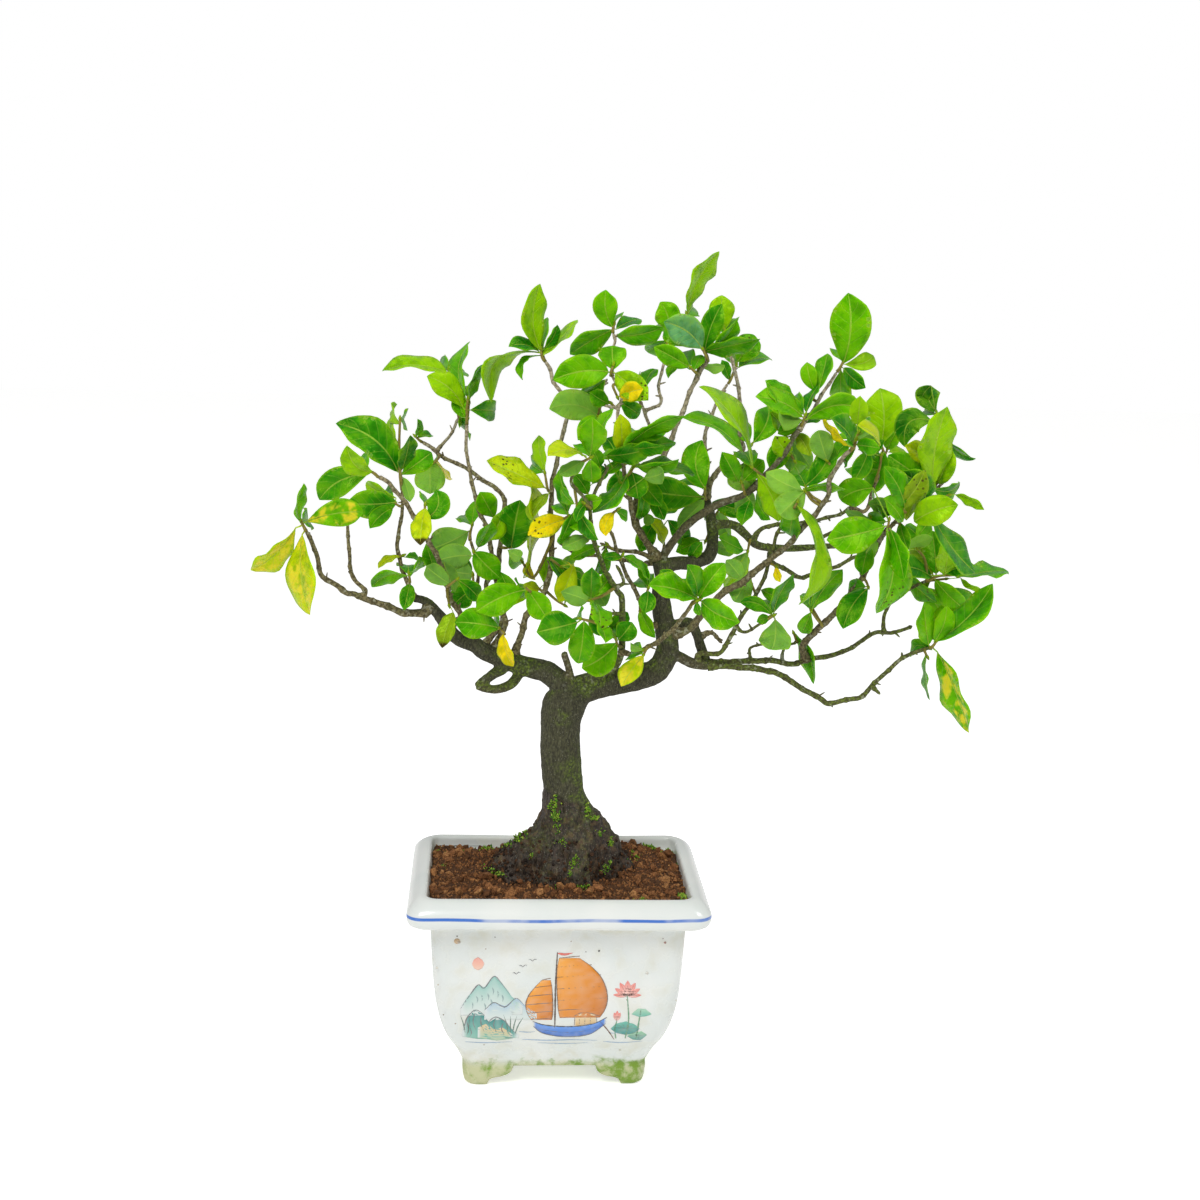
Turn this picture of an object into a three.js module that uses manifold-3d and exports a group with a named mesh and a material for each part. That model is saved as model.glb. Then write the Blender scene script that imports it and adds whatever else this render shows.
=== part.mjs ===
// Persimmon bonsai in a glazed porcelain pot.
// Millimetres, +Z up, front of the pot towards -Y. The pot is built about its own centre line,
// and at the end everything is moved so that the origin lies on the standing surface,
// under the middle of the whole plant's box.

import * as THREE from 'three';
import { mergeVertices } from 'three/addons/utils/BufferGeometryUtils.js';
import Module from 'manifold-3d';

const wasm = await Module();
wasm.setup();

// Driving dimensions of the pot
const RIM_WIDTH = 190;
const RIM_DEPTH = 142;
const POT_HEIGHT = 137;
const FOOT_HEIGHT = 14;
const RIM_THICKNESS = 12.5;
const FLOOR_TOP = 24;
const CORNER_RADIUS = 10;
const INNER_CORNER_RADIUS = 6;
const CORNER_STEPS = 4;
const DRAIN_HOLE_RADIUS = 7;
const DRAIN_HOLE_X = 32;

// Driving dimensions of the soil and what lies on or in it
const SOIL_TOP = 131;
const SOIL_MOUND = 3;
const SCREEN_SIDE = 22;
const SCREEN_THICKNESS = 0.8;
const SEAT_GAP = 0.3;
const ROOT_DEPTH = 22;

// Driving dimensions of the growth
const LEAF_THICKNESS = 0.7;
const LEAF_PROPORTION = 0.5;
const YOUNG_SHOOT_RADIUS = 0.9;
const SPUR_RADIUS = 0.9;
const SHOOT_GAP = 0.4;
const SHOOT_LEAD = 1.6;
const LEAF_CLEARANCE = 0.35;
const FACET_TOLERANCE = 0.05;
const MERGE_TOLERANCE = 1e-4;
const THIN_SIDES = 4;

// The tree is laid out in its front view, in view units on a sheet of 1200 by 1200, as seen from
// a point before the pot. A place is a point of the sheet and a depth in millimetres behind the
// pot's centre line.
const VIEW = {
  middle: 600,
  focalLength: 1714,
  eye: new THREE.Vector3(-45, -1067, 519),
  down: THREE.MathUtils.degToRad(10.84),
  turn: THREE.MathUtils.degToRad(3.69),
  roll: THREE.MathUtils.degToRad(-1.49),
};
const level = new THREE.Vector3(Math.sin(VIEW.turn), Math.cos(VIEW.turn), 0);
const levelRight = new THREE.Vector3(Math.cos(VIEW.turn), -Math.sin(VIEW.turn), 0);
const forward = level.clone().multiplyScalar(Math.cos(VIEW.down));
forward.z -= Math.sin(VIEW.down);
const levelUp = level.clone().multiplyScalar(Math.sin(VIEW.down));
levelUp.z += Math.cos(VIEW.down);
const right = levelRight.clone().multiplyScalar(Math.cos(VIEW.roll))
  .addScaledVector(levelUp, -Math.sin(VIEW.roll));
const up = levelRight.clone().multiplyScalar(Math.sin(VIEW.roll))
  .addScaledVector(levelUp, Math.cos(VIEW.roll));

// The point of space that lies at view point (u, v) and at the given depth.
function place([u, v], depth) {
  const ray = forward.clone().multiplyScalar(VIEW.focalLength)
    .addScaledVector(right, u - VIEW.middle)
    .addScaledVector(up, VIEW.middle - v);
  return VIEW.eye.clone().addScaledVector(ray, (depth - VIEW.eye.y) / ray.y);
}

// How many millimetres one view unit is at a point of space.
function unitAt(point) {
  return point.clone().sub(VIEW.eye).dot(forward) / VIEW.focalLength;
}

// Solids and meshes
function solidOf(geometry) {
  const bare = geometry.clone();
  bare.deleteAttribute('normal');
  bare.deleteAttribute('uv');
  const merged = mergeVertices(bare, MERGE_TOLERANCE);
  return new wasm.Manifold(new wasm.Mesh({
    numProp: 3,
    vertProperties: new Float32Array(merged.attributes.position.array),
    triVerts: new Uint32Array(merged.index.array),
  }));
}

function geometryOf(solid) {
  const mesh = solid.getMesh();
  const geometry = new THREE.BufferGeometry();
  geometry.setAttribute('position', new THREE.BufferAttribute(mesh.vertProperties, 3));
  geometry.setIndex(new THREE.BufferAttribute(mesh.triVerts, 1));
  geometry.computeVertexNormals();
  return geometry;
}

function joined(solids) {
  return wasm.Manifold.union(solids);
}

// Fewer facets where they hardly differ from flat.
function lightened(solid) {
  return solid.simplify(FACET_TOLERANCE);
}

// A closed skin through rings of equally many points, each ring running anticlockwise as seen
// from the last one, with a fan over the first ring and the last.
function loft(rings) {
  const count = rings[0].length;
  const positions = rings.flat().flatMap((point) => point.toArray());
  const index = [];
  for (let row = 0; row + 1 < rings.length; row += 1) {
    for (let k = 0; k < count; k += 1) {
      const a = row * count + k;
      const b = row * count + (k + 1) % count;
      index.push(a, b, b + count, a, b + count, a + count);
    }
  }
  const firstMiddle = rings.length * count;
  const lastMiddle = firstMiddle + 1;
  const lastRow = firstMiddle - count;
  for (const ring of [rings[0], rings.at(-1)]) {
    const middle = new THREE.Vector3();
    ring.forEach((point) => middle.addScaledVector(point, 1 / count));
    positions.push(...middle.toArray());
  }
  for (let k = 0; k < count; k += 1) {
    const next = (k + 1) % count;
    index.push(firstMiddle, next, k);
    index.push(lastMiddle, lastRow + k, lastRow + next);
  }
  const geometry = new THREE.BufferGeometry();
  geometry.setAttribute('position', new THREE.Float32BufferAttribute(positions, 3));
  geometry.setIndex(index);
  return geometry;
}

// A round tube along points, with a radius at each. Its rings stand across the mean direction
// of the two stretches that meet there, and are carried along without twist. The first ring is
// turned by a slanted direction that no limb starts along.
const TUBE_REFERENCE = new THREE.Vector3(0.3, 1, 0.2);

function tube(points, radii, sides) {
  const rings = [];
  let across = null;
  points.forEach((point, i) => {
    const before = points[Math.max(i - 1, 0)];
    const after = points[Math.min(i + 1, points.length - 1)];
    const along = after.clone().sub(before).normalize();
    if (across === null) {
      across = TUBE_REFERENCE.clone().cross(along).normalize();
    }
    across.addScaledVector(along, -across.dot(along)).normalize();
    const side = along.clone().cross(across);
    const ring = [];
    for (let k = 0; k < sides; k += 1) {
      const angle = (2 * Math.PI * k) / sides;
      ring.push(point.clone()
        .addScaledVector(across, radii[i] * Math.cos(angle))
        .addScaledVector(side, radii[i] * Math.sin(angle)));
    }
    rings.push(ring);
  });
  return solidOf(loft(rings));
}

// Pot: rounded rectangles at rising heights, up the outside, over the rim, down the inside
function roundedRectangle(halfWidth, halfDepth, radius, z) {
  const ring = [];
  const corners = [[1, -1, -90], [1, 1, 0], [-1, 1, 90], [-1, -1, 180]];
  for (const [sx, sy, from] of corners) {
    for (let k = 0; k <= CORNER_STEPS; k += 1) {
      const angle = THREE.MathUtils.degToRad(from + (90 * k) / CORNER_STEPS);
      ring.push(new THREE.Vector3(
        sx * (halfWidth - radius) + radius * Math.cos(angle),
        sy * (halfDepth - radius) + radius * Math.sin(angle),
        z,
      ));
    }
  }
  return ring;
}

const RIM_HALF = [RIM_WIDTH / 2, RIM_DEPTH / 2];
// Outline of the wall: how far in from the widest line of the rim, and how high.
const POT_OUTSIDE = [
  [36, FOOT_HEIGHT], [34.5, 18], [30.5, 27], [25.5, 36], [21.7, 46], [18.8, 58],
  [17, 72], [15.5, 96], [14.2, 115], [12.5, 117], [6, 118.5], [1.5, 121], [0, 127],
  [1.2, 130.5], [4.5, 134.2], [8.2, 136.6], [10.5, POT_HEIGHT],
];
const POT_INSIDE = [
  [RIM_THICKNESS, 135.5], [13.2, 130], [17, 122], [20.5, 112], [23.5, 72], [27.5, 50],
  [33, 36], [38, 29], [43, FLOOR_TOP],
];

function potRing([inset, z], radius) {
  return roundedRectangle(RIM_HALF[0] - inset, RIM_HALF[1] - inset, radius, z);
}

// One bracket foot: an ogee board along the front and one along the side, meeting at the corner.
// From its flat toe the lower edge steps up, runs on as a shallow lobe and turns up to the wall.
const FOOT_LENGTH = 33;
const FOOT_TOE = 17;
const FOOT_STEP = 4;
const FOOT_LOBE = 8;
const FOOT_TAPER = 2;
const FOOT_THICKNESS = 9;
const FOOT_SINK = 6;
const FOOT_CORNER = [59, 35.6];

function footBoard() {
  const outline = new THREE.Shape();
  outline.moveTo(0, 0);
  outline.lineTo(FOOT_TOE, 0);
  outline.quadraticCurveTo(FOOT_TOE, FOOT_STEP, FOOT_TOE + FOOT_LOBE, FOOT_STEP + 1);
  outline.quadraticCurveTo(FOOT_LENGTH - 2, FOOT_STEP + 2, FOOT_LENGTH, FOOT_HEIGHT);
  outline.lineTo(FOOT_LENGTH, FOOT_HEIGHT + FOOT_SINK);
  outline.lineTo(FOOT_TAPER, FOOT_HEIGHT + FOOT_SINK);
  outline.closePath();
  const board = new THREE.ExtrudeGeometry(outline, {
    depth: FOOT_THICKNESS, bevelEnabled: false, curveSegments: 4,
  });
  return board.rotateX(Math.PI / 2).translate(0, FOOT_THICKNESS, 0);
}

function potFoot(sx, sy) {
  const alongFront = footBoard();
  const alongSide = footBoard().rotateZ(Math.PI / 2).translate(FOOT_THICKNESS, 0, 0);
  const foot = joined([solidOf(alongFront), solidOf(alongSide)]);
  const turned = foot.translate([-FOOT_CORNER[0], -FOOT_CORNER[1], 0]);
  const mirroredX = sx > 0 ? turned.mirror([1, 0, 0]) : turned;
  return sy > 0 ? mirroredX.mirror([0, 1, 0]) : mirroredX;
}

function drainHole(x) {
  const height = FLOOR_TOP + FOOT_HEIGHT;
  const drill = new THREE.CylinderGeometry(DRAIN_HOLE_RADIUS, DRAIN_HOLE_RADIUS, height, 20);
  return solidOf(drill.rotateX(Math.PI / 2).translate(x, 0, height / 2));
}

function makePot() {
  const outside = POT_OUTSIDE.map((row) => potRing(row, CORNER_RADIUS));
  const inside = POT_INSIDE.map((row) => potRing(row, INNER_CORNER_RADIUS));
  const wall = solidOf(loft([...outside, ...inside]));
  const cavity = solidOf(loft(inside.toReversed()));
  const feet = [[-1, -1], [1, -1], [-1, 1], [1, 1]].map(([sx, sy]) => potFoot(sx, sy));
  return joined([wall, ...feet.map((foot) => foot.subtract(cavity))])
    .subtract(joined([drainHole(-DRAIN_HOLE_X), drainHole(DRAIN_HOLE_X)]));
}

// Drainage screen: a square of plastic mesh laid over a hole, inside the pot
const SCREEN_HOLES = 3;
const SCREEN_HOLE_SIDE = 3.6;

function makeScreen() {
  const pitch = SCREEN_SIDE / (SCREEN_HOLES + 1);
  const holes = [];
  for (let i = 0; i < SCREEN_HOLES; i += 1) {
    for (let j = 0; j < SCREEN_HOLES; j += 1) {
      const x = (i - (SCREEN_HOLES - 1) / 2) * pitch;
      const y = (j - (SCREEN_HOLES - 1) / 2) * pitch;
      const hole = new THREE.BoxGeometry(SCREEN_HOLE_SIDE, SCREEN_HOLE_SIDE, SCREEN_SIDE);
      holes.push(solidOf(hole.translate(x, y, 0)));
    }
  }
  const sheet = new THREE.BoxGeometry(SCREEN_SIDE, SCREEN_SIDE, SCREEN_THICKNESS);
  return solidOf(sheet.translate(0, 0, SCREEN_THICKNESS / 2)).subtract(joined(holes));
}

// Trunk: rings across the stem, each row a height, the middle's x, half the width, and how deep
// the ring is for its width. Below the soil it goes on as the root stock.
const TRUNK_SIDES = 20;
const TRUNK_ROWS = [
  [SOIL_TOP - ROOT_DEPTH, 3, 30, 0.8], [123, 2.5, 44, 0.72], [134, 2, 49, 0.72],
  [145, 5, 44, 0.74], [152.6, 7, 37, 0.78], [160.8, 10.5, 25.5, 0.88], [168.9, 9, 20.5, 0.95],
  [181.8, 5.1, 14.3, 1], [192.6, 2.9, 13, 1], [210.7, 1.2, 12.9, 1], [230.7, 0.3, 13, 1],
  [244.6, 2.4, 14.6, 0.95], [253, 6, 15.5, 0.85], [259, 8, 10, 0.8],
];
const ROOT_RIDGES = 5;
const ROOT_RIDGE_HEIGHT = 0.1;
const ROOT_RIDGE_START = 175;
const ROOT_RIDGE_RUN = 40;
const ROOT_RIDGE_PHASE = 0.6;

function trunkRing([z, x, halfWidth, depthRatio], grow) {
  const down = THREE.MathUtils.smoothstep(ROOT_RIDGE_START - z, 0, ROOT_RIDGE_RUN);
  const ring = [];
  for (let k = 0; k < TRUNK_SIDES; k += 1) {
    const angle = (2 * Math.PI * k) / TRUNK_SIDES;
    const ridge = ROOT_RIDGE_HEIGHT * down * Math.cos(ROOT_RIDGES * angle + ROOT_RIDGE_PHASE);
    const radius = halfWidth * (1 + ridge) + grow;
    ring.push(new THREE.Vector3(
      x + radius * Math.cos(angle),
      radius * depthRatio * Math.sin(angle),
      z,
    ));
  }
  return ring;
}

function trunkSolid(grow) {
  return solidOf(loft(TRUNK_ROWS.map((row) => trunkRing(row, grow))));
}

// Limbs: each springs from the nearest point of the limb that carries it and runs through its
// points to its end depth. Thicknesses and points are in view units.
const TRUNK_LINE = [[561, 757], [560, 727], [564, 706], [573, 692]];
const LIMBS = [
  // left side
  ['left_bough', 'trunk', -8, [26, 9], [[557, 680], [545, 671], [525, 666], [512, 662],
    [500, 658], [485, 652], [475, 645], [462, 641], [452, 633], [441, 618], [432, 607],
    [425, 601], [414, 598]]],
  ['far_left_limb', 'left_bough', -38, [8, 4], [[424, 612], [412, 613], [402, 613], [388, 606],
    [370, 601], [355, 594], [346, 593], [335, 584], [323, 577], [319, 570], [317, 555],
    [313, 545], [306, 531]]],
  ['left_twig_low', 'far_left_limb', 22, [4.5, 3], [[365, 590], [355, 580], [350, 568],
    [350, 555], [348, 540], [348, 524], [349, 508]]],
  ['left_twig_high', 'left_bough', 6, [5, 3], [[408, 583], [402, 570], [400, 558], [397, 545],
    [399, 530], [402, 516], [402, 490]]],
  ['left_front_branch', 'left_bough', -62, [6, 4.2], [[461, 617], [451, 600], [447, 583],
    [442, 568], [436, 555], [428, 540], [420, 527], [412, 513], [403, 500], [395, 490],
    [388, 482], [378, 477]]],
  ['left_inner_twig', 'left_bough', 28, [4, 3], [[478, 620], [477, 595], [478, 575],
    [475, 555], [470, 540]]],
  ['left_rear_branch', 'left_bough', 48, [6, 3.2], [[505, 620], [487, 590], [490, 575],
    [492, 555], [487, 528], [478, 508], [472, 482], [468, 462], [466, 440], [467, 424]]],
  ['lichen_branch', 'left_bough', 88, [6, 3.6], [[503, 618], [497, 580], [500, 550],
    [503, 520], [504, 500], [495, 487], [483, 481], [470, 470], [455, 463], [440, 455],
    [430, 447], [422, 442]]],
  ['lichen_twig', 'lichen_branch', 76, [3.4, 2.8], [[450, 435], [459, 418]]],
  ['left_stub', 'left_bough', -14, [6, 3], [[512, 682], [500, 689], [480, 685]]],
  ['left_stub_high', 'left_bough', -4, [6, 3], [[488, 674], [480, 681]]],
  ['cut_stub', 'trunk', -10, [9, 7], [[569, 670], [564, 653]]],
  // middle
  ['centre_left_branch', 'left_bough', 26, [6.5, 3.6], [[521, 635], [527, 615], [541, 598],
    [547, 585], [551, 565], [552, 545], [551, 520], [551, 500], [553, 480], [557, 460],
    [561, 442], [564, 428], [569, 412], [568, 400], [560, 391], [553, 380], [550, 370],
    [545, 361]]],
  ['front_mossy_branch', 'trunk', -52, [9, 4.6], [[590, 679], [604, 673], [614, 667],
    [619, 660], [622, 645], [622, 600], [618, 592], [606, 573], [602, 563], [598, 553],
    [592, 533], [590, 508]]],
  ['mossy_fork_left', 'front_mossy_branch', -60, [4, 3], [[584, 497], [571, 483], [579, 466]]],
  ['mossy_fork_right', 'front_mossy_branch', -42, [4, 3], [[594, 495], [598, 485],
    [609, 467]]],
  ['mossy_side_low', 'front_mossy_branch', -52, [3.4, 3], [[608, 614], [602, 624]]],
  ['mossy_side_high', 'front_mossy_branch', -34, [3.4, 3], [[624, 582], [616, 565]]],
  ['right_bough', 'trunk', 5, [30, 17], [[600, 684], [630, 677], [655, 668], [667, 652],
    [667, 636], [663, 615], [661, 595], [664, 578], [660, 560]]],
  ['hub_twig_upper', 'right_bough', -14, [5, 3], [[640, 553], [625, 551], [610, 548],
    [600, 543]]],
  ['hub_twig_lower', 'right_bough', 34, [5, 3], [[640, 564], [625, 560], [597, 556],
    [575, 553], [557, 541]]],
  ['centre_twig', 'right_bough', -40, [5, 3], [[650, 625], [643, 615], [640, 600], [632, 585],
    [620, 560], [614, 540], [606, 524]]],
  ['front_twig', 'front_mossy_branch', -88, [5, 4], [[632, 654], [650, 646], [668, 634],
    [682, 618], [691, 605]]],
  // right side, upper
  ['upper_stem', 'right_bough', 26, [16, 10], [[678, 563], [690, 563], [708, 557], [713, 540],
    [710, 515], [706, 500]]],
  ['mossy_right_branch', 'upper_stem', 56, [10, 5.5], [[725, 524], [735, 526], [745, 534],
    [757, 545], [775, 548], [800, 548], [830, 546], [850, 545]]],
  ['mossy_right_low', 'mossy_right_branch', 96, [5, 3.6], [[770, 560], [790, 572], [802, 578],
    [812, 574], [835, 567], [857, 556]]],
  ['mossy_right_high', 'mossy_right_branch', 84, [4.6, 3.4], [[765, 527], [795, 524],
    [818, 520], [840, 514], [850, 507]]],
  ['mossy_right_tip', 'mossy_right_branch', 62, [4, 3], [[820, 540], [835, 530],
    [848, 522]]],
  ['rear_right_twig', 'mossy_right_high', 92, [4, 3], [[865, 511], [873, 490], [881, 468],
    [884, 454]]],
  ['upper_right_branch', 'right_bough', -30, [9, 5.5], [[685, 527], [715, 506], [745, 494],
    [765, 475], [783, 456], [792, 440], [799, 430]]],
  ['upper_right_tip', 'upper_right_branch', -10, [4.2, 3.2], [[803, 425], [815, 407],
    [826, 388], [837, 372]]],
  ['upper_branch', 'right_bough', 12, [7, 4], [[645, 540], [637, 525], [635, 505], [640, 490],
    [650, 478], [662, 460], [668, 447], [676, 427], [684, 408], [692, 388], [700, 372],
    [708, 361]]],
  ['centre_branch', 'right_bough', -24, [6, 4.4], [[640, 534], [632, 514], [630, 497],
    [625, 480], [624, 465]]],
  ['centre_upper_twig', 'centre_branch', -4, [4, 3], [[621, 440], [618, 420], [618, 408],
    [622, 396], [617, 384], [612, 376]]],
  ['top_centre_twig', 'centre_upper_twig', 8, [3.2, 2.8], [[613, 350], [615, 340],
    [613, 333]]],
  ['centre_side_twig', 'centre_upper_twig', 22, [3.2, 2.8], [[598, 403], [600, 392],
    [607, 379]]],
  ['rear_centre_twig', 'upper_branch', 50, [4, 3], [[652, 445], [649, 425], [645, 413],
    [639, 400]]],
  ['rear_centre_fork', 'rear_centre_twig', 64, [3.2, 2.8], [[660, 404], [659, 390],
    [660, 378], [665, 358]]],
  ['rear_upper_branch', 'upper_stem', 64, [6, 3.2], [[713, 477], [730, 460], [743, 449],
    [740, 435], [741, 412], [739, 395], [736, 375], [731, 358], [728, 351]]],
  ['rear_upper_twig', 'upper_stem', 98, [5, 3], [[707, 475], [705, 450], [705, 435],
    [710, 420], [716, 405], [720, 395], [728, 384]]],
  // right side, lower
  ['front_branch', 'right_bough', -78, [8, 4.4], [[680, 633], [690, 628], [703, 613],
    [722, 594], [745, 580], [765, 563], [785, 548], [800, 531], [812, 518], [820, 508],
    [828, 496], [829, 483], [835, 470], [843, 457], [851, 450]]],
  ['low_hub', 'right_bough', 8, [11, 11], [[680, 657], [692, 663], [708, 665]]],
  ['knob_arch', 'right_bough', 12, [12, 10], [[690, 623], [697, 635], [702, 650],
    [707, 663]]],
  ['knob_twig', 'knob_arch', 24, [6, 3], [[712, 633], [722, 643]]],
  ['low_inner_branch', 'low_hub', -46, [5, 3.4], [[700, 654], [721, 652], [732, 633],
    [745, 611], [756, 595], [765, 575], [772, 553], [776, 537], [784, 522], [790, 513]]],
  ['low_inner_side', 'low_inner_branch', -30, [3.4, 2.8], [[745, 632], [762, 623]]],
  ['low_right_branch', 'low_hub', -16, [7, 4], [[740, 667], [770, 671], [780, 675],
    [800, 687], [822, 700], [830, 703], [852, 699], [862, 696], [875, 683], [895, 664],
    [912, 653], [929, 648]]],
  ['low_right_stub', 'low_right_branch', -18, [4, 3], [[880, 694]]],
  ['low_rear_branch', 'low_hub', 48, [7, 3.6], [[730, 662], [755, 661], [770, 660], [790, 664],
    [810, 659], [840, 653], [860, 642], [877, 632], [893, 633], [912, 626]]],
  ['low_rear_fork', 'low_rear_branch', 30, [3.8, 3], [[885, 612], [897, 596], [915, 586],
    [927, 581]]],
  ['low_rear_twig', 'low_rear_branch', 34, [3.2, 2.6], [[750, 648], [766, 644]]],
  ['low_rear_twig_right', 'low_rear_branch', 30, [3.2, 2.6], [[785, 647], [797, 642]]],
  ['right_branch', 'low_rear_branch', -36, [7, 5], [[803, 645], [822, 625], [840, 608],
    [847, 598], [862, 578], [873, 555], [880, 540], [887, 531]]],
  ['right_twig', 'right_branch', -10, [4, 3.2], [[900, 516], [915, 506], [928, 497]]],
  ['right_twig_high', 'right_twig', 22, [3.4, 2.8], [[945, 478], [950, 455], [944, 438],
    [936, 427]]],
];

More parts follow.
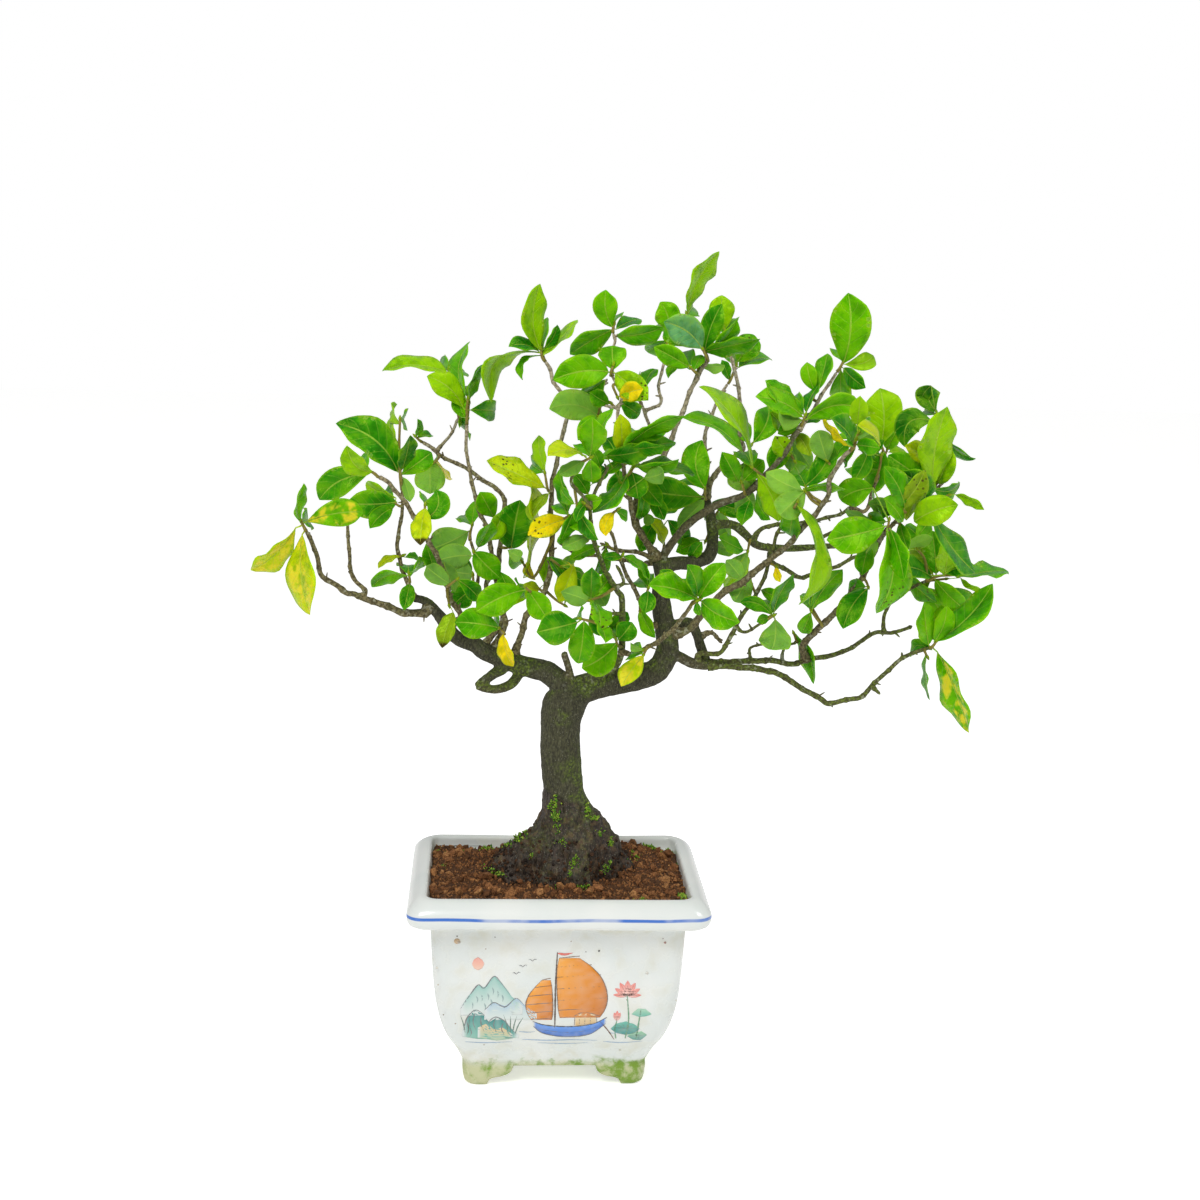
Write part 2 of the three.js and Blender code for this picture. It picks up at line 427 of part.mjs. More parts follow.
// Shoots: this year's soft growth at the end of a spur. Each row has the limb that carries it,
// how far in depth the spur lifts it off that limb, the points of its stem from the spur's end,
// and its leaves: the blade's foot, its tip and its width as seen, all in view units.
const SHOOTS = [
  // left side
  ['shoot_far_left', 'far_left_limb', -2, [[304, 527], [301, 521]], [
    [301, 523, 305, 484, 9], [296, 528, 251, 571, 22], [302, 534, 309, 615, 26],
    [306, 522, 364, 512, 32]]],
  ['shoot_left_bright', 'left_front_branch', -2, [[375, 474], [369, 470]], [
    [374, 472, 347, 446, 24], [368, 474, 319, 500, 34]]],
  ['shoot_left_dark', 'left_twig_high', -6, [[401, 482], [400, 470], [399, 452], [400, 420]], [
    [398, 472, 336, 423, 36], [401, 475, 432, 452, 22], [402, 470, 411, 436, 16],
    [397, 443, 389, 418, 12], [403, 477, 410, 502, 12], [400, 424, 396, 404, 6]]],
  ['shoot_left_middle', 'left_twig_high', -10, [[399, 506], [395, 503]], [
    [397, 502, 346, 503, 28], [396, 498, 365, 483, 16], [393, 508, 370, 528, 18]]],
  ['shoot_left_yellow', 'left_front_branch', -8, [[424, 524], [425, 506]], [
    [425, 507, 420, 545, 20], [427, 516, 436, 490, 18]]],
  ['shoot_left_pale', 'lichen_branch', -14, [[437, 460], [432, 464]], [
    [432, 465, 430, 494, 20], [437, 461, 449, 480, 9]]],
  ['shoot_left_hanging', 'left_twig_high', -10, [[410, 582], [409, 575]], [
    [410, 584, 404, 610, 16], [407, 576, 372, 588, 14], [411, 574, 420, 557, 8]]],
  ['shoot_upper_left', 'left_rear_branch', 0, [[467, 420], [467, 408], [468, 399]], [
    [464, 409, 427, 376, 26], [466, 400, 469, 341, 14], [470, 400, 497, 357, 11],
    [470, 410, 496, 412, 22], [465, 418, 457, 395, 16], [469, 418, 471, 434, 10]]],
  ['shoot_upper_left_arch', 'lichen_twig', 0, [[458, 411], [455, 392], [449, 371]], [
    [447, 370, 382, 370, 15], [451, 376, 466, 372, 14]]],
  ['shoot_left_spotted', 'centre_left_branch', -12, [[548, 490], [545, 474]], [
    [546, 487, 487, 460, 24], [545, 472, 538, 435, 14], [549, 493, 530, 520, 13]]],
  ['shoot_centre_yellow', 'centre_left_branch', -42, [[562, 519], [568, 516]], [
    [567, 519, 528, 535, 24], [568, 513, 558, 470, 13], [569, 518, 588, 531, 18]]],
  ['shoot_left_rear', 'lichen_branch', -6, [[506, 548], [511, 547]], [
    [511, 545, 520, 500, 24], [510, 550, 520, 566, 16], [503, 510, 488, 540, 18]]],
  ['shoot_left_bright_low', 'centre_left_branch', -34, [[531, 592], [526, 588]], [
    [525, 590, 476, 612, 32], [528, 590, 548, 620, 26]]],
  ['shoot_left_low', 'left_rear_branch', -34, [[505, 634], [500, 629]], [
    [499, 628, 455, 622, 30], [503, 634, 513, 667, 15]]],
  ['shoot_left_inner', 'left_inner_twig', -6, [[474, 588], [473, 576]], [
    [473, 589, 453, 606, 24], [473, 574, 447, 570, 26]]],
  ['shoot_left_inner_high', 'left_inner_twig', 4, [[470, 534], [472, 526]], [
    [469, 531, 428, 550, 32], [472, 525, 475, 500, 14]]],
  // middle
  ['shoot_top_left', 'centre_left_branch', 0, [[542, 357], [541, 350]], [
    [541, 349, 541, 284, 23], [539, 353, 492, 403, 16], [540, 352, 509, 346, 14],
    [543, 355, 577, 319, 13], [544, 349, 558, 325, 11]]],
  ['shoot_top_centre', 'top_centre_twig', 0, [[613, 330], [614, 325]], [
    [613, 326, 606, 290, 24], [612, 330, 570, 355, 22], [615, 332, 663, 328, 22],
    [616, 327, 640, 318, 12]]],
  ['shoot_top_centre_low', 'centre_upper_twig', -4, [[611, 373], [613, 366]], [
    [609, 372, 553, 380, 33], [613, 370, 612, 345, 28], [615, 373, 648, 400, 26]]],
  ['shoot_top_yellow', 'rear_centre_twig', -8, [[641, 396], [643, 391]], [
    [642, 392, 620, 400, 15], [644, 389, 655, 368, 14]]],
  ['shoot_centre', 'centre_branch', -9, [[627, 460], [629, 452], [632, 443]], [
    [625, 455, 685, 416, 13], [630, 440, 667, 430, 14], [627, 450, 664, 447, 13],
    [622, 458, 598, 460, 11], [622, 456, 620, 414, 13]]],
  ['shoot_centre_low', 'centre_branch', -6, [[628, 476], [633, 468]], [
    [634, 465, 679, 460, 14], [632, 472, 638, 499, 24], [626, 474, 592, 512, 14],
    [640, 464, 695, 474, 11]]],
  ['shoot_centre_left', 'mossy_fork_left', 0, [[581, 463], [590, 458]], [
    [590, 456, 592, 418, 28], [592, 457, 613, 408, 14], [587, 458, 548, 455, 12],
    [590, 460, 592, 483, 20], [585, 461, 560, 475, 14]]],
  ['shoot_centre_spotted', 'front_mossy_branch', -8, [[602, 596], [591, 600]], [
    [591, 598, 592, 568, 22], [594, 598, 612, 575, 18], [594, 603, 600, 630, 20],
    [588, 601, 561, 592, 20]]],
  ['shoot_low_centre', 'mossy_side_low', -6, [[594, 622], [582, 619]], [
    [578, 620, 537, 632, 32], [584, 621, 578, 664, 28], [596, 622, 606, 642, 12]]],
  ['shoot_low_bright', 'front_mossy_branch', -12, [[618, 646], [616, 640]], [
    [615, 642, 582, 668, 30], [618, 640, 632, 622, 22]]],
  ['shoot_low_yellow', 'front_twig', -10, [[647, 648], [644, 654]], [
    [644, 655, 621, 686, 20]]],
  ['shoot_centre_dark', 'centre_twig', -8, [[645, 597], [648, 589]], [
    [648, 590, 645, 613, 18], [649, 587, 640, 562, 12]]],
  ['shoot_front_rosette', 'front_twig', 0, [[693, 602], [698, 600]], [
    [697, 599, 649, 585, 26], [699, 598, 725, 563, 24], [701, 601, 739, 622, 26],
    [696, 597, 660, 570, 18], [697, 596, 688, 565, 17]]],
  ['shoot_dark_pair', 'upper_stem', -14, [[705, 496], [705, 490]], [
    [703, 497, 642, 490, 36], [705, 488, 702, 440, 26], [704, 500, 678, 528, 20]]],
  // right side, upper
  ['shoot_top_right', 'upper_branch', 0, [[707, 357], [701, 344], [690, 323], [687, 315]], [
    [688, 314, 720, 252, 20], [699, 345, 665, 322, 32], [704, 352, 760, 340, 18],
    [703, 348, 697, 328, 20], [705, 350, 722, 304, 24]]],
  ['shoot_top_right_low', 'upper_branch', -10, [[696, 373], [691, 368]], [
    [689, 367, 654, 347, 22], [694, 370, 702, 354, 12]]],
  ['shoot_top_right_rear', 'rear_upper_branch', 0, [[727, 347], [725, 332]], [
    [725, 330, 722, 295, 25], [726, 338, 738, 318, 14]]],
  ['shoot_top_rear', 'rear_centre_fork', 0, [[666, 354], [668, 333]], [
    [668, 331, 660, 302, 24], [668, 340, 646, 352, 16]]],
  ['shoot_top_right_far', 'rear_upper_twig', 0, [[731, 379], [736, 366]], [
    [737, 362, 755, 335, 26], [739, 367, 771, 358, 14], [729, 380, 722, 360, 10]]],
  ['shoot_right_tall', 'upper_right_branch', -14, [[759, 473], [753, 468]], [
    [752, 466, 700, 386, 18], [757, 474, 778, 522, 20]]],
  ['shoot_right_rear', 'rear_upper_branch', -7, [[746, 455], [751, 446]], [
    [744, 455, 683, 417, 15], [753, 443, 769, 406, 26]]],
  ['shoot_right_upper', 'upper_right_branch', 0, [[802, 424], [805, 416]], [
    [803, 417, 756, 396, 22], [806, 416, 860, 408, 22], [802, 420, 779, 412, 18],
    [806, 413, 818, 385, 10], [804, 414, 766, 380, 20]]],
  ['shoot_right_upper_rear', 'upper_right_tip', 4, [[813, 399], [816, 391]], [
    [815, 391, 807, 362, 16], [818, 390, 827, 353, 17]]],
  ['shoot_right_top', 'upper_right_tip', 0, [[840, 368], [843, 362]], [
    [843, 364, 848, 293, 42], [844, 364, 874, 355, 16], [843, 368, 865, 388, 16],
    [841, 370, 842, 400, 24]]],
  ['shoot_right_pale', 'front_branch', 4, [[812, 496], [807, 489]], [
    [806, 490, 780, 515, 30], [805, 486, 832, 445, 20]]],
  ['shoot_right_long', 'low_inner_branch', -14, [[794, 508], [797, 503]], [
    [797, 505, 800, 605, 22]]],
  ['shoot_right_middle', 'front_branch', 0, [[854, 447], [856, 441]], [
    [856, 445, 880, 448, 16], [855, 449, 845, 466, 10], [853, 445, 832, 418, 20],
    [857, 441, 878, 430, 12]]],
  ['shoot_right_rear_high', 'rear_right_twig', 0, [[883, 450], [881, 444]], [
    [881, 445, 880, 388, 34], [879, 447, 858, 420, 14]]],
  ['shoot_right_curled', 'right_twig_high', 0, [[934, 423], [936, 415]], [
    [932, 421, 905, 447, 24], [937, 412, 930, 385, 24], [938, 417, 976, 459, 14]]],
  ['shoot_right_light', 'right_twig', -4, [[931, 493], [932, 487]], [
    [933, 486, 948, 407, 32], [930, 484, 888, 455, 26], [928, 491, 900, 472, 28],
    [934, 489, 960, 483, 14]]],
  ['shoot_right_folded', 'right_twig', -18, [[920, 511], [926, 516]], [
    [928, 515, 958, 505, 26], [928, 519, 976, 572, 20]]],
  ['shoot_right_big', 'right_branch', -11, [[888, 527], [889, 521]], [
    [886, 526, 827, 540, 36], [887, 530, 877, 614, 32], [890, 529, 903, 580, 18],
    [871, 492, 840, 500, 26]]],
  ['shoot_right_mid_low', 'right_branch', -12, [[866, 581], [868, 586]], [
    [868, 588, 843, 629, 24]]],
  ['shoot_low_right_cluster', 'low_rear_fork', 0, [[931, 579], [939, 576], [955, 575]], [
    [932, 577, 897, 566, 20], [936, 574, 932, 530, 26], [943, 573, 975, 566, 18],
    [957, 575, 1008, 570, 17], [935, 580, 965, 610, 20], [933, 575, 916, 538, 24]]],
  ['shoot_low_right_tip', 'low_right_branch', 0, [[932, 647], [936, 642]], [
    [929, 645, 925, 602, 20], [936, 641, 992, 583, 26], [937, 652, 968, 733, 24],
    [932, 650, 910, 657, 12], [934, 642, 947, 606, 18]]],
  ['shoot_low_inner', 'low_inner_side', 0, [[767, 620], [773, 616]], [
    [774, 613, 794, 575, 16], [771, 615, 740, 603, 14], [775, 619, 772, 650, 32]]],
  ['shoot_low_upright', 'right_branch', -6, [[817, 619], [812, 612]], [
    [812, 610, 843, 570, 20], [811, 612, 802, 634, 16]]],
];

// Growing: limbs first, then a spur and a stem for each shoot, then the leaves
function nearestOnPath(path, [u, v]) {
  let best = null;
  for (let i = 0; i + 1 < path.length; i += 1) {
    const [a, b] = [path[i], path[i + 1]];
    const du = b.at[0] - a.at[0];
    const dv = b.at[1] - a.at[1];
    const t = THREE.MathUtils.clamp(
      ((u - a.at[0]) * du + (v - a.at[1]) * dv) / (du * du + dv * dv), 0, 1);
    const at = [a.at[0] + t * du, a.at[1] + t * dv];
    const distance = Math.hypot(at[0] - u, at[1] - v);
    if (best === null || distance < best.distance) {
      best = { at, distance, depth: a.depth + t * (b.depth - a.depth) };
    }
  }
  return best;
}

function growLimb([, carrier, endDepth, [startWidth, endWidth], points], paths) {
  const start = nearestOnPath(paths[carrier], points[0]);
  const course = [start.at, ...points];
  const run = [0];
  for (let i = 1; i < course.length; i += 1) {
    const [a, b] = [course[i - 1], course[i]];
    run.push(run[i - 1] + Math.hypot(b[0] - a[0], b[1] - a[1]));
  }
  return course.map((at, i) => {
    const share = run[i] / run.at(-1);
    return {
      at,
      depth: start.depth + (endDepth - start.depth) * share,
      width: startWidth + (endWidth - startWidth) * share,
    };
  });
}

// Thicker limbs get more sides: each row is a radius and the sides of the limbs over it.
const SIDES = [[7, 10], [2.8, 6], [1.5, 5]];

function sidesFor(radius) {
  const row = SIDES.find(([over]) => radius > over);
  return row === undefined ? THIN_SIDES : row[1];
}

function limbSolid(path) {
  const points = path.map((step) => place(step.at, step.depth));
  const radii = path.map((step, i) => (step.width / 2) * unitAt(points[i]));
  return tube(points, radii, sidesFor(radii[0]));
}

// Where a shoot starts: the spur's ends, and the points of the stem that goes on from it.
function rootShoot([, carrier, lift, stem], paths) {
  const foot = nearestOnPath(paths[carrier], stem[0]);
  const depth = foot.depth + lift;
  const spurFoot = place(foot.at, foot.depth);
  const spurEnd = place(stem[0], depth);
  const along = spurEnd.clone().sub(spurFoot).normalize();
  const stemPoints = [
    spurEnd.clone().addScaledVector(along, SHOOT_GAP),
    spurEnd.clone().addScaledVector(along, SHOOT_GAP + SHOOT_LEAD),
    ...stem.slice(1).map((at) => place(at, depth)),
  ];
  return { spur: [spurFoot, spurEnd], stemPoints, depth };
}

function nearestOnStem(stemPoints, target) {
  let best = null;
  for (let i = 1; i + 1 < stemPoints.length; i += 1) {
    const stretch = new THREE.Line3(stemPoints[i], stemPoints[i + 1]);
    const point = stretch.closestPointToPoint(target, true, new THREE.Vector3());
    if (best === null || point.distanceTo(target) < best.distanceTo(target)) best = point;
  }
  return best;
}

// A leaf as a thin plate from the stem to its tip. The blade starts where its foot is, and is
// rolled about its own length until its natural width shows as the width given. Each shoulder is
// a share of the blade's length and a share of its half width.
const SHOULDERS = [[0.3, 0.86], [0.55, 0.98]];
const LONGEST_STALK = 0.6;

function leafPlate(root, foot, tip, shownWidth, rollSign) {
  const along = tip.clone().sub(root);
  const length = along.length();
  along.normalize();
  const bladeStart = Math.min(foot.distanceTo(root) / length, LONGEST_STALK);
  const blade = 1 - bladeStart;
  const naturalWidth = Math.max(shownWidth, LEAF_PROPORTION * blade * length);
  const halfWidth = naturalWidth / 2;
  const roll = rollSign * Math.acos(shownWidth / naturalWidth);
  const rightEdge = SHOULDERS.map(([out, wide]) => (
    new THREE.Vector2(wide * halfWidth, (bladeStart + out * blade) * length)
  ));
  const leftEdge = rightEdge.map(({ x, y }) => new THREE.Vector2(-x, y)).reverse();
  const outline = new THREE.Shape([
    new THREE.Vector2(0, 0), ...rightEdge, new THREE.Vector2(0, length), ...leftEdge,
  ]);
  const sight = VIEW.eye.clone().sub(root).normalize();
  const across = along.clone().cross(sight).normalize().applyAxisAngle(along, roll);
  const normal = across.clone().cross(along);
  const turn = new THREE.Matrix4().makeBasis(across, along, normal).setPosition(root);
  const plate = new THREE.ExtrudeGeometry(outline, {
    depth: LEAF_THICKNESS, bevelEnabled: false,
  }).translate(0, 0, -LEAF_THICKNESS / 2).applyMatrix4(turn);
  return solidOf(plate);
}

// Leaves lean to and fro in depth in turn, more so the further out they grow. One that would
// touch something leans a little more or less until it clears.
const LEANS = [-8, 11, -15, 16, -3, 20];
const OUTWARD_LEAN = 0.12;
const EXTRA_LEANS = [0, 6, -6, 12, -12, 18, -18, 24, -24, 30, -30, 36, -36, 42, -42];

function boxesMeet(a, b) {
  return [0, 1, 2].every((i) => (
    a.min[i] - LEAF_CLEARANCE < b.max[i] && b.min[i] - LEAF_CLEARANCE < a.max[i]
  ));
}

function isClear(solid, obstacles) {
  const box = solid.boundingBox();
  return obstacles.every((other) => (
    !boxesMeet(box, other.box) || solid.minGap(other.solid, 1) > LEAF_CLEARANCE
  ));
}

function growLeaf([footU, footV, tipU, tipV, width], order, shoot, obstacles) {
  const foot = place([footU, footV], shoot.depth);
  const root = nearestOnStem(shoot.stemPoints, foot);
  const shownWidth = width * unitAt(foot);
  const firstLean = LEANS[order % LEANS.length] + OUTWARD_LEAN * shoot.depth;
  const firstSign = order % 2 === 0 ? 1 : -1;
  for (const extra of EXTRA_LEANS) {
    const tip = place([tipU, tipV], shoot.depth + firstLean + extra);
    for (const sign of [firstSign, -firstSign]) {
      const plate = leafPlate(root, foot, tip, shownWidth, sign);
      if (isClear(plate, obstacles)) return plate;
    }
  }
  return null;
}

function growTree() {
  const paths = { trunk: TRUNK_LINE.map((at) => ({ at, depth: 0 })) };
  const woods = [trunkSolid(0)];
  for (const limb of LIMBS) {
    const [name] = limb;
    paths[name] = growLimb(limb, paths);
    woods.push(limbSolid(paths[name]));
  }
  const shoots = SHOOTS.map((row) => ({ name: row[0], leaves: row[4], ...rootShoot(row, paths) }));
  for (const shoot of shoots) {
    woods.push(tube(shoot.spur, [SPUR_RADIUS, SPUR_RADIUS], THIN_SIDES));
    const radii = shoot.stemPoints.map(() => YOUNG_SHOOT_RADIUS);
    shoot.stem = tube(shoot.stemPoints, radii, THIN_SIDES);
  }
  const wood = lightened(joined(woods));
  const fixed = [
    { owner: 'tree', solid: wood, box: wood.boundingBox() },
    ...shoots.map(({ name, stem }) => ({ owner: name, solid: stem, box: stem.boundingBox() })),
  ];
  const crowded = [];
  for (const shoot of shoots) {
    const others = fixed.filter((piece) => piece.owner !== shoot.name);
    if (!isClear(shoot.stem, others)) crowded.push(`${shoot.name} stem`);
    const plates = [];
    shoot.leaves.forEach((leaf, order) => {
      const plate = growLeaf(leaf, order, shoot, others);
      if (plate === null) crowded.push(`${shoot.name} leaf ${order}`);
      else plates.push(plate);
    });
    for (const plate of plates) {
      fixed.push({ owner: shoot.name, solid: plate, box: plate.boundingBox() });
    }
    shoot.solid = joined([shoot.stem, ...plates]);
  }
  if (crowded.length > 0) throw new Error(`no room for: ${crowded.join(', ')}`);
  return { wood, shoots };
}

// Soil: fills the pot to below the rim, a low mound, with a hollow for the root stock and room
// over the screens
const SOIL_INSIDE = POT_INSIDE.filter(([, z]) => z < SOIL_TOP - 1).reverse();
const SOIL_EDGE_INSET = 13.2;
// How the mound rises: how far in from the soil's edge, and the share of the mound's height.
const MOUND_ROWS = [[SEAT_GAP, 0], [12, 0.5], [32, 1]];
const SCREEN_POCKET = SCREEN_SIDE + 2 * SEAT_GAP;
const SCREEN_LEVEL = FLOOR_TOP + SEAT_GAP;

function screenPocket(x) {
  const height = 2 * (SCREEN_THICKNESS + SEAT_GAP);
  const box = new THREE.BoxGeometry(SCREEN_POCKET, SCREEN_POCKET, height);
  return solidOf(box.translate(x, 0, SCREEN_LEVEL));
}

function makeSoil() {
  const [bottom, ...rest] = SOIL_INSIDE;
  const outline = [
    [bottom[0] + SEAT_GAP, bottom[1] + SEAT_GAP],
    ...rest.map(([inset, z]) => [inset + SEAT_GAP, z]),
    ...MOUND_ROWS.map(([inset, share]) => [SOIL_EDGE_INSET + inset, SOIL_TOP + share * SOIL_MOUND]),
  ];
  const block = solidOf(loft(outline.map((row) => potRing(row, INNER_CORNER_RADIUS))));
  return block.subtract(joined([
    trunkSolid(SEAT_GAP), screenPocket(-DRAIN_HOLE_X), screenPocket(DRAIN_HOLE_X),
  ]));
}

// Moss: flat cushions on the soil, each a squashed ball with its underside cut to the soil
const MOSS_RISE = 0.5;
const MOSS_CUSHIONS = [
  { name: 'moss_front', at: [12, -44], size: [11, 6, 4.5] },
  { name: 'moss_right_edge', at: [73, -34], size: [5.5, 13, 5] },
];

function makeMoss({ at, size }, soil) {
  const ball = new THREE.SphereGeometry(1, 10, 7).rotateX(Math.PI / 2);
  ball.scale(...size).translate(at[0], at[1], SOIL_TOP + MOSS_RISE);
  const soils = [-size[2], 0, SEAT_GAP].map((lift) => soil.translate([0, 0, lift]));
  return solidOf(ball).subtract(joined([...soils, trunkSolid(2 * SEAT_GAP)]));
}

// The finished plant
const MATERIALS = {
  porcelain: new THREE.MeshStandardMaterial({ color: 0xe9ece8, roughness: 0.18, metalness: 0 }),
  soil: new THREE.MeshStandardMaterial({ color: 0x6b4630, roughness: 0.95, metalness: 0 }),
  bark: new THREE.MeshStandardMaterial({ color: 0x4a463a, roughness: 0.85, metalness: 0 }),
  leaf: new THREE.MeshStandardMaterial({
    color: 0x4c9a25, roughness: 0.35, metalness: 0, side: THREE.DoubleSide,
  }),
  moss: new THREE.MeshStandardMaterial({ color: 0x6f8f1f, roughness: 0.9, metalness: 0 }),
  screen: new THREE.MeshStandardMaterial({ color: 0x2b2d2b, roughness: 0.6, metalness: 0 }),
};

const bonsai = new THREE.Group();

function addPiece(name, solid, material) {
  const mesh = new THREE.Mesh(geometryOf(solid), material);
  mesh.name = name;
  bonsai.add(mesh);
  return mesh;
}

addPiece('pot', makePot(), MATERIALS.porcelain);
const screen = makeScreen();
for (const [name, x] of [['drainage_screen_left', -DRAIN_HOLE_X],
  ['drainage_screen_right', DRAIN_HOLE_X]]) {
  addPiece(name, screen, MATERIALS.screen).position.set(x, 0, SCREEN_LEVEL);
}
const soil = makeSoil();
addPiece('soil', soil, MATERIALS.soil);
for (const cushion of MOSS_CUSHIONS) {
  addPiece(cushion.name, makeMoss(cushion, soil), MATERIALS.moss);
}
const { wood, shoots } = growTree();
addPiece('trunk_and_branches', wood, MATERIALS.bark);
for (const shoot of shoots) addPiece(shoot.name, shoot.solid, MATERIALS.leaf);

const box = new THREE.Box3().setFromObject(bonsai);
bonsai.position.set(-(box.min.x + box.max.x) / 2, -(box.min.y + box.max.y) / 2, -box.min.z);

export default bonsai;
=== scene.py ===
# %% [markdown]
# # A persimmon bonsai in its porcelain pot
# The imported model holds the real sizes: a footed pot 190 mm long, its soil, the tree's wood, and the leafy
# shoots. This lesson keeps that frame and builds the looks round it: glaze, enamel painting, crumbly soil,
# bark and leaves. Lengths are in millimetres from the middle of the pot's underside, and one function takes
# them to the row's metres.

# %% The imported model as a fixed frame
import bpy
import itertools
import math
import numpy as np
from mathutils import Matrix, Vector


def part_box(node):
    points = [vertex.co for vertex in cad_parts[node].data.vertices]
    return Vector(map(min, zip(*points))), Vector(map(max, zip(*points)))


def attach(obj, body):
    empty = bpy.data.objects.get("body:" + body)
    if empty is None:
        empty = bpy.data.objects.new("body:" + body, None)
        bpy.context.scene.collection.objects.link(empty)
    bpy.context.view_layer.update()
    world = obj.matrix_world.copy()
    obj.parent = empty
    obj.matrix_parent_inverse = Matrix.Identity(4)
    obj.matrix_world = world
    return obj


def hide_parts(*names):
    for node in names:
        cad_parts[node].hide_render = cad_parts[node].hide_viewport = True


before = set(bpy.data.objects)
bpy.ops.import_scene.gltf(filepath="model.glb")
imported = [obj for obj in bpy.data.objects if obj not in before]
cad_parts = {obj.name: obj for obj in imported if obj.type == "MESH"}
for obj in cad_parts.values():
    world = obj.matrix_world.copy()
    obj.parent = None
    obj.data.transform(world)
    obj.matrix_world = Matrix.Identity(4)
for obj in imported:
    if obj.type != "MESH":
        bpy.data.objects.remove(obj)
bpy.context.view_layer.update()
MM = 0.001
pot_low, pot_high = (np.array(corner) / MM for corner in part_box("pot"))
POT_MIDDLE = np.array([(pot_low[0] + pot_high[0]) / 2, (pot_low[1] + pot_high[1]) / 2, pot_low[2]])
RIM_WIDTH, RIM_DEPTH, POT_HEIGHT = pot_high - pot_low
print(f"pot {RIM_WIDTH:.1f} x {RIM_DEPTH:.1f} x {POT_HEIGHT:.1f} mm, {len(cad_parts)} nodes")


def row_place(points):
    """Points in millimetres from the pot's middle, as metres in the row's frame."""
    return (np.asarray(points, float) + POT_MIDDLE) * MM


# %% [markdown]
# ## The front view
# A grown thing has no drawing with right angles, so its limbs and leaves are laid out on the front view
# itself. A place is a point of a sheet 1200 units square, as seen from one eye before the pot, and a depth
# in millimetres behind the pot's centre line. The camera then stands at that same eye.

# %% The eye and the sheet
# The sheet's side and the focal length are in sheet units, and the eye's angles are given in degrees.
SHEET = 1200
FOCAL_LENGTH = 1714
EYE = np.array([-45.0, -1067.0, 519.0])
LOOKS_DOWN, TURNS_RIGHT, ROLLS = (math.radians(angle) for angle in (10.84, 3.69, -1.49))
WORLD_UP = np.array([0, 0, 1.0])

level = np.array([math.sin(TURNS_RIGHT), math.cos(TURNS_RIGHT), 0])
level_right = np.array([math.cos(TURNS_RIGHT), -math.sin(TURNS_RIGHT), 0])
FORWARD = level * math.cos(LOOKS_DOWN) - WORLD_UP * math.sin(LOOKS_DOWN)
level_up = level * math.sin(LOOKS_DOWN) + WORLD_UP * math.cos(LOOKS_DOWN)
RIGHT = level_right * math.cos(ROLLS) - level_up * math.sin(ROLLS)
UP = level_right * math.sin(ROLLS) + level_up * math.cos(ROLLS)


def place(sheet_points, depths):
    """Where the sight line through each sheet point (u, v) meets its depth: the eye plus the line's
    direction, forward x focal length + right x (u - 600) + up x (600 - v), stretched until its y is the
    depth."""
    u, v = np.asarray(sheet_points, float).reshape(-1, 2).T
    rays = FORWARD * FOCAL_LENGTH + np.outer(u - SHEET / 2, RIGHT) + np.outer(SHEET / 2 - v, UP)
    return EYE + rays * ((np.asarray(depths, float) - EYE[1]) / rays[:, 1])[:, None]


def unit_at(points):
    """How many millimetres one sheet unit is at each point: its distance along the view over the focal
    length."""
    return (np.asarray(points) - EYE) @ FORWARD / FOCAL_LENGTH


def on_sheet(points):
    """The sheet points (u, v) at which points in space are seen."""
    rays = np.asarray(points) - EYE
    away = rays @ FORWARD / FOCAL_LENGTH
    return np.stack([SHEET / 2 + rays @ RIGHT / away, SHEET / 2 - rays @ UP / away], axis=-1)


# %% The camera at the eye
# The sensor's width in millimetres, and how many metres away the camera still sees.
SENSOR = 36.0
CAMERA_REACH = 20
camera_data = bpy.data.cameras.new("camera")
camera_data.sensor_width = SENSOR
camera_data.lens = FOCAL_LENGTH / SHEET * SENSOR
camera_data.clip_end = CAMERA_REACH
camera = bpy.data.objects.new("camera", camera_data)
bpy.context.scene.collection.objects.link(camera)
turned = Matrix(np.column_stack([RIGHT, UP, -FORWARD]).tolist()).to_4x4()
camera.matrix_world = Matrix.Translation(row_place(EYE)) @ turned
bpy.context.scene.camera = camera
print(f"lens {camera_data.lens:.1f} mm")

# %% [markdown]
# ## Light
# Catalogue pictures of plants are taken in a white tent. A white world gives the even light of the tent's
# walls, and two large soft lamps above give the leaves and the glaze something to shine with.


# %% One function for colours and one for nodes
def linear(hex_colour):
    """An sRGB hex colour as linear red, green, blue and 1. A part c becomes c / 12.92 up to 0.04045, and
    ((c + 0.055) / 1.055)^2.4 above it."""
    parts = np.array([int(hex_colour[i:i + 2], 16) for i in (1, 3, 5)]) / 255
    return (*np.where(parts <= 0.04045, parts / 12.92, ((parts + 0.055) / 1.055) ** 2.4).tolist(), 1.0)


def add_node(tree, kind, settings=None, inputs=None, out=0):
    """Adds a node with its settings and links, and returns one of its outputs. An input is a value or an
    output."""
    made = tree.nodes.new("ShaderNode" + kind)
    for key, value in (settings or {}).items():
        setattr(made, key, value)
    for key, value in (inputs or {}).items():
        if isinstance(value, bpy.types.NodeSocket):
            tree.links.new(value, made.inputs[key])
        else:
            made.inputs[key].default_value = value
    return made.outputs[out] if len(made.outputs) else None


SMOOTH = {"interpolation_type": "SMOOTHSTEP"}
COLOUR = {"data_type": "RGBA"}
TIMES = {"operation": "MULTIPLY"}
ADD = {"operation": "ADD"}
SUBTRACT = {"operation": "SUBTRACT"}
ABSOLUTE = {"operation": "ABSOLUTE"}
LARGER = {"operation": "MAXIMUM"}
TIMES_PLUS = {"operation": "MULTIPLY_ADD"}
TINTED = {"data_type": "RGBA", "blend_type": "MULTIPLY"}


def per_metre(size_mm):
    """The scale of a pattern whose features are size_mm across: how many of them fit in a metre."""
    return 1 / (size_mm * MM)


